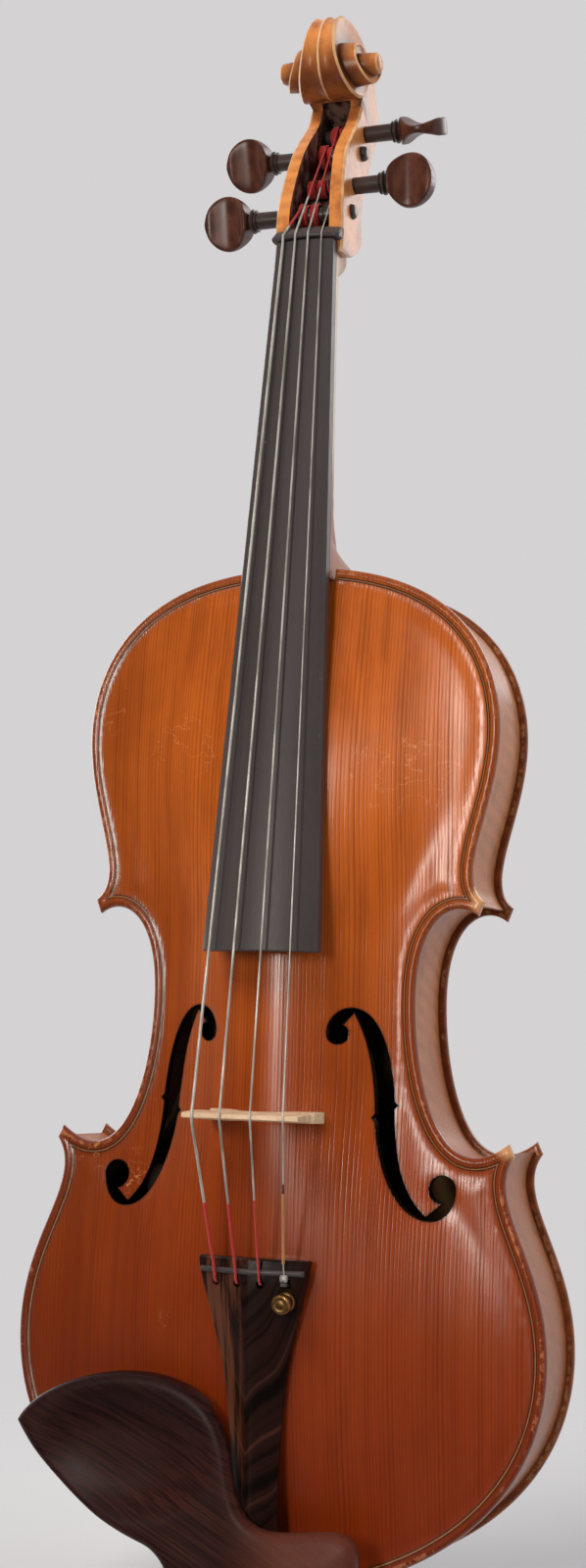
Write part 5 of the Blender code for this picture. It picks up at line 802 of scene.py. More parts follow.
def make_flame_group():
    """Curly figure: soft bands across the grain, broken up along their length."""
    tree, given, result = group("flame", (("Vector", "Vector", None), ("Pitch", "Float", 0.007),
                                          ("Lean", "Float", 0.3)), (("Band", "Float"),))
    axes = node(tree, "SeparateXYZ", {0: given["Vector"]}).outputs
    slope = calc(tree, "MULTIPLY", axes[0], given["Lean"])
    drift = calc(tree, "MULTIPLY", noise(tree, given["Vector"], (22, 22, 10), 2), 2.6)
    phase = calc(tree, "ADD", calc(tree, "DIVIDE", calc(tree, "ADD", axes[2], slope), given["Pitch"]), drift)
    wave = calc(tree, "SINE", calc(tree, "MULTIPLY", phase, 2 * math.pi))
    strength = ramp(tree, noise(tree, given["Vector"], (60, 60, 30), 2), 0.35, 0.65)
    band = calc(tree, "ADD", 0.5, calc(tree, "MULTIPLY", calc(tree, "MULTIPLY", wave, 0.5), strength))
    tree.links.new(band, result["Band"])
    return tree


FLAME = make_flame_group()


def paint_back(tree, shader, vector):
    grain = use(tree, GRAIN, Vector=vector, Pitch=0.0024, Wander=0.006)
    side = calc(tree, "ABSOLUTE", node(tree, "SeparateXYZ", {0: vector}).outputs[0])
    parts = node(tree, "SeparateXYZ", {0: vector}).outputs
    booked = node(tree, "CombineXYZ", {0: side, 1: parts[1], 2: parts[2]}).outputs[0]
    band = use(tree, FLAME, Vector=booked, Pitch=0.0085, Lean=-0.32)["Band"]
    ground = blended(tree, grain["Tone"], tint(140, 70, 32), tint(186, 104, 50))
    colour = blended(tree, calc(tree, "MULTIPLY", band, 0.62), ground, tint(96, 42, 18))
    colour = blended(tree, calc(tree, "MULTIPLY", grain["Line"], 0.22), colour, tint(80, 32, 14))
    joint = ramp(tree, side, 0.00028, 0.00012)
    colour = blended(tree, calc(tree, "MULTIPLY", joint, 0.7), colour, tint(50, 20, 10))
    bead, worn, channel_darkening = rim_wear_and_highlight(tree, vector, value_of(tree, "way_in"))
    colour = blended(tree, calc(tree, "MULTIPLY", bead, 0.45), colour, tint(96, 42, 22))
    # Paler crest of the bead: partly worn wood, partly a painted highlight.
    colour = blended(tree, calc(tree, "MULTIPLY", worn, 0.55), colour, tint(206, 148, 104))
    # A darker band in the channel beside the purfling.
    colour = blended(tree, calc(tree, "MULTIPLY", channel_darkening, 0.5), colour, tint(60, 26, 14))
    inner = value_of(tree, "inner")
    bare = blended(tree, grain["Fibre"], tint(92, 66, 44), tint(64, 44, 28))
    colour = blended(tree, inner, colour, bare)
    rough = calc(tree, "ADD", ramp(tree, grain["Fibre"], 0.2, 0.8, 0.22, 0.32), calc(tree, "MULTIPLY", worn, 0.2))
    feed(tree, shader, colour, rough, calc(tree, "ADD", grain["Fibre"], band), 0.12, 0.0002)


VARNISHED_MAPLE = finish_material("varnished_maple", paint_back)


def make_back():
    shoulder = half_path(0.0, BUTTON_HALF_WIDTH)
    angles = np.radians(np.linspace(90, 8, 14))
    arc = [np.array((BUTTON_HALF_WIDTH * math.cos(a), BODY_LENGTH + BUTTON_HEIGHT * math.sin(a)))
           for a in angles]
    half = arc + shoulder
    outer = cleaned(half + [point for point in mirrored(half)[::-1] if point[0] < -1e-6])
    near, far = purfling_rings(0.00006, 0.0, 0.0)
    bounds = [cleaned(path + mirrored(path)[::-1]) for path in (near, far)]
    rings = [path for way in RIM_RINGS for whole in [half_path(way, BUTTON_HALF_WIDTH + 0.001)]
             for path in (whole, mirrored(whole))]
    flat, faces = triangulated(outer, [], bounds, PLATE_SPACING, rings)
    front, back, groove, way = plate_heights(flat, 1, BACK_ARCH, np.array(outer))
    middle = flat[faces].mean(axis=1)
    sunk = lies_in(bounds[0], middle) & ~lies_in(bounds[1], middle)
    item, index_of = slab("back", flat, faces, front, back, sunk, groove)
    values, inner = (np.zeros(len(item.data.vertices)) for _ in range(2))
    for (layer, k), index in index_of.items():
        values[index] = way[k]
        inner[index] = layer == "back" and way[k] > EDGE_OVERHANG
    mark(item, "way_in", values)
    mark(item, "inner", inner)
    item.data.materials.append(VARNISHED_MAPLE)
    return lift(item), bounds


back, back_groove = make_back()
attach(back, "instrument")
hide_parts("back_plate")
JOINT = 0.0006
near, far = purfling_rings(0.0, JOINT + SEAT_GAP, 0.0)
inner_plies = [half_path(PURFLING_INSET + edge, 0.0, 0.0) for edge in PLY_EDGES]
inner_plies = [[point for point in ply if point[0] > JOINT + SEAT_GAP] for ply in inner_plies]
inner_plies = [ply + mirrored(ply)[::-1] for ply in inner_plies]
make_purfling("back_purfling_strip", "back_purfling", 1, BACK_ARCH,
              cleaned(near + mirrored(near)[::-1] + mirrored(far) + far[::-1]), inner_plies)


# Ribs: six thin strips of maple, bent over a hot iron to the outline and glued between the plates.
# They meet in mitres at the four corners, at the neck's heel and under the end button.

RIB_THICKNESS = 0.0012
HEEL_HALF_WIDTH = 0.0115
RIB_STATIONS = 150


def paint_rib(tree, shader, vector):
    grain = use(tree, GRAIN, Vector=vector, Pitch=0.0016, Wander=0.004)
    axes = node(tree, "SeparateXYZ", {0: vector}).outputs
    along = calc(tree, "ADD", axes[2], calc(tree, "MULTIPLY", axes[0], 0.6))
    turned = node(tree, "CombineXYZ", {0: axes[1], 1: 0.0, 2: along}).outputs[0]
    band = use(tree, FLAME, Vector=turned, Pitch=0.0075, Lean=0.35)["Band"]
    ground = blended(tree, grain["Tone"], tint(176, 102, 60), tint(210, 140, 92))
    # Darker towards the bottom: painted shade, as if lit from above.
    ground = blended(tree, ramp(tree, axes[2], 0.30, 0.02, 0.0, 0.75), ground, tint(116, 56, 34))
    colour = blended(tree, calc(tree, "MULTIPLY", band, 0.4), ground, tint(132, 76, 48))
    smudge = ramp(tree, noise(tree, vector, (60, 90, 40), 4, 0.6), 0.5, 0.72)
    colour = blended(tree, calc(tree, "MULTIPLY", smudge, 0.35), colour, tint(96, 54, 36))
    # Darker along both plates' edges: painted shade under their overhang.
    edge = ramp(tree, calc(tree, "ABSOLUTE", axes[1]), 0.0165, 0.0190)
    colour = blended(tree, calc(tree, "MULTIPLY", edge, 0.6), colour, tint(84, 42, 26))
    rough = ramp(tree, grain["Fibre"], 0.2, 0.8, 0.24, 0.36)
    feed(tree, shader, colour, rough, calc(tree, "ADD", grain["Fibre"], band), 0.14, 0.0002,
         Specular_IOR_Level=0.35)


RIB_MAPLE = finish_material("rib_maple", paint_rib)


def loft(name, rings, capped=True, closed=True, smooth=40):
    """A piece through rings of equal length; closed rings join their last point to their first."""
    count = len(rings[0])
    points = [point for ring in rings for point in ring]
    span = count if closed else count - 1
    polygons = [(r * count + k, r * count + (k + 1) % count, (r + 1) * count + (k + 1) % count,
                 (r + 1) * count + k) for r in range(len(rings) - 1) for k in range(span)]
    if capped:
        polygons += [tuple(range(count)), tuple(range(len(points) - count, len(points)))]
    return solid(name, points, polygons, smooth)


def spread_along(path, count):
    """A path's points, laid out again at equal distances."""
    path = np.array(path)
    along = np.concatenate([[0], np.cumsum(np.hypot(*np.diff(path, axis=0).T))])
    return np.column_stack([np.interp(np.linspace(0, along[-1], count), along, path[:, k]) for k in (0, 1)])


def rib_paths(bout, neck_x):
    """A rib's outer and inner path, mitred at its corners and cut at the neck or the foot."""
    outside, face = inset_runs(EDGE_OVERHANG), inset_runs(EDGE_OVERHANG + RIB_THICKNESS)
    paths = [list(outside[bout]), list(face[bout])]
    if bout == 0:
        paths = [clipped(path, neck_x, -1) for path in paths]
    if bout == 4:
        paths = [clipped(path, -1, 0.5 * SEAT_GAP) for path in paths]
    for step in (1, -1):
        corner = bout + step
        if 0 < corner < 4:
            end, other = (-1, 0) if step > 0 else (0, -1)
            pull = outside[bout][end] - outside[corner + step][other]
            pull = pull / max(np.linalg.norm(pull), 1e-9) * 0.5 * SEAT_GAP
            tip = outside[corner].mean(axis=0) + pull
            paths[0].insert(len(paths[0]) if step > 0 else 0, tip)
            paths[1][end] = paths[1][end] + pull
    return [spread_along(path, RIB_STATIONS) for path in paths]


for bout, label in ((0, "upper"), (2, "waist"), (4, "lower")):
    for side, hand in ((1, "treble"), (-1, "bass")):
        front_paths = rib_paths(bout, NECK_NOTCH_HALF)
        back_paths = rib_paths(bout, HEEL_HALF_WIDTH + SEAT_GAP)
        rings = [[(side * front_paths[0][k][0], -HALF_RIB, front_paths[0][k][1]),
                  (side * back_paths[0][k][0], HALF_RIB, back_paths[0][k][1]),
                  (side * back_paths[1][k][0], HALF_RIB, back_paths[1][k][1]),
                  (side * front_paths[1][k][0], -HALF_RIB, front_paths[1][k][1])]
                 for k in range(RIB_STATIONS)]
        rib = lift(loft(f"rib_{label}_{hand}", rings))
        rib.data.materials.append(RIB_MAPLE)
        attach(rib, "instrument")
        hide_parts(f"{label}_rib_{hand}")


# Neck, pegbox and scroll: carved from one block of maple, its root let into the upper ribs.
# The head is varnished, with worn pale chamfers, and the grip is bare wood polished by the hand.

NUT_Z = BODY_LENGTH + 0.146
CHEEK_AT_NUT, CHEEK_AT_THROAT = 0.0064, 0.0056
PEGBOX_FLOOR = 0.0050
PEGBOX_STATIONS = (
    ((-0.0147, -0.0048), (-0.0060, -0.0046), 0.0154),
    ((-0.0144, -0.0025), (-0.0009, -0.0034), 0.0157),
    ((-0.0142, 0.0000), (0.0045, -0.0008), 0.0157),
    ((-0.0139, 0.0025), (0.0086, 0.0024), 0.0157),
    ((-0.0137, 0.0053), (0.0106, 0.0048), 0.0157),
    ((-0.0145, 0.0062), (0.0114, 0.0074), 0.0157),
    ((-0.0145, 0.0105), (0.0105, 0.0120), 0.0157),
    ((-0.0139, 0.0190), (0.0116, 0.0205), 0.0153),
    ((-0.0106, 0.0310), (0.0168, 0.0310), 0.0143),
    ((-0.0048, 0.0450), (0.0252, 0.0440), 0.0132),
    ((0.0040, 0.0560), (0.0326, 0.0550), 0.0127),
    ((0.0125, 0.0655), (0.0366, 0.0605), 0.0123),
)
PEGBOX_HOLLOW = (
    (5.12, 0.40, 0.0040), (6.0, 1.0, 0.0040), (10.0, 1.0, 0.0040), (11.0, 1.0, 0.0030), (12.0, 1.0, -0.0006),
)
PEGBOX_STEPS = 5
SCROLL_HUB = np.array((0.0085, NUT_Z + 0.0898))
THROAT_ANGLE, LAST_TURN_ANGLE, EYE_ANGLE, SCROLL_STEP = -60, 760, 1120, 5
SCROLL_BACK_FOOT = (0.0385, 0.0635)
SCROLL_RADII = (
    (0, 0.0293), (45, 0.0274), (90, 0.0247), (120, 0.0218), (150, 0.0193), (180, 0.0179), (210, 0.0168),
    (240, 0.0154), (270, 0.0147), (300, 0.0140), (360, 0.0126), (450, 0.0108), (540, 0.0096),
    (630, 0.0089), (675, 0.0074), (720, 0.0060), (760, 0.0054), (810, 0.0051), (900, 0.0048), (1120, 0.0042),
)
SCROLL_WIDTHS = (
    (-60, 0.0124), (0, 0.0110), (60, 0.0076), (90, 0.0066), (120, 0.0065), (150, 0.0072), (180, 0.0084),
    (210, 0.0104), (240, 0.0122), (270, 0.0136), (300, 0.0139), (360, 0.0139), (450, 0.0140), (500, 0.0144),
    (540, 0.0154), (590, 0.0183), (640, 0.0208), (700, 0.0222), (760, 0.0230), (850, 0.0232), (1120, 0.0236),
)
FLUTE_DEPTH, RIDGE_HALF = 0.0015, 0.0005
FLUTE_SHARES = (1.0, 0.93, 0.84, 0.72, 0.58, 0.44, 0.31, 0.19, 0.10)
RIM_CHAMFER = 0.0010
VOLUTE_SCOOP = 0.0008
PEG_SIDES = (-1, 1, -1, 1)
PEG_AXES = ((-0.0020, 0.0172), (0.0040, 0.0313), (0.0165, 0.0510), (0.0225, 0.0623))
PEG_COLLAR_X, PEG_TIP_X = (0.0287, 0.0260, 0.0267, 0.0252), (0.0174, 0.0162, 0.0156, 0.0149)
PEG_COLLAR_SHAFT_RADIUS, PEG_TIP_SHAFT_RADIUS = 0.0039, 0.0034
PEG_GAP = 0.0001
BOARD_LENGTH = 0.3077
BOARD_HALF_WIDTH_NUT, BOARD_HALF_WIDTH_END = 0.0132, 0.0248
BOARD_ARRIS_Y_NUT, BOARD_ARRIS_Y_END = -0.0193, -0.0488
BOARD_SIDE, BOARD_RADIUS = 0.0048, 0.042
NECK_WOOD_AT_NUT, NECK_WOOD_AT_HEEL = 0.0130, 0.0155
NECK_CHIN = (
    (-0.0170, -0.0013, 0.0040, 0.0), (-0.0135, 0.0010, 0.0070, 0.3), (-0.0105, 0.0046, 0.0085, 0.5),
    (-0.0075, 0.0082, 0.0095, 0.6), (-0.0040, 0.0108, 0.0100, 0.65), (0.0005, 0.0116, 0.0100, 0.65),
    (0.0070, 0.0098, 0.0095, 0.65),
)


def through(rows, steps):
    """Smooth rows through the given ones, with a number of steps between each two."""
    rows = np.array(rows, float)
    padded = np.vstack([2 * rows[0] - rows[1], rows, 2 * rows[-1] - rows[-2]])
    out = []
    for k in range(1, len(padded) - 2):
        a, b, c, d = padded[k - 1:k + 3]
        for t in np.arange(steps) / steps:
            out.append(0.5 * (2 * b + (c - a) * t + (2 * a - 5 * b + 4 * c - d) * t ** 2
                              + (3 * b - a - 3 * c + d) * t ** 3))
    return np.array([*out, rows[-1]])


def board_half_width(z):
    return BOARD_HALF_WIDTH_NUT + (NUT_Z - z) / BOARD_LENGTH * (BOARD_HALF_WIDTH_END - BOARD_HALF_WIDTH_NUT)


def board_arris_y(z):
    return BOARD_ARRIS_Y_NUT + (NUT_Z - z) / BOARD_LENGTH * (BOARD_ARRIS_Y_END - BOARD_ARRIS_Y_NUT)


def board_top_y(x, z):
    """The playing surface of the fingerboard."""
    return board_arris_y(z) - (math.sqrt(BOARD_RADIUS ** 2 - x ** 2)
                               - math.sqrt(BOARD_RADIUS ** 2 - board_half_width(z) ** 2))


def neck_front_y(z):
    return board_arris_y(z) + BOARD_SIDE + SEAT_GAP


SMOOTH_RADII, SMOOTH_WIDTHS = through(SCROLL_RADII, 6).T, through(SCROLL_WIDTHS, 6).T


def scroll_rim(angle):
    """The volute's rim in (y, z): a spiral that shrinks inwards as the angle grows."""
    if angle >= 0:
        turn = math.radians(angle)
        reach = float(np.interp(angle, *SMOOTH_RADII))
        return SCROLL_HUB + reach * np.array((math.cos(turn), math.sin(turn)))
    start = SCROLL_HUB + (SCROLL_RADII[0][1], 0)
    foot = np.array((SCROLL_BACK_FOOT[0], NUT_Z + SCROLL_BACK_FOOT[1]))
    t = angle / THROAT_ANGLE
    return ((1 - t) ** 3 * start + 3 * (1 - t) ** 2 * t * (start + (0.0025, -0.0100))
            + 3 * (1 - t) * t ** 2 * (foot + (0.0045, 0.0075)) + t ** 3 * foot)


def scroll_half_width(angle):
    return float(np.interp(angle, *SMOOTH_WIDTHS))


def groove_foot(angle):
    """Where a turn's side meets the wall of the next turn inside it."""
    rim = scroll_rim(angle + 360)
    out = rim - SCROLL_HUB
    shift = 0.0007 + 0.0026 * math.exp(-(angle - THROAT_ANGLE) / 12)
    return rim + out / np.linalg.norm(out) * shift


def pegbox_rows(throat):
    """Front y and z, back y and z and half width, from the chin to the scroll's throat."""
    rows = [(front[0], NUT_Z + front[1], back[0], NUT_Z + back[1], half)
            for front, back, half in PEGBOX_STATIONS]
    rows.append((*throat, *scroll_rim(THROAT_ANGLE), scroll_half_width(THROAT_ANGLE)))
    return through(rows, PEGBOX_STEPS)


def make_head():
    """Pegbox and scroll as one closed solid, with its chamfers in material slot 1."""
    points, polygons, slots, hollow = [], [], [], []
    index_of = {}

    def point(key, x, place, dark=0.0):
        index_of[key] = len(points)
        points.append((x, *place))
        hollow.append(dark)

    def face(keys, slot=0):
        polygons.append([index_of[key] for key in keys])
        slots.append(slot)

    stations = [(row[:2], row[2:4], row[4], None) for row in pegbox_rows(groove_foot(THROAT_ANGLE))[:-1]]
    first = len(stations)
    per_turn = 360 // SCROLL_STEP
    angles = list(range(THROAT_ANGLE, EYE_ANGLE + 1, SCROLL_STEP))
    last = first + (LAST_TURN_ANGLE - THROAT_ANGLE) // SCROLL_STEP
    for angle in angles:
        stations.append((groove_foot(angle) if first + angles.index(angle) <= last else None,
                         scroll_rim(angle), scroll_half_width(angle), angle))
    for k, (front, back, half, angle) in enumerate(stations):
        inward = (np.array(front) if front is not None else SCROLL_HUB) - back
        inward = inward / np.linalg.norm(inward)
        chamfer = RIM_CHAMFER * (1.0 if angle is None or angle < 500 else 0.75)
        for side in (1, -1):
            if front is not None:
                scoop = 0.0 if angle is None else VOLUTE_SCOOP
                # dark holds painted shade: 1 at the foot of the scroll's groove, less up its wall.
                dark = 0.0 if angle is None else 1.0
                if angle is None:
                    point(("lip", k, side), side * (half - chamfer), front)
                    point(("foot", k, side), side * half, np.array(front) - chamfer * inward)
                else:
                    point(("foot", k, side), side * (half - scoop), front, dark)
                middle = 0.5 * (np.array(front) + back)
                point(("mid", k, side), side * (half - scoop), middle, 0.35 * dark)
            point(("in", k, side), side * half, back + chamfer * inward)
            point(("out", k, side), side * (half - chamfer), back)
            if k < first + per_turn + 1:
                deep = FLUTE_DEPTH * min(1.0, (k + 2) / 10)
                for j, share in enumerate(FLUTE_SHARES):
                    x = RIDGE_HALF + share * (half - chamfer - RIDGE_HALF)
                    point(("flute", k, side, j), side * x,
                          back + deep * math.sin(math.pi * (1 - share) * 0.5) ** 0.5
                          * math.sin(math.pi * share) ** 0.7 * inward if 0 < share < 1 else back)
                point(("ridge", k, side), side * RIDGE_HALF, back)

    def outer_keys(k, side):
        return [("out", k, side)] + [("flute", k, side, j) for j in range(1, len(FLUTE_SHARES))] + [
            ("ridge", k, side)]

    for k in range(len(stations) - 1):
        for side in (1, -1):
            face([("in", k, side), ("out", k, side), ("out", k + 1, side), ("in", k + 1, side)], 1)
            if k < last:
                if k < first - 1:
                    face([("foot", k, side), ("lip", k, side), ("lip", k + 1, side), ("foot", k + 1, side)], 1)
                face([("foot", k, side), ("mid", k, side), ("mid", k + 1, side), ("foot", k + 1, side)])
                face([("mid", k, side), ("in", k, side), ("in", k + 1, side), ("mid", k + 1, side)])
            if k < first + per_turn:
                near, far = outer_keys(k, side), outer_keys(k + 1, side)
                for j in range(len(near) - 1):
                    face([near[j], near[j + 1], far[j + 1], far[j]])
        if k < first + per_turn:
            face([("ridge", k, 1), ("ridge", k, -1), ("ridge", k + 1, -1), ("ridge", k + 1, 1)], 1)
        if k < first - 1:
            face([("lip", k, 1), ("lip", k, -1), ("lip", k + 1, -1), ("lip", k + 1, 1)])
    a, b = first - 1, first
    face([("lip", a, 1), ("lip", a, -1), ("foot", b, -1), ("foot", b, 1)])
    for side in (1, -1):
        face([("foot", a, side), ("lip", a, side), ("foot", b, side)], 1)
    face([("lip", 0, 1), ("foot", 0, 1), ("mid", 0, 1), ("in", 0, 1), *outer_keys(0, 1),
          *outer_keys(0, -1)[::-1], ("in", 0, -1), ("mid", 0, -1), ("foot", 0, -1), ("lip", 0, -1)])
    for side in (1, -1):
        for k in range(first, last):
            face([("foot", k, side), ("foot", k + 1, side), ("out", k + 1 + per_turn, side),
                  ("out", k + per_turn, side)])
        end = len(stations) - 1
        face([("foot", last, side), ("out", end, side), ("in", end, side), ("in", last, side),
              ("mid", last, side)])
        point(("hub", side), side * (scroll_half_width(EYE_ANGLE) + 0.0003), SCROLL_HUB)
        loop = [("in", k, side) for k in range(last, end + 1)]
        for near, far in zip(loop, loop[1:] + loop[:1]):
            face([near, far, ("hub", side)])
    under = first + per_turn
    face([("foot", first, 1), *outer_keys(under, 1), *outer_keys(under, -1)[::-1], ("foot", first, -1)])
    used = sorted({index for polygon in polygons for index in polygon})
    renamed = {old: new for new, old in enumerate(used)}
    head = solid("neck_and_head", [points[k] for k in used],
                 [[renamed[k] for k in polygon] for polygon in polygons])
    head.data.polygons.foreach_set("material_index", slots)
    return head, np.array(points)[used], np.array(hollow)[used]


def neck_section(z, half_width, front, back, flat, square, count=24):
    """One neck ring: half an ellipse, blended towards the heel's straight sides."""
    ring = []
    for k in range(count + 1):
        angle = math.pi * k / count
        bent, share = math.cos(angle), math.sin(angle)
        edge = min(1.0, 3.0 * min(k, count - k) / count)
        blunt_x = (half_width + edge * (flat - half_width)) * (1 if bent > 0 else -1)
        if edge == 1.0:
            blunt_x = flat * (1 - 2 * (k / count - 1 / 3) * 3) if 1 / 3 < k / count < 2 / 3 else blunt_x
        ring.append(((1 - square) * half_width * bent + square * blunt_x,
                     front + (back - front) * ((1 - square) * share + square * edge), z))
    return ring


def make_neck():
    """The neck from its root in the mortise, round the heel and up to the pegbox."""
    button_z = BODY_LENGTH + BUTTON_HEIGHT
    heel_back = HALF_RIB - 0.0001
    grip_low = BODY_LENGTH + 0.034
    low_back = neck_front_y(grip_low) + NECK_WOOD_AT_HEEL
    slim = 0.35 * HEEL_HALF_WIDTH
    rows = [
        (MORTISE_Z, heel_back, HEEL_HALF_WIDTH, 1.0),
        (BODY_LENGTH + 0.001, heel_back, HEEL_HALF_WIDTH, 1.0),
        (BODY_LENGTH + 0.6 * BUTTON_HEIGHT, heel_back, 0.86 * HEEL_HALF_WIDTH, 1.0),
        (button_z - 0.0012, heel_back, 0.45 * HEEL_HALF_WIDTH, 0.9),
        (button_z + 0.0015, heel_back - 0.0055, 0.40 * HEEL_HALF_WIDTH, 0.6),
        (button_z + 0.0050, 0.5 * (heel_back + low_back), slim, 0.35),
        (button_z + 0.0100, low_back + 0.0050, slim, 0.15),
        (button_z + 0.0160, low_back + 0.0012, slim, 0.0),
        (grip_low, low_back, slim, 0.0),
    ]
    for share in (0.35, 0.7):
        z = grip_low + share * (NUT_Z - grip_low)
        wood = NECK_WOOD_AT_HEEL + share * (NECK_WOOD_AT_NUT - NECK_WOOD_AT_HEEL)
        rows.append((z, neck_front_y(z) + wood, slim, 0.0))
    rows.extend((NUT_Z + rise, back, flat, square) for rise, back, flat, square in NECK_CHIN)
    rings = [neck_section(z, board_half_width(z), neck_front_y(z), min(back, heel_back), flat,
                          min(1.0, max(0.0, square)))
             for z, back, flat, square in through(rows, 5)]
    return loft("neck", rings)


def pegbox_cutter():
    """The hollow between the cheeks, open at the front, with rounded corners at its floor."""
    rows = pegbox_rows(scroll_rim(THROAT_ANGLE + 360))
    places, shares, overshoots = zip(*PEGBOX_HOLLOW)
    soft = 0.0022
    rings = []
    for place in [places[0], *np.arange(math.ceil(places[0] * PEGBOX_STEPS), len(rows)) / PEGBOX_STEPS]:
        row = [np.interp(place * PEGBOX_STEPS, range(len(rows)), rows[:, k]) for k in range(5)]
        cheek = np.interp(place, (places[0], places[-1]), (CHEEK_AT_NUT, CHEEK_AT_THROAT))
        front, back, half = np.array(row[:2]), np.array(row[2:4]), row[4] - cheek
        length = np.linalg.norm(front - back)
        unit = (front - back) / length
        depth = (length - PEGBOX_FLOOR - FLUTE_DEPTH) * np.interp(place, places, shares)
        floor = front - unit * depth
        over = front + unit * np.interp(place, places, overshoots)
        bend = floor + 0.3 * unit * soft
        wall = floor + unit * soft
        rings.append([(half, *over), (half, *wall), (half - 0.3 * soft, *bend), (half - soft, *floor),
                      (soft - half, *floor), (0.3 * soft - half, *bend), (-half, *wall), (-half, *over)])
    return loft("hollow", rings)


def shaft_radius(peg, along):
    """The tapered shaft's radius at a distance from the centre plane towards the collar."""
    share = (PEG_COLLAR_X[peg] - along) / (PEG_COLLAR_X[peg] + PEG_TIP_X[peg])
    return PEG_COLLAR_SHAFT_RADIUS + share * (PEG_TIP_SHAFT_RADIUS - PEG_COLLAR_SHAFT_RADIUS)


def turned(name, profile, segments, axis, centre=(0, 0, 0), smooth=40):
    """A solid of revolution: profile holds (distance along the axis, radius)."""
    rings = []
    for along, radius in profile:
        ring = []
        for step in range(segments):
            angle = 2 * math.pi * step / segments
            across = (radius * math.cos(angle), radius * math.sin(angle))
            place = {"x": (along, *across), "y": (across[1], along, across[0]), "z": (*across, along)}[axis]
            ring.append(tuple(place[k] + centre[k] for k in range(3)))
        rings.append(ring)
    return loft(name, rings, smooth=smooth)


def joined(item, steps, smooth=40):
    """An item after one exact Boolean with each (operation, tool); the tools are used up."""
    for operation, tool in steps:
        change = item.modifiers.new("change", "BOOLEAN")
        change.operation, change.solver, change.object = operation, "EXACT", tool
    bpy.context.view_layer.update()
    result = bpy.data.meshes.new_from_object(item.evaluated_get(bpy.context.evaluated_depsgraph_get()))
    item.modifiers.clear()
    item.data = result
    for _, tool in steps:
        bpy.data.objects.remove(tool, do_unlink=True)
    work = bmesh.new()
    work.from_mesh(result)
    bmesh.ops.remove_doubles(work, verts=work.verts, dist=2e-6)
    bmesh.ops.dissolve_degenerate(work, edges=work.edges, dist=2e-6)
    work.to_mesh(result)
    work.free()
    result.shade_smooth()
    result.set_sharp_from_angle(angle=math.radians(smooth))
    return item


def paint_neck(worn):
    def paint(tree, shader, vector):
        grain = use(tree, GRAIN, Vector=vector, Pitch=0.0018, Wander=0.004)
        axes = node(tree, "SeparateXYZ", {0: vector}).outputs
        side = node(tree, "CombineXYZ", {0: axes[1], 1: axes[0], 2: axes[2]}).outputs[0]
        band = use(tree, FLAME, Vector=side, Pitch=0.0065, Lean=0.25)["Band"]
        ground = blended(tree, grain["Tone"], tint(204, 116, 54), tint(236, 162, 92))
        if worn:
            ground = blended(tree, grain["Tone"], tint(214, 156, 96), tint(240, 204, 156))
        colour = blended(tree, calc(tree, "MULTIPLY", band, 0.3), ground, tint(150, 74, 32))
        stain = ramp(tree, noise(tree, vector, (110, 110, 70), 5, 0.65), 0.44, 0.64)
        colour = blended(tree, calc(tree, "MULTIPLY", stain, 0.35 if worn else 0.6), colour, tint(138, 66, 30))
        rise = calc(tree, "SUBTRACT", axes[2], NUT_Z + BODY_Z)
        front = ramp(tree, axes[1], 0.016, -0.006)
        # The volute's lower front, marked here, gets painted shade as if lit from above.
        under = calc(tree, "MULTIPLY", calc(tree, "MULTIPLY", ramp(tree, rise, 0.064, 0.070),
                                            ramp(tree, rise, 0.104, 0.080)), front)
        chin = ramp(tree, rise, 0.002, -0.004)
        if not worn:
            colour = blended(tree, calc(tree, "MULTIPLY", under, 0.85), colour, tint(104, 42, 20))
            colour = blended(tree, calc(tree, "MULTIPLY", chin, 0.7), colour, tint(132, 62, 32))
        # Painted shade at the foot of the scroll's grooves.
        hollow = value_of(tree, "hollow")
        colour = blended(tree, calc(tree, "MULTIPLY", hollow, 0.85), colour, tint(58, 26, 16))
        low = ramp(tree, axes[2], 0.455, 0.475)
        high = ramp(tree, axes[2], 0.568, 0.555)
        grip = calc(tree, "MULTIPLY", low, high)
        bare = blended(tree, grain["Fibre"], tint(224, 200, 176), tint(196, 162, 128))
        colour = blended(tree, grip, colour, bare)
        rough = ramp(tree, grain["Fibre"], 0.2, 0.8, 0.26, 0.4)
        feed(tree, shader, colour, rough, grain["Fibre"], 0.1, 0.0002, Specular_IOR_Level=0.3)
    return paint


def paint_pegbox_inside(tree, shader, vector):
    smudge = noise(tree, vector, (220, 220, 130), 4, 0.6)
    colour = blended(tree, ramp(tree, smudge, 0.40, 0.62), tint(40, 24, 20), tint(128, 96, 84))
    feed(tree, shader, colour, ramp(tree, smudge, 0.3, 0.7, 0.4, 0.6), smudge, 0.4, 0.0006)


NECK_MAPLE = finish_material("neck_maple", paint_neck(False))
NECK_CHAMFER = finish_material("worn_chamfer", paint_neck(True))
PEGBOX_DARK = finish_material("pegbox_inside", paint_pegbox_inside)


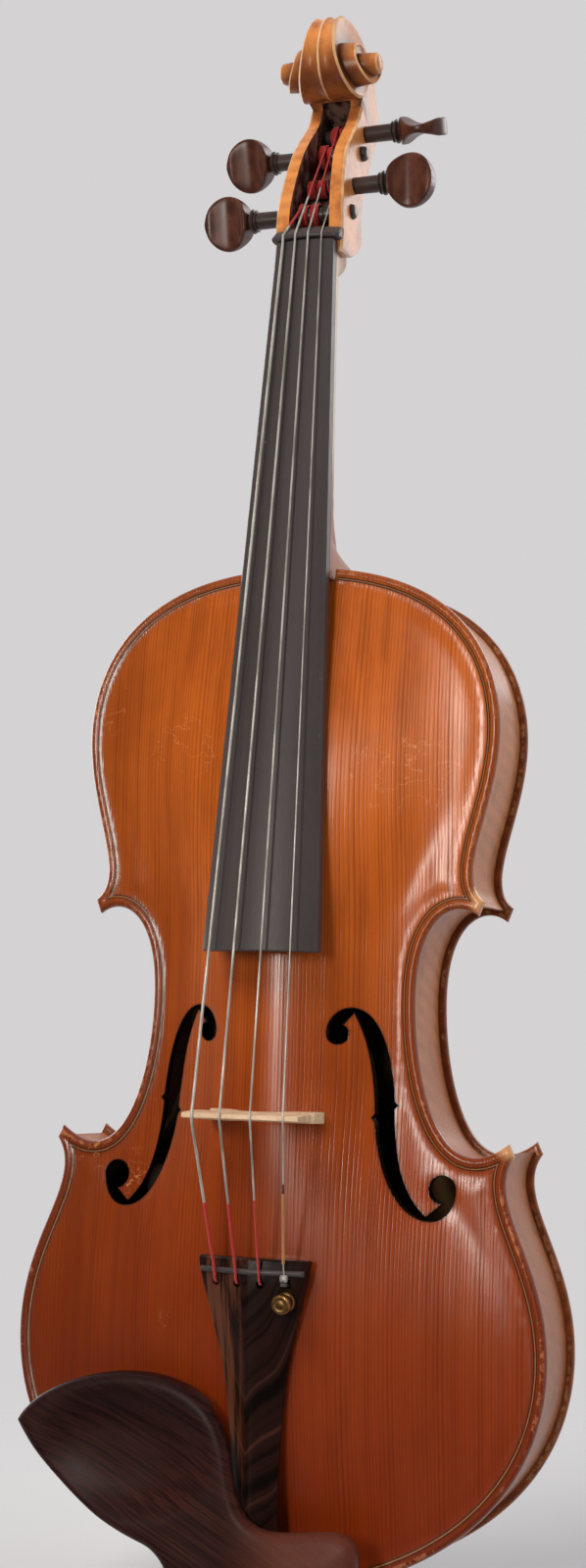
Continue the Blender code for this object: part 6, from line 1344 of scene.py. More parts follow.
def make_neck_and_head():
    head, places, hollow = make_head()
    cutters = [pegbox_cutter()]
    for peg, (y, rise) in enumerate(PEG_AXES):
        side = PEG_SIDES[peg]
        profile = [(side * along, shaft_radius(peg, along) + PEG_GAP) for along in (-0.021, 0.021)]
        cutters.append(turned("bore", profile, 40, "x", (0, y, NUT_Z + rise)))
    for item in [head, *cutters]:
        for material in (NECK_MAPLE, NECK_CHAMFER, PEGBOX_DARK):
            item.data.materials.append(material)
    for cutter in cutters:
        cutter.data.polygons.foreach_set("material_index", [2] * len(cutter.data.polygons))
    neck = make_neck()
    neck.data.materials.append(NECK_MAPLE)
    joined(head, [("UNION", neck)] + [("DIFFERENCE", cutter) for cutter in cutters])
    tree = KDTree(len(places))
    for index, place in enumerate(places):
        tree.insert(place, index)
    tree.balance()
    # The point float named hollow carries painted shade at the foot of the scroll's grooves.
    mark(head, "hollow", [hollow[tree.find(v.co)[1]] if tree.find(v.co)[2] < 2e-4 else 0.0
                          for v in head.data.vertices])
    return lift(head)


head = make_neck_and_head()
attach(head, "instrument")
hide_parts("neck_and_scroll")


# Inside: bent willow linings, spruce blocks, the bass bar and the sound post, all of bare wood.
# The linings widen the ribs' glued edges, and the post is only wedged between belly and back.

def paint_bare(light, dark, pitch):
    def paint(tree, shader, vector):
        grain = use(tree, GRAIN, Vector=vector, Pitch=pitch, Wander=0.003)
        ground = blended(tree, grain["Tone"], light, dark)
        marks = calc(tree, "MAXIMUM", calc(tree, "MULTIPLY", grain["Line"], 0.5),
                     calc(tree, "MULTIPLY", grain["Fibre"], 0.35))
        rough = ramp(tree, grain["Fibre"], 0.2, 0.8, 0.55, 0.78)
        feed(tree, shader, blended(tree, marks, ground, dark), rough, grain["Fibre"], 0.2, 0.0002)
    return paint


INSIDE_WOODS = {
    "lining_willow": finish_material("lining_willow", paint_bare(tint(206, 172, 128), tint(164, 126, 86), 0.0018)),
    "block_spruce": finish_material("block_spruce", paint_bare(tint(210, 178, 134), tint(168, 126, 84), 0.0013)),
    "bar_spruce": finish_material("bar_spruce", paint_bare(tint(216, 184, 140), tint(174, 132, 88), 0.0010)),
}
for part in frame["record"]["subparts"]:
    if part["material_slot"] in INSIDE_WOODS:
        dress([part["node"]], INSIDE_WOODS[part["material_slot"]])


# Fingerboard: one long wedge of ebony, planed round on top, hollowed under its free end and glued on.
# Its arrises are broken, and playing has polished it between the open pores.

BOARD_HOLLOW_FROM, BOARD_HOLLOW_TO, BOARD_HOLLOW = 0.463, 0.475, 0.0042
BOARD_BEVEL, BOARD_ARRIS = 0.0004, 0.0006


def paint_ebony(tree, shader, vector):
    grain = use(tree, GRAIN, Vector=vector, Pitch=0.0007, Wander=0.003)
    pores = ramp(tree, noise(tree, vector, (1900, 1900, 55), 3, 0.6), 0.52, 0.72)
    ground = blended(tree, grain["Tone"], tint(48, 43, 44), tint(80, 71, 70))
    colour = blended(tree, calc(tree, "MULTIPLY", pores, 0.35), ground, tint(88, 72, 66))
    specks = ramp(tree, noise(tree, vector, (560, 560, 300), 4, 0.7), 0.64, 0.74)
    patches = ramp(tree, noise(tree, vector, (40, 40, 14), 2), 0.56, 0.70)
    colour = blended(tree, calc(tree, "MULTIPLY", calc(tree, "MULTIPLY", specks, patches), 0.8), colour,
                     tint(158, 148, 140))
    rough = ramp(tree, grain["Fibre"], 0.2, 0.8, 0.34, 0.5)
    feed(tree, shader, colour, rough, calc(tree, "SUBTRACT", grain["Fibre"], pores), 0.12, 0.0002,
         Specular_IOR_Level=0.35)


EBONY = finish_material("ebony", paint_ebony)


def board_ring(share, depth, bevel):
    z = NUT_Z - share * BOARD_LENGTH
    half, arris = board_half_width(z), board_arris_y(z)
    edge = half - bevel
    under = arris + BOARD_SIDE - bevel
    top = [(x, board_top_y(x, z) + bevel, z) for x in (edge - BOARD_ARRIS) * np.linspace(-1, 1, 31)]
    floor = [(edge * across, under - depth * max(0.0, 1 - (across / 0.88) ** 2) ** 0.7, z)
             for across in np.linspace(1, -1, 25)]
    return [(-edge, arris + BOARD_ARRIS + bevel, z), *top, (edge, arris + BOARD_ARRIS + bevel, z), *floor]


def make_board():
    bevel_share = BOARD_BEVEL / BOARD_LENGTH
    rings = [board_ring(0.0, 0.0, BOARD_BEVEL)]
    rings += [board_ring(share, 0.0, 0.0) for share in (bevel_share, 0.12, 0.24, 0.36, BOARD_HOLLOW_FROM)]
    rings += [board_ring(share, BOARD_HOLLOW, 0.0) for share in (BOARD_HOLLOW_TO, 0.6, 0.8, 1 - bevel_share)]
    rings.append(board_ring(1.0, BOARD_HOLLOW - 2 * BOARD_BEVEL, BOARD_BEVEL))
    return lift(loft("fingerboard_wood", rings, smooth=30))


def finished(item, material, body, slot, *nodes):
    """Give a piece its material and its body, and name the CAD nodes that it stands for; slot is not used."""
    item.data.materials.clear()
    item.data.materials.append(material)
    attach(item, body)
    if nodes:
        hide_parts(*nodes)


finished(make_board(), EBONY, "instrument", "ebony", "fingerboard")


# Nut: an ebony bar across the neck's top, wider than the board, with rounded ends.
# A groove is filed for each string, and its back falls away towards the pegs.

NUT_LENGTH, NUT_HALF_WIDTH, NUT_RISE, NUT_BREAK, NUT_BACK_DROP = 0.0060, 0.0156, 0.0012, 0.0020, 0.0042
NUT_ROUND, NUT_PROUD = 0.0013, 0.0004
STRING_NAMES = ("c", "g", "d", "a")
STRING_RADIUS = (0.00060, 0.00050, 0.00042, 0.00030)
STRING_NUT_SPREAD, STRING_LIFT = 0.0176, 0.0002


def nut_groove(index):
    """A string's x and its height y as it lies in the nut."""
    x = (index / 3 - 0.5) * STRING_NUT_SPREAD
    return x, board_top_y(x, NUT_Z) - NUT_RISE - STRING_RADIUS[index] - STRING_LIFT


def make_nut():
    low, high, crest = NUT_Z + SEAT_GAP, NUT_Z + NUT_LENGTH, NUT_Z + NUT_BREAK
    floor = neck_front_y(NUT_Z + NUT_LENGTH / 2) - 0.0006
    stations = set(np.round(np.linspace(-NUT_HALF_WIDTH, NUT_HALF_WIDTH, 61), 6))
    for index in range(4):
        stations.update(np.round(nut_groove(index)[0] + 1.1 * STRING_RADIUS[index] * np.linspace(-1, 1, 9), 6))
    for edge in (-1, 1):
        stations.update(np.round(edge * (NUT_HALF_WIDTH - NUT_ROUND * np.linspace(0, 1, 6) ** 2), 6))
    rings = []
    for x in sorted(stations):
        fall = np.interp(abs(x), (0.55 * NUT_HALF_WIDTH, NUT_HALF_WIDTH), (1.0, 0.2))
        top = board_top_y(min(abs(x), BOARD_HALF_WIDTH_NUT), NUT_Z) - NUT_RISE * fall - NUT_PROUD * fall
        for index in range(4):
            groove_x, groove_y = nut_groove(index)
            radius = 1.05 * STRING_RADIUS[index]
            if abs(x - groove_x) < radius:
                top = max(top, groove_y + math.sqrt(radius ** 2 - (x - groove_x) ** 2))
        near_end = max(0.0, 1 - (NUT_HALF_WIDTH - abs(x)) / NUT_ROUND)
        less = 0.0010 * (1 - math.sqrt(1 - near_end ** 2))
        rings.append([(x, floor, low + less), (x, top + 0.0010 + less, low + less), (x, top + 0.0003 + less, low + less + 0.0003),
                      (x, top + less, low + 0.0009 + less), (x, top + less, crest - 0.0004),
                      (x, top + less + 0.0002, crest + 0.0004), (x, top + less + 0.0010, crest + 0.0010),
                      (x, top + less + NUT_BACK_DROP, high - less), (x, floor, high - less)])
    return lift(loft("nut_bar", rings, smooth=35))


finished(make_nut(), EBONY, "instrument", "ebony", "nut")


# Pegs: four turned rosewood pegs in tapered holes through both cheeks, each with a double collar.
# The flat round head is hollowed on both faces, so that it is thin in the middle and thick at the rim.

PEG_NAMES = ("c", "a", "g", "d")
PEG_TURNS = (12.0, 4.0, 18.0, 112.0)
PEG_COLLAR_RADIUS, PEG_COLLAR_WIDTH = 0.0055, 0.0040
PEG_COLLAR_PROFILE = (
    (0.0, 0.78), (0.03, 0.85), (0.12, 0.90), (0.22, 0.86), (0.28, 0.76), (0.36, 0.76), (0.41, 0.90),
    (0.48, 0.97), (0.58, 1.0), (0.68, 0.98), (0.78, 0.88), (0.85, 0.72), (1.0, 0.64),
)
PEG_HEAD_LENGTH, PEG_HEAD_HALF_WIDTH, PEG_HEAD_NECK_HALF_WIDTH = 0.0210, 0.0124, 0.0042
PEG_HEAD_HALF_THICKNESS = (
    (0.0, 0.0045), (0.05, 0.0062), (0.12, 0.0056), (0.25, 0.0034), (0.42, 0.0021), (0.56, 0.0021),
    (0.76, 0.0031), (0.90, 0.0040), (1.0, 0.0036),
)
PEG_SEGMENTS, PEG_SQUARENESS = 56, 6.0


def paint_peg(tree, shader, vector):
    figure = noise(tree, vector, (120, 420, 90), 4, 0.55)
    pores = ramp(tree, noise(tree, vector, (2400, 2400, 120), 2, 0.6), 0.60, 0.74)
    wood = blended(tree, ramp(tree, figure, 0.35, 0.68), tint(66, 34, 24), tint(92, 52, 38))
    shaft = blended(tree, figure, tint(46, 36, 34), tint(74, 62, 58))
    colour = blended(tree, value_of(tree, "head"), shaft, wood)
    colour = blended(tree, calc(tree, "MULTIPLY", pores, 0.3), colour, tint(36, 18, 15))
    feed(tree, shader, colour, ramp(tree, figure, 0.3, 0.7, 0.31, 0.36), pores, 0.03, 0.0001,
         Specular_IOR_Level=0.4)


ROSEWOOD_PEG = finish_material("rosewood_peg", paint_peg)


def make_peg(peg):
    angles = np.arange(PEG_SEGMENTS) * 2 * math.pi / PEG_SEGMENTS
    side, collar, tip, small = PEG_SIDES[peg], PEG_COLLAR_X[peg], -PEG_TIP_X[peg], PEG_TIP_SHAFT_RADIUS
    rows = [(tip, 0.40 * small), (tip + 0.0002, 0.70 * small), (tip + 0.0007, 0.90 * small), (tip + 0.0016, small),
            (collar, PEG_COLLAR_SHAFT_RADIUS)]
    rows += [(collar + share * PEG_COLLAR_WIDTH, size * PEG_COLLAR_RADIUS) for share, size in PEG_COLLAR_PROFILE]
    rings = [[(side * along, radius * math.cos(a), radius * math.sin(a)) for a in angles] for along, radius in rows]
    thickness = through(PEG_HEAD_HALF_THICKNESS, 6).T
    power = 2 / PEG_SQUARENESS
    for turn in np.linspace(0.30, 3.06, 38):
        share, wide = (1 - math.cos(turn)) / 2, PEG_HEAD_HALF_WIDTH * math.sin(turn)
        if share < 0.5:
            wide = max(wide, PEG_HEAD_NECK_HALF_WIDTH)
        thick = np.interp(share, *thickness)
        along = side * (collar + PEG_COLLAR_WIDTH + share * PEG_HEAD_LENGTH)
        rings.append([(along, thick * np.sign(math.cos(a)) * abs(math.cos(a)) ** power,
                       wide * np.sign(math.sin(a)) * abs(math.sin(a)) ** power) for a in angles])
    item = loft(f"peg_{PEG_NAMES[peg]}_wood", rings, smooth=32)
    mark(item, "head", [v.co.x * side > collar + PEG_COLLAR_WIDTH for v in item.data.vertices])
    y, rise = PEG_AXES[peg]
    item.data.transform(Matrix.Translation((0, y, NUT_Z + rise))
                        @ Matrix.Rotation(math.radians(PEG_TURNS[peg]), 4, "X"))
    return lift(item)


for peg, name in enumerate(PEG_NAMES):
    finished(make_peg(peg), ROSEWOOD_PEG, f"peg_{name}", "rosewood", f"peg_{name}")


# Tail: an ebony saddle let into the belly's edge, and an ebony end button in a hole through the end block.
# A gut loop from under the tailpiece runs over the saddle and round the button.

SADDLE_RISE, SADDLE_LOW_Z = 0.0050, 0.0004
SADDLE_TOP_Y = -(HALF_RIB + EDGE_THICKNESS + SADDLE_RISE)
END_BUTTON_RADIUS, END_BUTTON_SHANK_RADIUS, END_BUTTON_SHANK = 0.0075, 0.0040, 0.0200
TAIL_GUT_RADIUS, TAIL_GUT_HALF_SPREAD, GUT_CLEARANCE = 0.0011, 0.0045, 0.0001
END_BUTTON_PROFILE = (
    (0.0, 0.05), (0.0001, 0.55), (0.0003, 0.70), (0.0012, 0.90), (0.0022, 0.98), (0.0030, 1.0), (0.0042, 0.98),
    (0.0055, 0.92), (0.0066, 0.80), (0.0075, 0.70), (0.0085, 0.63), (0.0095, 0.62),
)
TAILPIECE_BOW = 0.0004
TAILPIECE_STATIONS = (
    (0.0060, 0.0104, -0.0360, -0.0376, -0.0418), (0.0350, 0.0096, -0.0362, -0.0378, -0.0430),
    (0.0630, 0.0108, -0.0372, -0.0390, -0.0446), (0.0850, 0.0135, -0.0384, -0.0410, -0.0470),
    (0.1050, 0.0180, -0.0399, -0.0436, -0.0495), (0.1190, 0.0217, -0.0410, -0.0455, -0.0508),
    (0.1275, 0.0234, -0.0415, -0.0460, -0.0505),
)


def tailpiece_row(z):
    """Half width, lower arris, upper arris and ridge of the tailpiece at one height."""
    heights = [row[0] for row in TAILPIECE_STATIONS]
    return [float(np.interp(z, heights, [row[k] for row in TAILPIECE_STATIONS])) for k in range(1, 5)]


def tailpiece_top_y(x, z):
    half, _, arris, ridge = tailpiece_row(z)
    across = min(1.0, abs(x) / half)
    return ridge + (arris - ridge) * across - TAILPIECE_BOW * (1 - abs(2 * across - 1))


def make_cord_tree():
    """A round cord along a curve; along and around say where each point of its surface is."""
    tree = bpy.data.node_groups.new("cord", "GeometryNodeTree")
    for label, kind in (("Path", "Geometry"), ("Radius", "Float"), ("Sides", "Int"), ("Finish", "Material")):
        tree.interface.new_socket(label, in_out="INPUT", socket_type="NodeSocket" + kind)
    tree.interface.new_socket("Cord", in_out="OUTPUT", socket_type="NodeSocketGeometry")
    given, result = tree.nodes.new("NodeGroupInput").outputs, tree.nodes.new("NodeGroupOutput").inputs

    def step(kind, links, **settings):
        made = tree.nodes.new("GeometryNode" + kind)
        for key, value in settings.items():
            setattr(made, key, value)
        for key, socket in links.items():
            if isinstance(socket, bpy.types.NodeSocket):
                tree.links.new(socket, made.inputs[key])
            else:
                made.inputs[key].default_value = socket
        return made.outputs

    place = step("SplineParameter", {})
    path = step("StoreNamedAttribute", {"Geometry": given["Path"], "Name": "along", "Value": place["Length"]})[0]
    profile = step("CurvePrimitiveCircle", {"Resolution": given["Sides"], "Radius": given["Radius"]})[0]
    profile = step("StoreNamedAttribute", {"Geometry": profile, "Name": "around", "Value": place["Factor"]})[0]
    swept = step("CurveToMesh", {"Curve": path, "Profile Curve": profile, "Fill Caps": True})[0]
    whole = step("RealizeInstances", {"Geometry": swept})[0]
    tree.links.new(step("SetMaterial", {"Geometry": whole, "Material": given["Finish"]})[0], result["Cord"])
    return tree


CORD = make_cord_tree()


def cord(name, path, radius, material, sides=12):
    """A linked mesh tube along a path, without its modifier."""
    line = bpy.data.curves.new(name, "CURVE")
    line.dimensions = "3D"
    spline = line.splines.new("POLY")
    spline.points.add(len(path) - 1)
    for point, at in zip(spline.points, path):
        point.co = (*at, 1)
    holder = bpy.data.objects.new(name, line)
    SCENE.collection.objects.link(holder)
    change = holder.modifiers.new("cord", "NODES")
    change.node_group = CORD
    values = {"Radius": radius, "Sides": sides, "Finish": material}
    for item in CORD.interface.items_tree:
        if item.in_out == "INPUT" and item.name in values:
            change[item.identifier] = values[item.name]
    bpy.context.view_layer.update()
    mesh = bpy.data.meshes.new_from_object(holder.evaluated_get(bpy.context.evaluated_depsgraph_get()))
    bpy.data.objects.remove(holder, do_unlink=True)
    work = bmesh.new()
    work.from_mesh(mesh)
    bmesh.ops.recalc_face_normals(work, faces=work.faces)
    work.to_mesh(mesh)
    work.free()
    mesh.shade_smooth()
    mesh.set_sharp_from_angle(angle=math.radians(50))
    item = bpy.data.objects.new(name, mesh)
    SCENE.collection.objects.link(item)
    return item


def spun(tree, pitch, lean):
    """A wave that follows a thread spun round a cord."""
    turns = calc(tree, "ADD", calc(tree, "DIVIDE", value_of(tree, "along"), pitch),
                 calc(tree, "MULTIPLY", value_of(tree, "around"), lean))
    return calc(tree, "SINE", calc(tree, "MULTIPLY", turns, 2 * math.pi))


def make_saddle():
    rings = []
    for across in np.linspace(-1, 1, 41):
        front = SADDLE_TOP_Y + SADDLE_RISE * np.interp(abs(across), (0.30, 0.6, 1.0), (0.0, 0.15, 0.70))
        front += 0.0004 * max(0.0, (abs(across) - 0.95) / 0.05)
        profile = ((0.0020, SADDLE_LOW_Z), (0.0006, SADDLE_LOW_Z + 0.0008), (0.0001, SADDLE_LOW_Z + 0.0016),
                   (0.0, SADDLE_LOW_Z + 0.0026), (0.0002, SADDLE_DEPTH - 0.0022), (0.0008, SADDLE_DEPTH - 0.0010),
                   (0.0022, SADDLE_DEPTH))
        x = SADDLE_HALF * across
        rings.append([(x, -HALF_RIB, SADDLE_LOW_Z), *[(x, front + down, z) for down, z in profile],
                      (x, -HALF_RIB, SADDLE_DEPTH)])
    return lift(loft("saddle_bar", rings, smooth=35))


def make_end_button():
    face, rib_z = -BODY_Z, EDGE_OVERHANG - SEAT_GAP
    profile = [(face + along, size * END_BUTTON_RADIUS) for along, size in END_BUTTON_PROFILE]
    profile += [(rib_z - 0.0030, 0.78 * END_BUTTON_RADIUS), (rib_z - 0.0010, 0.86 * END_BUTTON_RADIUS),
                (rib_z, 0.88 * END_BUTTON_RADIUS), (rib_z, END_BUTTON_SHANK_RADIUS),
                (EDGE_OVERHANG + END_BUTTON_SHANK, 0.88 * END_BUTTON_SHANK_RADIUS)]
    return lift(turned("end_button_wood", profile, 64, "z", smooth=30))


def paint_gut(tree, shader, vector):
    grime = noise(tree, vector, (700, 700, 700), 3)
    feed(tree, shader, blended(tree, grime, tint(24, 20, 19), tint(46, 40, 37)),
         ramp(tree, grime, 0.3, 0.7, 0.3, 0.46), spun(tree, 0.0012, 1.0), 0.15, 0.0001)


def make_tail_gut():
    gut_y = tailpiece_row(0.006)[1] + TAIL_GUT_RADIUS + 0.0004
    over_y = SADDLE_TOP_Y - TAIL_GUT_RADIUS - GUT_CLEARANCE
    past_z = SADDLE_LOW_Z - TAIL_GUT_RADIUS - GUT_CLEARANCE
    loop = 0.70 * END_BUTTON_RADIUS + TAIL_GUT_RADIUS + SEAT_GAP
    spread = TAIL_GUT_HALF_SPREAD
    down = [(spread, gut_y, 0.0230), (spread, gut_y, 0.0090), (spread, over_y - 0.0006, 0.0044),
            (spread, over_y + 0.0002, 0.0020), (spread, over_y + 0.0014, past_z + 0.0010),
            (spread, over_y + 0.0034, past_z), (spread, -0.0200, past_z - 0.0006)]
    around = [(loop * math.cos(turn), loop * math.sin(turn), 0.0085 - BODY_Z)
              for turn in np.radians(np.linspace(-25, 205, 16))]
    path = through(down + around + [(-x, y, z) for x, y, z in down[::-1]], 4)
    return lift(cord("gut_loop", path, TAIL_GUT_RADIUS, finish_material("tail_gut", paint_gut), 16))


finished(make_saddle(), EBONY, "instrument", "ebony", "saddle")
finished(make_end_button(), EBONY, "instrument", "ebony", "end_button")
gut = make_tail_gut()
finished(gut, gut.data.materials[0], "instrument", "tail_gut", "tail_gut")


# Tailpiece: rosewood, carved to a ridge down its middle, with three keyhole slots for the strings' ends.
# An ebony fret is let into it just above the slots, and the fine tuner has a seat of its own.

STRING_BRIDGE_SPREAD, STRING_TAIL_SPREAD = 0.0382, 0.0292
FRET_Z, FRET_LENGTH, FRET_RISE = 0.1225, 0.0022, 0.0012
STRING_SLOT_Z = 0.1180
TUNER_MATRIX = Matrix.Translation((0.0146, -0.0463, 0.1120)) @ Matrix.Rotation(math.radians(7.7), 4, "X")
TUNER_HOOK_Y, TUNER_HOOK_Z = -0.0022, 0.0067
STRING_SLOT_RADIUS, STRING_SLIT_HALF, STRING_SLIT_STEP = 0.0016, 0.00055, 0.0001
TAILPIECE_ROUND = 0.0007
TUNER_COLLAR_RADIUS, TUNER_COLLAR_HEIGHT, TUNER_STEM_RADIUS = 0.0039, 0.0020, 0.0021
TUNER_PLATE_Y, TUNER_PLATE_THICKNESS, TUNER_PLATE_HALF = 0.0023, 0.0007, 0.0030
TUNER_EAR_X, TUNER_LEVER_HALF_WIDTH, TUNER_HOOK_SWING = 0.0025, 0.0014, 0.0017


def paint_rosewood(tree, shader, vector):
    axes = node(tree, "SeparateXYZ", {0: vector}).outputs
    spread = calc(tree, "MULTIPLY", calc(tree, "ABSOLUTE", calc(tree, "ADD", axes[0], 0.002)), -1.5)
    bend = calc(tree, "MULTIPLY", calc(tree, "SUBTRACT", noise(tree, vector, (34, 34, 12), 1), 0.5), 0.035)
    along = calc(tree, "ADD", calc(tree, "ADD", axes[2], spread), bend)
    bands = noise(tree, node(tree, "CombineXYZ", {0: along}).outputs[0], (130, 1, 1), 3, 0.5)
    fine = node(tree, "CombineXYZ", {0: along, 1: calc(tree, "MULTIPLY", axes[0], 0.12)}).outputs[0]
    pores = ramp(tree, noise(tree, fine, (2400, 2400, 1), 2, 0.6), 0.55, 0.70)
    colour = blended(tree, ramp(tree, bands, 0.40, 0.54), tint(14, 6, 5), tint(36, 16, 11))
    colour = blended(tree, calc(tree, "MULTIPLY", ramp(tree, bands, 0.58, 0.70), 0.55), colour, tint(96, 50, 30))
    # Lighter streaks on the left slope: painted light on the side that faces the key light.
    edge = noise(tree, vector, (330, 60, 16), 3, 0.5)
    left = calc(tree, "MULTIPLY", ramp(tree, axes[0], -0.001, -0.007), ramp(tree, edge, 0.44, 0.58))
    colour = blended(tree, calc(tree, "MULTIPLY", left, 0.7), colour, tint(104, 58, 36))
    colour = blended(tree, calc(tree, "MULTIPLY", pores, 0.35), colour, tint(14, 7, 6))
    feed(tree, shader, colour, ramp(tree, bands, 0.3, 0.7, 0.30, 0.42), calc(tree, "SUBTRACT", bands, pores),
         0.1, 0.0002, Specular_IOR_Level=0.25)


def block(name, low, high):
    """A square-edged cutter between two corners."""
    (x0, y0, z0), (x1, y1, z1) = low, high
    return loft(name, [[(x0, y0, z), (x1, y0, z), (x1, y1, z), (x0, y1, z)] for z in (z0, z1)])


def on_tuner_seat(item):
    """A piece drawn square to the fine tuner, turned and moved to its place in the tailpiece."""
    item.data.transform(TUNER_MATRIX)
    return item


def tuner_cutters():
    ear, low, high = TUNER_EAR_X + SEAT_GAP, -TUNER_PLATE_HALF - SEAT_GAP, TUNER_HOOK_Z + 0.0018
    seat, bore = TUNER_COLLAR_RADIUS + SEAT_GAP, TUNER_STEM_RADIUS + SEAT_GAP
    slot = TUNER_LEVER_HALF_WIDTH + 2 * SEAT_GAP
    return [on_tuner_seat(item) for item in (
        turned("seat", [(-0.006, seat), (SEAT_GAP, seat)], 48, "y"),
        turned("bore", [(-0.001, bore), (0.004, bore)], 32, "y"),
        block("recess", (-ear, TUNER_PLATE_Y - SEAT_GAP, low), (ear, 0.010, high)),
        block("hook_slot", (-slot, -0.006, TUNER_HOOK_Z - TUNER_HOOK_SWING), (slot, 0.004, high)))]


def tailpiece_ring(row, end):
    """A section of the tailpiece; at its two ends the edges are rounded over."""
    z, half, low, arris, ridge = row
    soft = min(TAILPIECE_ROUND, 0.25 * (low - arris))
    less = soft if end else 0.0
    half, low, arris, ridge = half - less, low - less, arris + less, ridge + less
    slope = (arris + ridge) / 2 - TAILPIECE_BOW
    side = [(half, low), (half, arris + soft), (half - 0.3 * soft, arris + 0.3 * soft), (half - soft, arris),
            (0.75 * half, 0.5 * (arris + slope) - 0.0001), (0.50 * half, slope),
            (0.25 * half, 0.5 * (slope + ridge) - 0.0001), (0.0006, ridge + 0.0001)]
    return [(-x, y, z) for x, y in side] + [(0, ridge, z)] + [(x, y, z) for x, y in side[::-1]]


def make_tailpiece():
    stations = through(TAILPIECE_STATIONS, 6)
    first, last = stations[0].copy(), stations[-1].copy()
    first[0] += TAILPIECE_ROUND
    last[0] -= TAILPIECE_ROUND
    rings = [tailpiece_ring(stations[0], True), tailpiece_ring(first, False)]
    rings += [tailpiece_ring(row, False) for row in stations[1:-1]]
    rings += [tailpiece_ring(last, False), tailpiece_ring(stations[-1], True)]
    steps = []
    for index in range(3):
        x = (index / 3 - 0.5) * STRING_TAIL_SPREAD
        slit = STRING_SLIT_HALF + STRING_SLIT_STEP * (3 - index)
        eye = turned("eye", [(-0.056, STRING_SLOT_RADIUS), (-0.036, STRING_SLOT_RADIUS)], 32, "y",
                     (x, 0, STRING_SLOT_Z))
        steps += [("DIFFERENCE", eye), ("DIFFERENCE", block("slit", (x - slit, -0.056, STRING_SLOT_Z),
                                                            (x + slit, -0.036, FRET_Z - 0.0018)))]
    steps += [("DIFFERENCE", cutter) for cutter in tuner_cutters()]
    return lift(joined(loft("tailpiece_wood", rings), steps, 28))


def make_fret():
    rings = []
    for across in np.linspace(-1, 1, 49):
        x = across * (tailpiece_row(FRET_Z)[0] - 0.0006)
        base = tailpiece_top_y(x, FRET_Z)
        fall = 0.0005 * max(0.0, (abs(across) - 0.96) / 0.04) ** 2
        ring = [(x, base + 0.0006, FRET_Z - FRET_LENGTH / 2)]
        for turn in np.radians(np.linspace(0, 180, 11)):
            rise = 0.0001 + (FRET_RISE - fall) * abs(math.sin(turn)) ** 0.7
            ring.append((x, base - rise, FRET_Z - FRET_LENGTH / 2 * math.cos(turn)))
        rings.append([*ring, (x, base + 0.0006, FRET_Z + FRET_LENGTH / 2)])
    return lift(loft("fret_bar", rings))


finished(make_tailpiece(), finish_material("tail_rosewood", paint_rosewood), "instrument", "tail_rosewood", "tailpiece")
finished(make_fret(), EBONY, "instrument", "ebony", "tailpiece_fret")


# Fine tuner: a brass collar and ears let into the tailpiece, a steel screw under a knurled brass knob,
# and a steel lever on a pin between the ears, whose hook holds the top string's ball.

TUNER_SCREW_RADIUS, TUNER_KNOB_RADIUS, TUNER_KNOB_HEIGHT, TUNER_KNOB_LIFT = 0.0012, 0.0040, 0.0034, 0.0032
TUNER_PIVOT_Y, TUNER_PIVOT_Z, TUNER_PIN_RADIUS = 0.0042, 0.0045, 0.00055
KNURLS, KNURL_DEPTH = 36, 0.05
KNOB_PROFILE = (
    (0.0, 0.80), (0.04, 0.88), (0.10, 0.95), (0.16, 0.985), (0.78, 0.985), (0.86, 0.96), (0.94, 0.88), (0.98, 0.78),
    (1.0, 0.66), (0.97, 0.60), (0.97, 0.34), (1.0, 0.28), (1.0, 0.02),
)
COLLAR_PROFILE = ((1.0, 0.80), (0.96, 0.88), (0.86, 0.96), (0.72, 1.0), (0.30, 1.0), (0.0, 1.0))


def metal_paint(bright, dull, low, high, wear):
    def paint(tree, shader, vector):
        patches = noise(tree, vector, (340, 340, 340), 4, 0.6)
        scratches = noise(tree, vector, (3400, 500, 3400), 2, 0.5)
        tarnish = calc(tree, "MULTIPLY", ramp(tree, patches, 0.38, 0.66), wear)
        rough = calc(tree, "ADD", ramp(tree, patches, 0.3, 0.7, low, high),
                     calc(tree, "MULTIPLY", scratches, 0.08))
        feed(tree, shader, blended(tree, tarnish, bright, dull), rough, scratches, 0.06, 0.0001, Metallic=1.0)
    return paint


BRASS = finish_material("aged_brass", metal_paint(tint(192, 152, 98), tint(118, 84, 50), 0.28, 0.46, 1.0))
STEEL = finish_material("tuner_steel", metal_paint(tint(206, 203, 198), tint(150, 144, 136), 0.2, 0.36, 0.6))


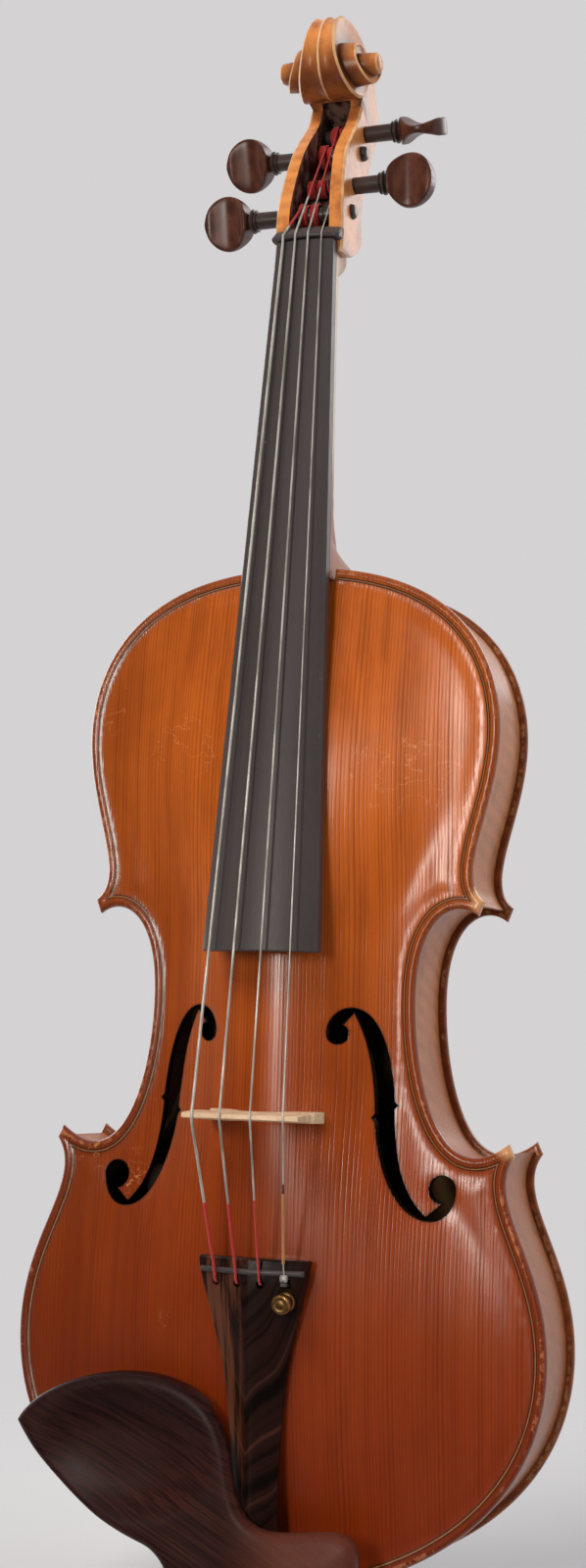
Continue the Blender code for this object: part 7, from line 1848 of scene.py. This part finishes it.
def make_tuner_frame():
    collar = turned("tuner_collar", [(-along * TUNER_COLLAR_HEIGHT, size * TUNER_COLLAR_RADIUS)
                                     for along, size in COLLAR_PROFILE], 56, "y")
    stem = turned("stem", [(-0.0005, TUNER_STEM_RADIUS), (TUNER_PLATE_Y + 0.0002, TUNER_STEM_RADIUS)], 32, "y")
    inner = TUNER_LEVER_HALF_WIDTH + SEAT_GAP
    steps = [("UNION", stem),
             ("UNION", block("plate", (-TUNER_EAR_X, TUNER_PLATE_Y, -TUNER_PLATE_HALF),
                             (TUNER_EAR_X, TUNER_PLATE_Y + TUNER_PLATE_THICKNESS, TUNER_PLATE_HALF)))]
    for x0, x1 in ((-TUNER_EAR_X, -inner), (inner, TUNER_EAR_X)):
        steps.append(("UNION", block("ear", (x0, TUNER_PLATE_Y + 0.0001, 0.5 * TUNER_PLATE_HALF),
                                     (x1, TUNER_PIVOT_Y + 0.0011, TUNER_PIVOT_Z + 0.0012))))
    bore, pin = TUNER_SCREW_RADIUS + SEAT_GAP, TUNER_PIN_RADIUS + SEAT_GAP
    steps.append(("DIFFERENCE", turned("bore", [(-0.005, bore), (0.006, bore)], 32, "y")))
    steps.append(("DIFFERENCE", turned("pin_hole", [(-0.005, pin), (0.005, pin)], 20, "x",
                                       (0, TUNER_PIVOT_Y, TUNER_PIVOT_Z))))
    return lift(on_tuner_seat(joined(collar, steps, 35)))


def make_tuner_knob():
    rings = []
    for along, size in KNOB_PROFILE:
        depth = KNURL_DEPTH if size > 0.9 else 0.0
        ring = []
        for step in range(4 * KNURLS):
            radius = TUNER_KNOB_RADIUS * (size - depth * (step % 4 in (0, 1)))
            angle = 2 * math.pi * step / (4 * KNURLS)
            ring.append((radius * math.cos(angle), -TUNER_KNOB_LIFT - along * TUNER_KNOB_HEIGHT,
                         radius * math.sin(angle)))
        rings.append(ring)
    return lift(on_tuner_seat(loft("tuner_knob_brass", rings, smooth=35)))


finished(make_tuner_frame(), BRASS, "instrument", "brass", "tuner_frame")
finished(make_tuner_knob(), BRASS, "tuner_knob", "brass", "tuner_knob")
dress(["tuner_screw", "tuner_lever"], STEEL)


# Bridge: a thin plate of plain maple that only stands on the belly, cut with a heart and two kidneys.
# Its feet follow the belly's arch, and it thins from its feet to the edge that carries the strings.

BRIDGE_Z = BODY_LENGTH - 0.2262
BRIDGE_OUTER_STRING_Y, BRIDGE_INNER_STRING_Y = -0.0670, -0.0694
BRIDGE_FOOT_HALF_WIDTH, BRIDGE_FOOT_LENGTH, BRIDGE_TOP_HALF_WIDTH = 0.0243, 0.0115, 0.0248
BRIDGE_FOOT_THICKNESS, BRIDGE_TOP_THICKNESS, BRIDGE_BEVEL = 0.0046, 0.0018, 0.0004
BRIDGE_KIDNEY = (
    (0.0177, 0.0042), (0.0174, 0.0066), (0.0148, 0.0082), (0.0118, 0.0090), (0.0104, 0.0112),
    (0.0122, 0.0132), (0.0152, 0.0126), (0.0180, 0.0106), (0.0208, 0.0098),
)
BRIDGE_WING = ((0.0238, 0.0108), (0.0252, 0.0126), (0.0254, 0.0145), (0.0248, 0.0190))
BRIDGE_HEART = ((0, 0.0122), (0.0016, 0.0142), (0.0034, 0.0160), (0.0034, 0.0180), (0.0016, 0.0188), (0, 0.0176))
NOTCH_SHARE, NOTCH_FIT = 0.55, 1.05


def paint_bridge(tree, shader, vector):
    grain = use(tree, GRAIN, Vector=vector, Pitch=0.0012, Wander=0.002)
    axes = node(tree, "SeparateXYZ", {0: vector}).outputs
    turned_grain = node(tree, "CombineXYZ", {0: axes[1], 1: axes[2], 2: axes[0]}).outputs[0]
    flecks = ramp(tree, noise(tree, turned_grain, (1500, 1500, 380), 3, 0.6), 0.55, 0.68)
    ground = blended(tree, grain["Tone"], tint(206, 168, 130), tint(232, 202, 168))
    colour = blended(tree, calc(tree, "MULTIPLY", flecks, 0.5), ground, tint(168, 116, 78))
    grime = ramp(tree, noise(tree, vector, (420, 420, 420), 4, 0.6), 0.5, 0.75)
    colour = blended(tree, calc(tree, "MULTIPLY", grime, 0.35), colour, tint(126, 88, 62))
    feed(tree, shader, colour, ramp(tree, flecks, 0, 1, 0.5, 0.62), flecks, 0.15, 0.0001)


def inset_ring(loop, distance, shortest=5e-4, hole=False):
    """A loop moved inwards, or outwards round a hole, without the points that come too near it."""
    line = np.array(loop)
    after = np.roll(line, -1, axis=0)
    step = after - np.roll(line, 1, axis=0)
    turn = 1 if np.sum(line[:, 0] * after[:, 1] - line[:, 1] * after[:, 0]) < 0 else -1
    normal = turn * np.column_stack([step[:, 1], -step[:, 0]]) / np.linalg.norm(step, axis=1)[:, None]
    moved = line + (-distance if hole else distance) * normal
    kept = (lies_in(loop, moved) != hole) & (way_to(loop, moved) > 0.97 * distance)
    return cleaned(list(moved[kept]), shortest)


def belly_y(x, z):
    return float(plate_heights(np.array([(x, z)]), -1, FRONT_ARCH)[0][0])


def string_height(x):
    """How high over mid rib the strings' arc passes at one x over the bridge."""
    curve = ((x / (STRING_BRIDGE_SPREAD / 2)) ** 2 - 1 / 9) / (8 / 9)
    return -BRIDGE_INNER_STRING_Y - curve * (BRIDGE_OUTER_STRING_Y - BRIDGE_INNER_STRING_Y)


def bridge_crown():
    """The edge under the strings, from the treble to the bass side, with a notch for each string."""
    centres = [(index / 3 - 0.5) * STRING_BRIDGE_SPREAD for index in range(4)]
    crown = []
    for x in np.linspace(BRIDGE_TOP_HALF_WIDTH - 0.0003, 0.0003 - BRIDGE_TOP_HALF_WIDTH, 230):
        height = string_height(x) - NOTCH_SHARE * np.interp(x, centres, STRING_RADIUS)
        for centre, radius in zip(centres, STRING_RADIUS):
            fit, away = NOTCH_FIT * radius, abs(x - centre)
            if away < fit:
                height = min(height, string_height(centre) - math.sqrt(fit ** 2 - away ** 2))
        crown.append(np.array((x, height)))
    return crown


def make_bridge():
    base = -belly_y(0.0, BRIDGE_Z)
    foot_out, foot_in = BRIDGE_FOOT_HALF_WIDTH, BRIDGE_FOOT_HALF_WIDTH - BRIDGE_FOOT_LENGTH
    arch = bezier((0, base + 0.0076), (0.0070, base + 0.0076), (0.0085, base + 0.0030),
                  (foot_in - 0.0004, base + 0.0006), 14)
    foot = [(x, -belly_y(x, BRIDGE_Z)) for x in np.linspace(foot_in, foot_out, 12)]
    toe = [(foot_out + 0.0002, foot[-1][1] + 0.0010), (foot_out - 0.0002, foot[-1][1] + 0.0024),
           (foot_out - 0.0020, base + 0.0009), (foot_out - 0.0045, base + 0.0020)]
    kidney = [(x, base + rise) for x, rise in through(BRIDGE_KIDNEY, 4)]
    wing = [(x, base + rise) for x, rise in through(BRIDGE_WING, 3)]
    half = [np.array(point) for point in [*arch, *foot, *toe, *kidney, *wing]]
    outline = cleaned(half + bridge_crown() + mirrored(half[1:])[::-1], 1e-4)
    heart = [np.array((x, base + rise)) for x, rise in through(BRIDGE_HEART, 3)]
    heart = cleaned(heart + mirrored(heart[1:-1])[::-1], 1e-4)
    rings = [inset_ring(outline, BRIDGE_BEVEL, 2e-4), inset_ring(heart, BRIDGE_BEVEL, 2e-4, True)]
    flat, faces = triangulated(outline, [heart], rings, 0.0016)
    share = np.clip((flat[:, 1] - base) / (-BRIDGE_INNER_STRING_Y - base), 0, 1)
    thick = 0.5 * (BRIDGE_FOOT_THICKNESS + share * (BRIDGE_TOP_THICKNESS - BRIDGE_FOOT_THICKNESS))
    rim = np.minimum(way_to(outline, flat), way_to(heart, flat))
    thick = thick - 0.6 * np.clip(BRIDGE_BEVEL - rim, 0, BRIDGE_BEVEL)
    item, _ = slab("bridge_plate", flat, faces, -thick, thick)
    for vertex in item.data.vertices:
        x, across, rise = vertex.co
        z = BRIDGE_Z + across
        vertex.co = (x, min(-rise, belly_y(x, z) - 0.00003) if rise < base + 0.0010 else -rise, z)
    work = bmesh.new()
    work.from_mesh(item.data)
    bmesh.ops.recalc_face_normals(work, faces=work.faces)
    work.to_mesh(item.data)
    work.free()
    return lift(item)


finished(make_bridge(), finish_material("bridge_maple", paint_bridge), "instrument", "bridge_maple", "bridge")


# Strings: flat wire wound over a core, wrapped in red silk at both ends, and wound round their pegs.
# Each runs from the tailpiece over the fret, the bridge and the nut; the top one hooks into the fine tuner.

STRING_WOUND_LIFTS = (0.0010, 0.0010, 0.0010, 0.0004)
STRING_PEG_X = (-0.0064, -0.0031, 0.0003, 0.0072)
SILK_FROM_TAIL_Z = (0.1484, 0.1485, 0.1504, 0.1569)
TWIST_FROM_Z, TWIST_TO_Z = 0.1264, 0.1532
BALL_RADIUS, BALL_HALF_WIDTH, BALL_PLACE = 0.0015, 0.0014, (0, -0.0020, 0.0090)
SILK_TO_PEG_SHARE = (0.30, 0.42, 0.42, 0.90)
SILK_THICKNESS = 0.00005
WINDINGS = (
    ((0.0, -6.4, 1.60), (1.1, -7.7, 1.60), (1.6, -7.9, 0.68), (4.0, -4.7, 0.66), (4.4, -2.9, 0.66),
     (6.9, 0.4, 0.66), (7.3, 0.2, 1.60), (8.8, -1.8, 1.60), (9.2, -2.4, 0.80)),
    ((0.0, -3.1, 1.50), (1.2, -4.4, 1.50), (2.4, -5.8, 1.50), (2.9, -6.6, 0.57), (8.1, -0.9, 0.57)),
    ((0.0, 0.3, 1.42), (2.3, -1.9, 1.40), (2.8, -2.9, 0.48), (8.3, 2.1, 0.48)),
    ((0.0, 7.2, 0.70), (1.1, 2.0, 0.36), (11.8, -7.2, 0.36)),
)
WINDING_STEPS = 22


def as_one(items, name):
    """Several pieces as one object that keeps their materials."""
    with bpy.context.temp_override(active_object=items[0], object=items[0], selected_objects=items,
                                   selected_editable_objects=items):
        bpy.ops.object.join()
    items[0].name = name
    return items[0]


def paint_wire(tree, shader, vector):
    wave = spun(tree, 0.00022, 1.0)
    tarnish = noise(tree, vector, (300, 300, 40), 3)
    colour = blended(tree, ramp(tree, tarnish, 0.35, 0.7), tint(226, 221, 210), tint(166, 157, 144))
    feed(tree, shader, colour, ramp(tree, tarnish, 0.3, 0.7, 0.34, 0.48), wave, 0.08, 0.00004, Metallic=0.6)


def silk_paint(light, dark):
    def paint(tree, shader, vector):
        wave = spun(tree, 0.00034, 1.0)
        fray = noise(tree, vector, (2400, 2400, 2400), 3, 0.6)
        shade = calc(tree, "MULTIPLY", ramp(tree, wave, -0.9, 0.4), ramp(tree, fray, 0.25, 0.6, 0.55, 1.0))
        feed(tree, shader, blended(tree, shade, dark, light), ramp(tree, fray, 0.3, 0.7, 0.5, 0.72),
             calc(tree, "ADD", wave, fray), 0.5, 0.00008, Sheen_Weight=0.25)
    return paint


STRING_WIRE = finish_material("string_wire", paint_wire)
RED_SILK = finish_material("red_silk", silk_paint(tint(226, 36, 28), tint(104, 14, 14)))
BLACK_SILK = finish_material("black_silk", silk_paint(tint(44, 38, 36), tint(16, 13, 12)))
GOLD_SILK = finish_material("gold_silk", silk_paint(tint(226, 154, 84), tint(84, 42, 22)))


BALL_PROFILE = ((-1.0, 0.45), (-0.96, 0.80), (-0.80, 0.95), (-0.45, 1.0), (-0.30, 0.80), (0.30, 0.80), (0.45, 1.0),
                (0.80, 0.95), (0.96, 0.80), (1.0, 0.45))


def string_path(index):
    """The string's bends from the tailpiece to its peg, and the winding that goes on round the peg."""
    across = index / 3 - 0.5
    tail_x, bridge_x = across * STRING_TAIL_SPREAD, across * STRING_BRIDGE_SPREAD
    bridge_y = BRIDGE_OUTER_STRING_Y if index in (0, 3) else BRIDGE_INNER_STRING_Y
    nut_x, nut_y = nut_groove(index)
    radius = STRING_RADIUS[index]
    peg = PEG_NAMES.index(STRING_NAMES[index])
    peg_x, peg_y, peg_z = STRING_PEG_X[index], PEG_AXES[peg][0], NUT_Z + PEG_AXES[peg][1]
    wrap = shaft_radius(peg, PEG_SIDES[peg] * peg_x) + STRING_WOUND_LIFTS[index] + radius
    away_y, away_z = peg_y - nut_y, peg_z - NUT_Z - NUT_BREAK
    heading = math.atan2(away_y, away_z) - math.asin(wrap / math.hypot(away_y, away_z))
    fret_y = tailpiece_top_y(tail_x, FRET_Z) - FRET_RISE - radius - STRING_LIFT
    if index == 3:
        hook = TUNER_MATRIX @ Vector((0, TUNER_HOOK_Y, TUNER_HOOK_Z + 0.0010))
        tail = [(tail_x, hook.y + 0.0006, hook.z + 0.0002)]
    else:
        surface = tailpiece_top_y(tail_x, STRING_SLOT_Z)
        tail = [(tail_x, surface + 0.0030, STRING_SLOT_Z - 0.0002), (tail_x, surface - 0.0004, STRING_SLOT_Z + 0.0002),
                (tail_x, surface - 0.0012, STRING_SLOT_Z + 0.0012)]
    bends = [*tail, (tail_x, fret_y, FRET_Z + 0.0002), (tail_x, fret_y - 0.0008, FRET_Z + 0.0022),
             (bridge_x, bridge_y + 0.0005, BRIDGE_Z - 0.0030), (bridge_x, bridge_y, BRIDGE_Z - 0.0013),
             (bridge_x, bridge_y, BRIDGE_Z + 0.0013), (nut_x, nut_y - 0.0002, NUT_Z - 0.0020),
             (nut_x, nut_y, NUT_Z + 0.0004), (nut_x, nut_y, NUT_Z + NUT_BREAK),
             (peg_x, peg_y - wrap * math.cos(heading), peg_z + wrap * math.sin(heading))]
    turns, places, lifts = zip(*WINDINGS[index])
    coil = []
    for turn in np.arange(0, turns[-1], 1 / WINDING_STEPS):
        x = np.interp(turn, turns, places) / 1000
        reach = shaft_radius(peg, PEG_SIDES[peg] * x) + np.interp(turn, turns, lifts) / 1000
        angle = heading + 2 * math.pi * turn
        coil.append((x, peg_y - reach * math.cos(angle), peg_z + reach * math.sin(angle)))
    return bends, coil


def cut_at(path, z):
    """The part of a path below a height, and the part above it."""
    path = [np.array(point, float) for point in path]
    k = next(k for k in range(len(path) - 1) if path[k][2] <= z <= path[k + 1][2])
    share = (z - path[k][2]) / (path[k + 1][2] - path[k][2])
    middle = path[k] + share * (path[k + 1] - path[k])
    return path[:k + 1] + [middle], [middle] + path[k + 1:]


for index, name in enumerate(STRING_NAMES):
    radius = STRING_RADIUS[index]
    bends, coil = string_path(index)
    head_silk_z = bends[-2][2] + SILK_TO_PEG_SHARE[index] * (bends[-1][2] - bends[-2][2])
    low, rest = cut_at(bends, SILK_FROM_TAIL_Z[index])
    wire, high = cut_at(rest, head_silk_z)
    pieces = [cord("wire", wire, radius, STRING_WIRE), cord("head_silk", high, radius + SILK_THICKNESS, RED_SILK)]
    if index == 3:
        loop, low = cut_at(low, TWIST_FROM_Z)
        twist, low = cut_at(low, TWIST_TO_Z)
        ball = turned("ball", [(BALL_HALF_WIDTH * along, BALL_RADIUS * size) for along, size in BALL_PROFILE], 32, "x")
        ball.data.materials.append(STRING_WIRE)
        ball.data.transform(TUNER_MATRIX @ Matrix.Translation(BALL_PLACE))
        pieces += [cord("loop", loop, radius, STRING_WIRE), cord("twist", twist, radius + 0.00030, GOLD_SILK), ball]
    pieces.append(cord("tail_silk", low, radius + SILK_THICKNESS, BLACK_SILK if index == 3 else RED_SILK))
    string = lift(as_one(pieces, f"string_{name}_wound"))
    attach(string, "instrument")
    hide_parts(f"string_{name}")
    winding = lift(cord(f"winding_{name}", coil, radius + SILK_THICKNESS, RED_SILK, 10))
    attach(winding, f"peg_{name}")


# Chinrest: carved from one piece of rosewood, a dished cup with a pointed tip and a rounded arm.
# The arm bridges the tailpiece and stands on two feet with cork under them.

CHINREST_TIP, CHINREST_CREST, CHINREST_THROAT = (-0.0989, 0.0595), (-0.0097, 0.0607), (0.0130, 0.0268)
CHINREST_ARM, CHINREST_LOW_Z, CHINREST_LEFT = (0.0462, 0.0200), -0.0092, (-0.0429, 0.0175)
CHINREST_CUP, CHINREST_CUP_RADII, CHINREST_HOLLOW = (-0.0520, 0.0500), (0.0400, 0.0260), 0.0065
CHINREST_RIM_Y, CHINREST_ARM_Y, CHINREST_ARM_DOME = -0.0500, -0.0530, 0.0022
CHINREST_CUP_UNDER_Y, CHINREST_ARM_UNDER_Y = -0.0400, -0.0440
CHINREST_ROUND, CHINREST_UNDER_ROUND = 0.0040, 0.0016
CHINREST_FEET, CHINREST_FOOT_Z = ((-0.0300, -0.0190), (0.0190, 0.0380)), (-0.0080, 0.0115)
CHINREST_CORK, CHINREST_CORK_GAP, CORK_Z = 0.0015, 0.0004, (0.0010, 0.0075)
CORK_Y = -(HALF_RIB + EDGE_THICKNESS) - CHINREST_CORK_GAP


def chinrest_outline():
    """Seen from the front, as (x, z): tip, crest, throat, arm, lower edge and back to the tip."""
    tip, crest, throat, arm = CHINREST_TIP, CHINREST_CREST, CHINREST_THROAT, CHINREST_ARM
    low, left = CHINREST_LOW_Z, CHINREST_LEFT
    runs = [
        bezier(tip, (tip[0] + 0.0120, tip[1] + 0.0220), (-0.0240, crest[1] + 0.0330), crest, 46),
        bezier(crest, (-0.0030, 0.0460), (-0.0080, throat[1]), throat, 24),
        bezier(throat, (0.0270, throat[1]), (arm[0], 0.0345), arm, 22),
        bezier(arm, (arm[0], 0.0020), (0.0400, low), (0.0240, low), 24),
        bezier((0.0240, low), (0.0080, low), (-0.0080, low), (-0.0240, low), 16),
        bezier((-0.0240, low), (-0.0310, low), (-0.0265, 0.0120), left, 20),
        bezier(left, (-0.0640, 0.0240), (-0.0850, 0.0380), tip, 30),
    ]
    return cleaned(list(np.vstack([run[:-1] for run in runs])), 0.0004)


def paint_chinrest(tree, shader, vector):
    axes = node(tree, "SeparateXYZ", {0: vector}).outputs
    bend = calc(tree, "MULTIPLY", calc(tree, "SUBTRACT", noise(tree, vector, (9, 9, 9), 1), 0.5), 0.012)
    across = calc(tree, "ADD", calc(tree, "ADD", axes[2], calc(tree, "MULTIPLY", axes[0], 0.46)), bend)
    along = node(tree, "CombineXYZ", {0: calc(tree, "MULTIPLY", axes[0], 0.03), 1: axes[1], 2: across}).outputs[0]
    bands = noise(tree, along, (900, 160, 900), 4, 0.6)
    pores = ramp(tree, noise(tree, along, (2600, 400, 3000), 2, 0.6), 0.58, 0.72)
    colour = blended(tree, ramp(tree, bands, 0.36, 0.64), tint(30, 11, 9), tint(54, 23, 17))
    colour = blended(tree, calc(tree, "MULTIPLY", ramp(tree, bands, 0.6, 0.76), 0.35), colour, tint(84, 40, 28))
    # Darker towards the top of the cup: painted shade.
    upper = ramp(tree, axes[2], 0.060, 0.092)
    colour = blended(tree, calc(tree, "MULTIPLY", upper, 0.55), colour, tint(26, 10, 11))
    # Lighter towards the arm: painted highlight.
    arm = ramp(tree, axes[0], -0.012, 0.024)
    colour = blended(tree, calc(tree, "MULTIPLY", arm, 0.5), colour, tint(112, 56, 40))
    colour = blended(tree, calc(tree, "MULTIPLY", pores, 0.4), colour, tint(20, 8, 8))
    # Pale flecks on the arm: painted glints.
    specks = ramp(tree, noise(tree, vector, (420, 420, 420), 3, 0.7), 0.735, 0.77)
    colour = blended(tree, calc(tree, "MULTIPLY", calc(tree, "MULTIPLY", specks, arm), 0.6), colour, tint(206, 160, 128))
    feed(tree, shader, colour, ramp(tree, bands, 0.3, 0.7, 0.42, 0.52), calc(tree, "SUBTRACT", bands, pores),
         0.1, 0.0002, Specular_IOR_Level=0.22)


def eased_block(name, low, high, radius):
    """A block between two corners with rounded upright edges and eased faces; y is its thickness."""
    (x0, y0, z0), (x1, y1, z1) = low, high
    corners = ((x1 - radius, z1 - radius, 0), (x0 + radius, z1 - radius, 90), (x0 + radius, z0 + radius, 180),
               (x1 - radius, z0 + radius, 270))
    ease = min(0.35 * radius, 0.25 * (y1 - y0))
    rings = []
    for y, less in ((y0, ease), (y0 + 0.3 * ease, 0.3 * ease), (y0 + ease, 0.0), (y1 - ease, 0.0),
                    (y1 - 0.3 * ease, 0.3 * ease), (y1, ease)):
        rings.append([(x + (radius - less) * math.cos(turn), y, z + (radius - less) * math.sin(turn))
                      for x, z, start in corners for turn in np.radians(np.linspace(start, start + 90, 6))])
    return loft(name, rings)


def make_chinrest():
    outline = chinrest_outline()
    rings = [inset_ring(outline, share * CHINREST_ROUND) for share in (0.06, 0.16, 0.32, 0.54, 0.78, 1.0)]
    flat, faces = triangulated(outline, [], rings, 0.0030)
    way = way_to(outline, flat)
    arm = smooth_step((flat[:, 0] - CHINREST_CUP[0] - 0.040) / 0.030)
    away = ((flat - np.array(CHINREST_CUP)) / np.array(CHINREST_CUP_RADII)) ** 2
    dish = smooth_step(1 - away.sum(axis=1)) ** 0.9
    front = CHINREST_RIM_Y + arm * (CHINREST_ARM_Y - CHINREST_RIM_Y) + CHINREST_HOLLOW * dish
    front = front + CHINREST_ARM_DOME * arm * (1 - smooth_step(way / 0.014))
    near = np.clip(1 - way / CHINREST_ROUND, 0, 1)
    front = front + 0.8 * CHINREST_ROUND * (1 - np.sqrt(1 - near ** 2))
    near = np.clip(1 - way / CHINREST_UNDER_ROUND, 0, 1)
    over_tail = smooth_step((flat[:, 0] + 0.019) / 0.005)
    back = CHINREST_CUP_UNDER_Y + over_tail * (CHINREST_ARM_UNDER_Y - CHINREST_CUP_UNDER_Y)
    back = back - 0.8 * CHINREST_UNDER_ROUND * (1 - np.sqrt(1 - near ** 2))
    item, _ = slab("chinrest_wood", flat, faces, front, back)
    feet = [("UNION", eased_block("foot", (low, CHINREST_ARM_UNDER_Y - 0.002, CHINREST_FOOT_Z[0]),
                                  (high, CORK_Y - CHINREST_CORK - SEAT_GAP / 10, CHINREST_FOOT_Z[1]), 0.003))
            for low, high in CHINREST_FEET]
    return lift(joined(item, feet))


def paint_cork(tree, shader, vector):
    grit = noise(tree, vector, (900, 900, 900), 4, 0.65)
    pits = ramp(tree, noise(tree, vector, (1700, 1700, 1700), 2, 0.6), 0.56, 0.68)
    colour = blended(tree, ramp(tree, grit, 0.35, 0.65), tint(150, 104, 66), tint(198, 154, 108))
    colour = blended(tree, calc(tree, "MULTIPLY", pits, 0.7), colour, tint(86, 52, 32))
    feed(tree, shader, colour, ramp(tree, grit, 0.3, 0.7, 0.75, 0.92), calc(tree, "SUBTRACT", grit, pits), 0.5, 0.0003)


CORK = finish_material("cork", paint_cork)
finished(make_chinrest(), finish_material("chinrest_rosewood", paint_chinrest), "instrument", "rosewood", "chinrest")
for label, (low, high) in zip(("bass", "treble"), CHINREST_FEET):
    sheet = eased_block(f"cork_{label}", (low + 0.0005, CORK_Y - CHINREST_CORK, CORK_Z[0]),
                        (high - 0.0005, CORK_Y, CORK_Z[1]), 0.0012)
    finished(lift(sheet), CORK, "instrument", "cork", f"chinrest_cork_{label}")


# Clamp: a nickelled bracket and foot, drawn together over the ribs by two barrels on threaded studs.
# The barrels have a cross hole for the key that turns them, and cork lines the foot.

CLAMP_X, CLAMP_Z, CLAMP_STUD_RADIUS, CLAMP_STUD_ENTRY = 0.0230, -0.0068, 0.0013, 0.0050
CLAMP_BARREL_RADIUS, CLAMP_BARREL_HALF_LENGTH, CLAMP_KEY_RADIUS = 0.0033, 0.0120, 0.0010
CLAMP_BAR_HALF, CLAMP_BAR_MARGIN, CLAMP_BAR_THICKNESS = 0.0022, 0.0030, 0.0018
CLAMP_FOOT_THICKNESS, CLAMP_FOOT_DEPTH = 0.0022, 0.0090
THREAD_PITCH, THREAD_DEPTH = 0.0007, 0.00025
BARREL_PROFILE = ((0.0, 0.78), (0.02, 0.90), (0.05, 0.97), (0.08, 1.0), (0.14, 1.0), (0.15, 0.94), (0.17, 0.94),
                  (0.18, 1.0))


def threaded(name, bare, end, x):
    """A stud along y: plain at its root and threaded up to its end."""
    steps = np.arange(0.0016, abs(end - bare), THREAD_PITCH / 2)
    toward = 1 if end > bare else -1
    profile = [(bare, CLAMP_STUD_RADIUS)]
    profile += [(bare + toward * step, CLAMP_STUD_RADIUS - THREAD_DEPTH * (k % 2)) for k, step in enumerate(steps)]
    return turned(name, profile, 24, "y", (x, 0, CLAMP_Z))


def clamp_plate(name, low_y, high_y, low_z, high_z, root, end):
    half = CLAMP_X + CLAMP_BAR_MARGIN
    bar = eased_block(name, (-half, low_y, low_z), (half, high_y, high_z), 0.0021)
    return lift(joined(bar, [("UNION", threaded("stud", root, end, side * CLAMP_X)) for side in (-1, 1)]))


def make_barrel(label, side):
    long, radius, bore = CLAMP_BARREL_HALF_LENGTH, CLAMP_BARREL_RADIUS, CLAMP_STUD_RADIUS + SEAT_GAP
    half = [(-long + 2 * long * along, radius * size) for along, size in BARREL_PROFILE]
    profile = half + [(-along, size) for along, size in half[::-1]]
    centre = (side * CLAMP_X, 0, CLAMP_Z)
    body = turned(f"barrel_{label}", profile, 48, "y", centre)
    return lift(joined(body, [("DIFFERENCE", turned("bore", [(-0.02, bore), (0.02, bore)], 32, "y", centre)),
                              ("DIFFERENCE", turned("key", [(-0.01, CLAMP_KEY_RADIUS), (0.01, CLAMP_KEY_RADIUS)],
                                                    20, "x", centre))], 35))


NICKEL = finish_material("nickel", metal_paint(tint(208, 203, 194), tint(150, 142, 130), 0.16, 0.3, 0.5))
bar_y = CORK_Y - CHINREST_CORK
bracket = clamp_plate("bracket", bar_y, bar_y + CLAMP_BAR_THICKNESS, CLAMP_Z - CLAMP_BAR_HALF, CLAMP_Z + CLAMP_BAR_HALF,
                      bar_y + 0.0004, -CLAMP_STUD_ENTRY)
finished(bracket, NICKEL, "instrument", "nickel", "clamp_bracket")
foot_y = -bar_y + SEAT_GAP
foot = clamp_plate("foot_plate", foot_y, foot_y + CLAMP_FOOT_THICKNESS, CLAMP_Z - CLAMP_BAR_HALF, CLAMP_FOOT_DEPTH,
                   foot_y + 0.0004, CLAMP_STUD_ENTRY)
finished(foot, NICKEL, "clamp_foot", "nickel", "clamp_foot")
for label, side in (("bass", -1), ("treble", 1)):
    finished(make_barrel(label, side), NICKEL, f"clamp_barrel_{label}", "nickel", f"clamp_barrel_{label}")
half = CLAMP_X + CLAMP_BAR_MARGIN - 0.0005
pad = eased_block("foot_cork", (-half, -CORK_Y, CORK_Z[0]), (half, -CORK_Y + CHINREST_CORK, CORK_Z[1]), 0.0012)
finished(lift(pad), CORK, "clamp_foot", "cork", "clamp_foot_cork")
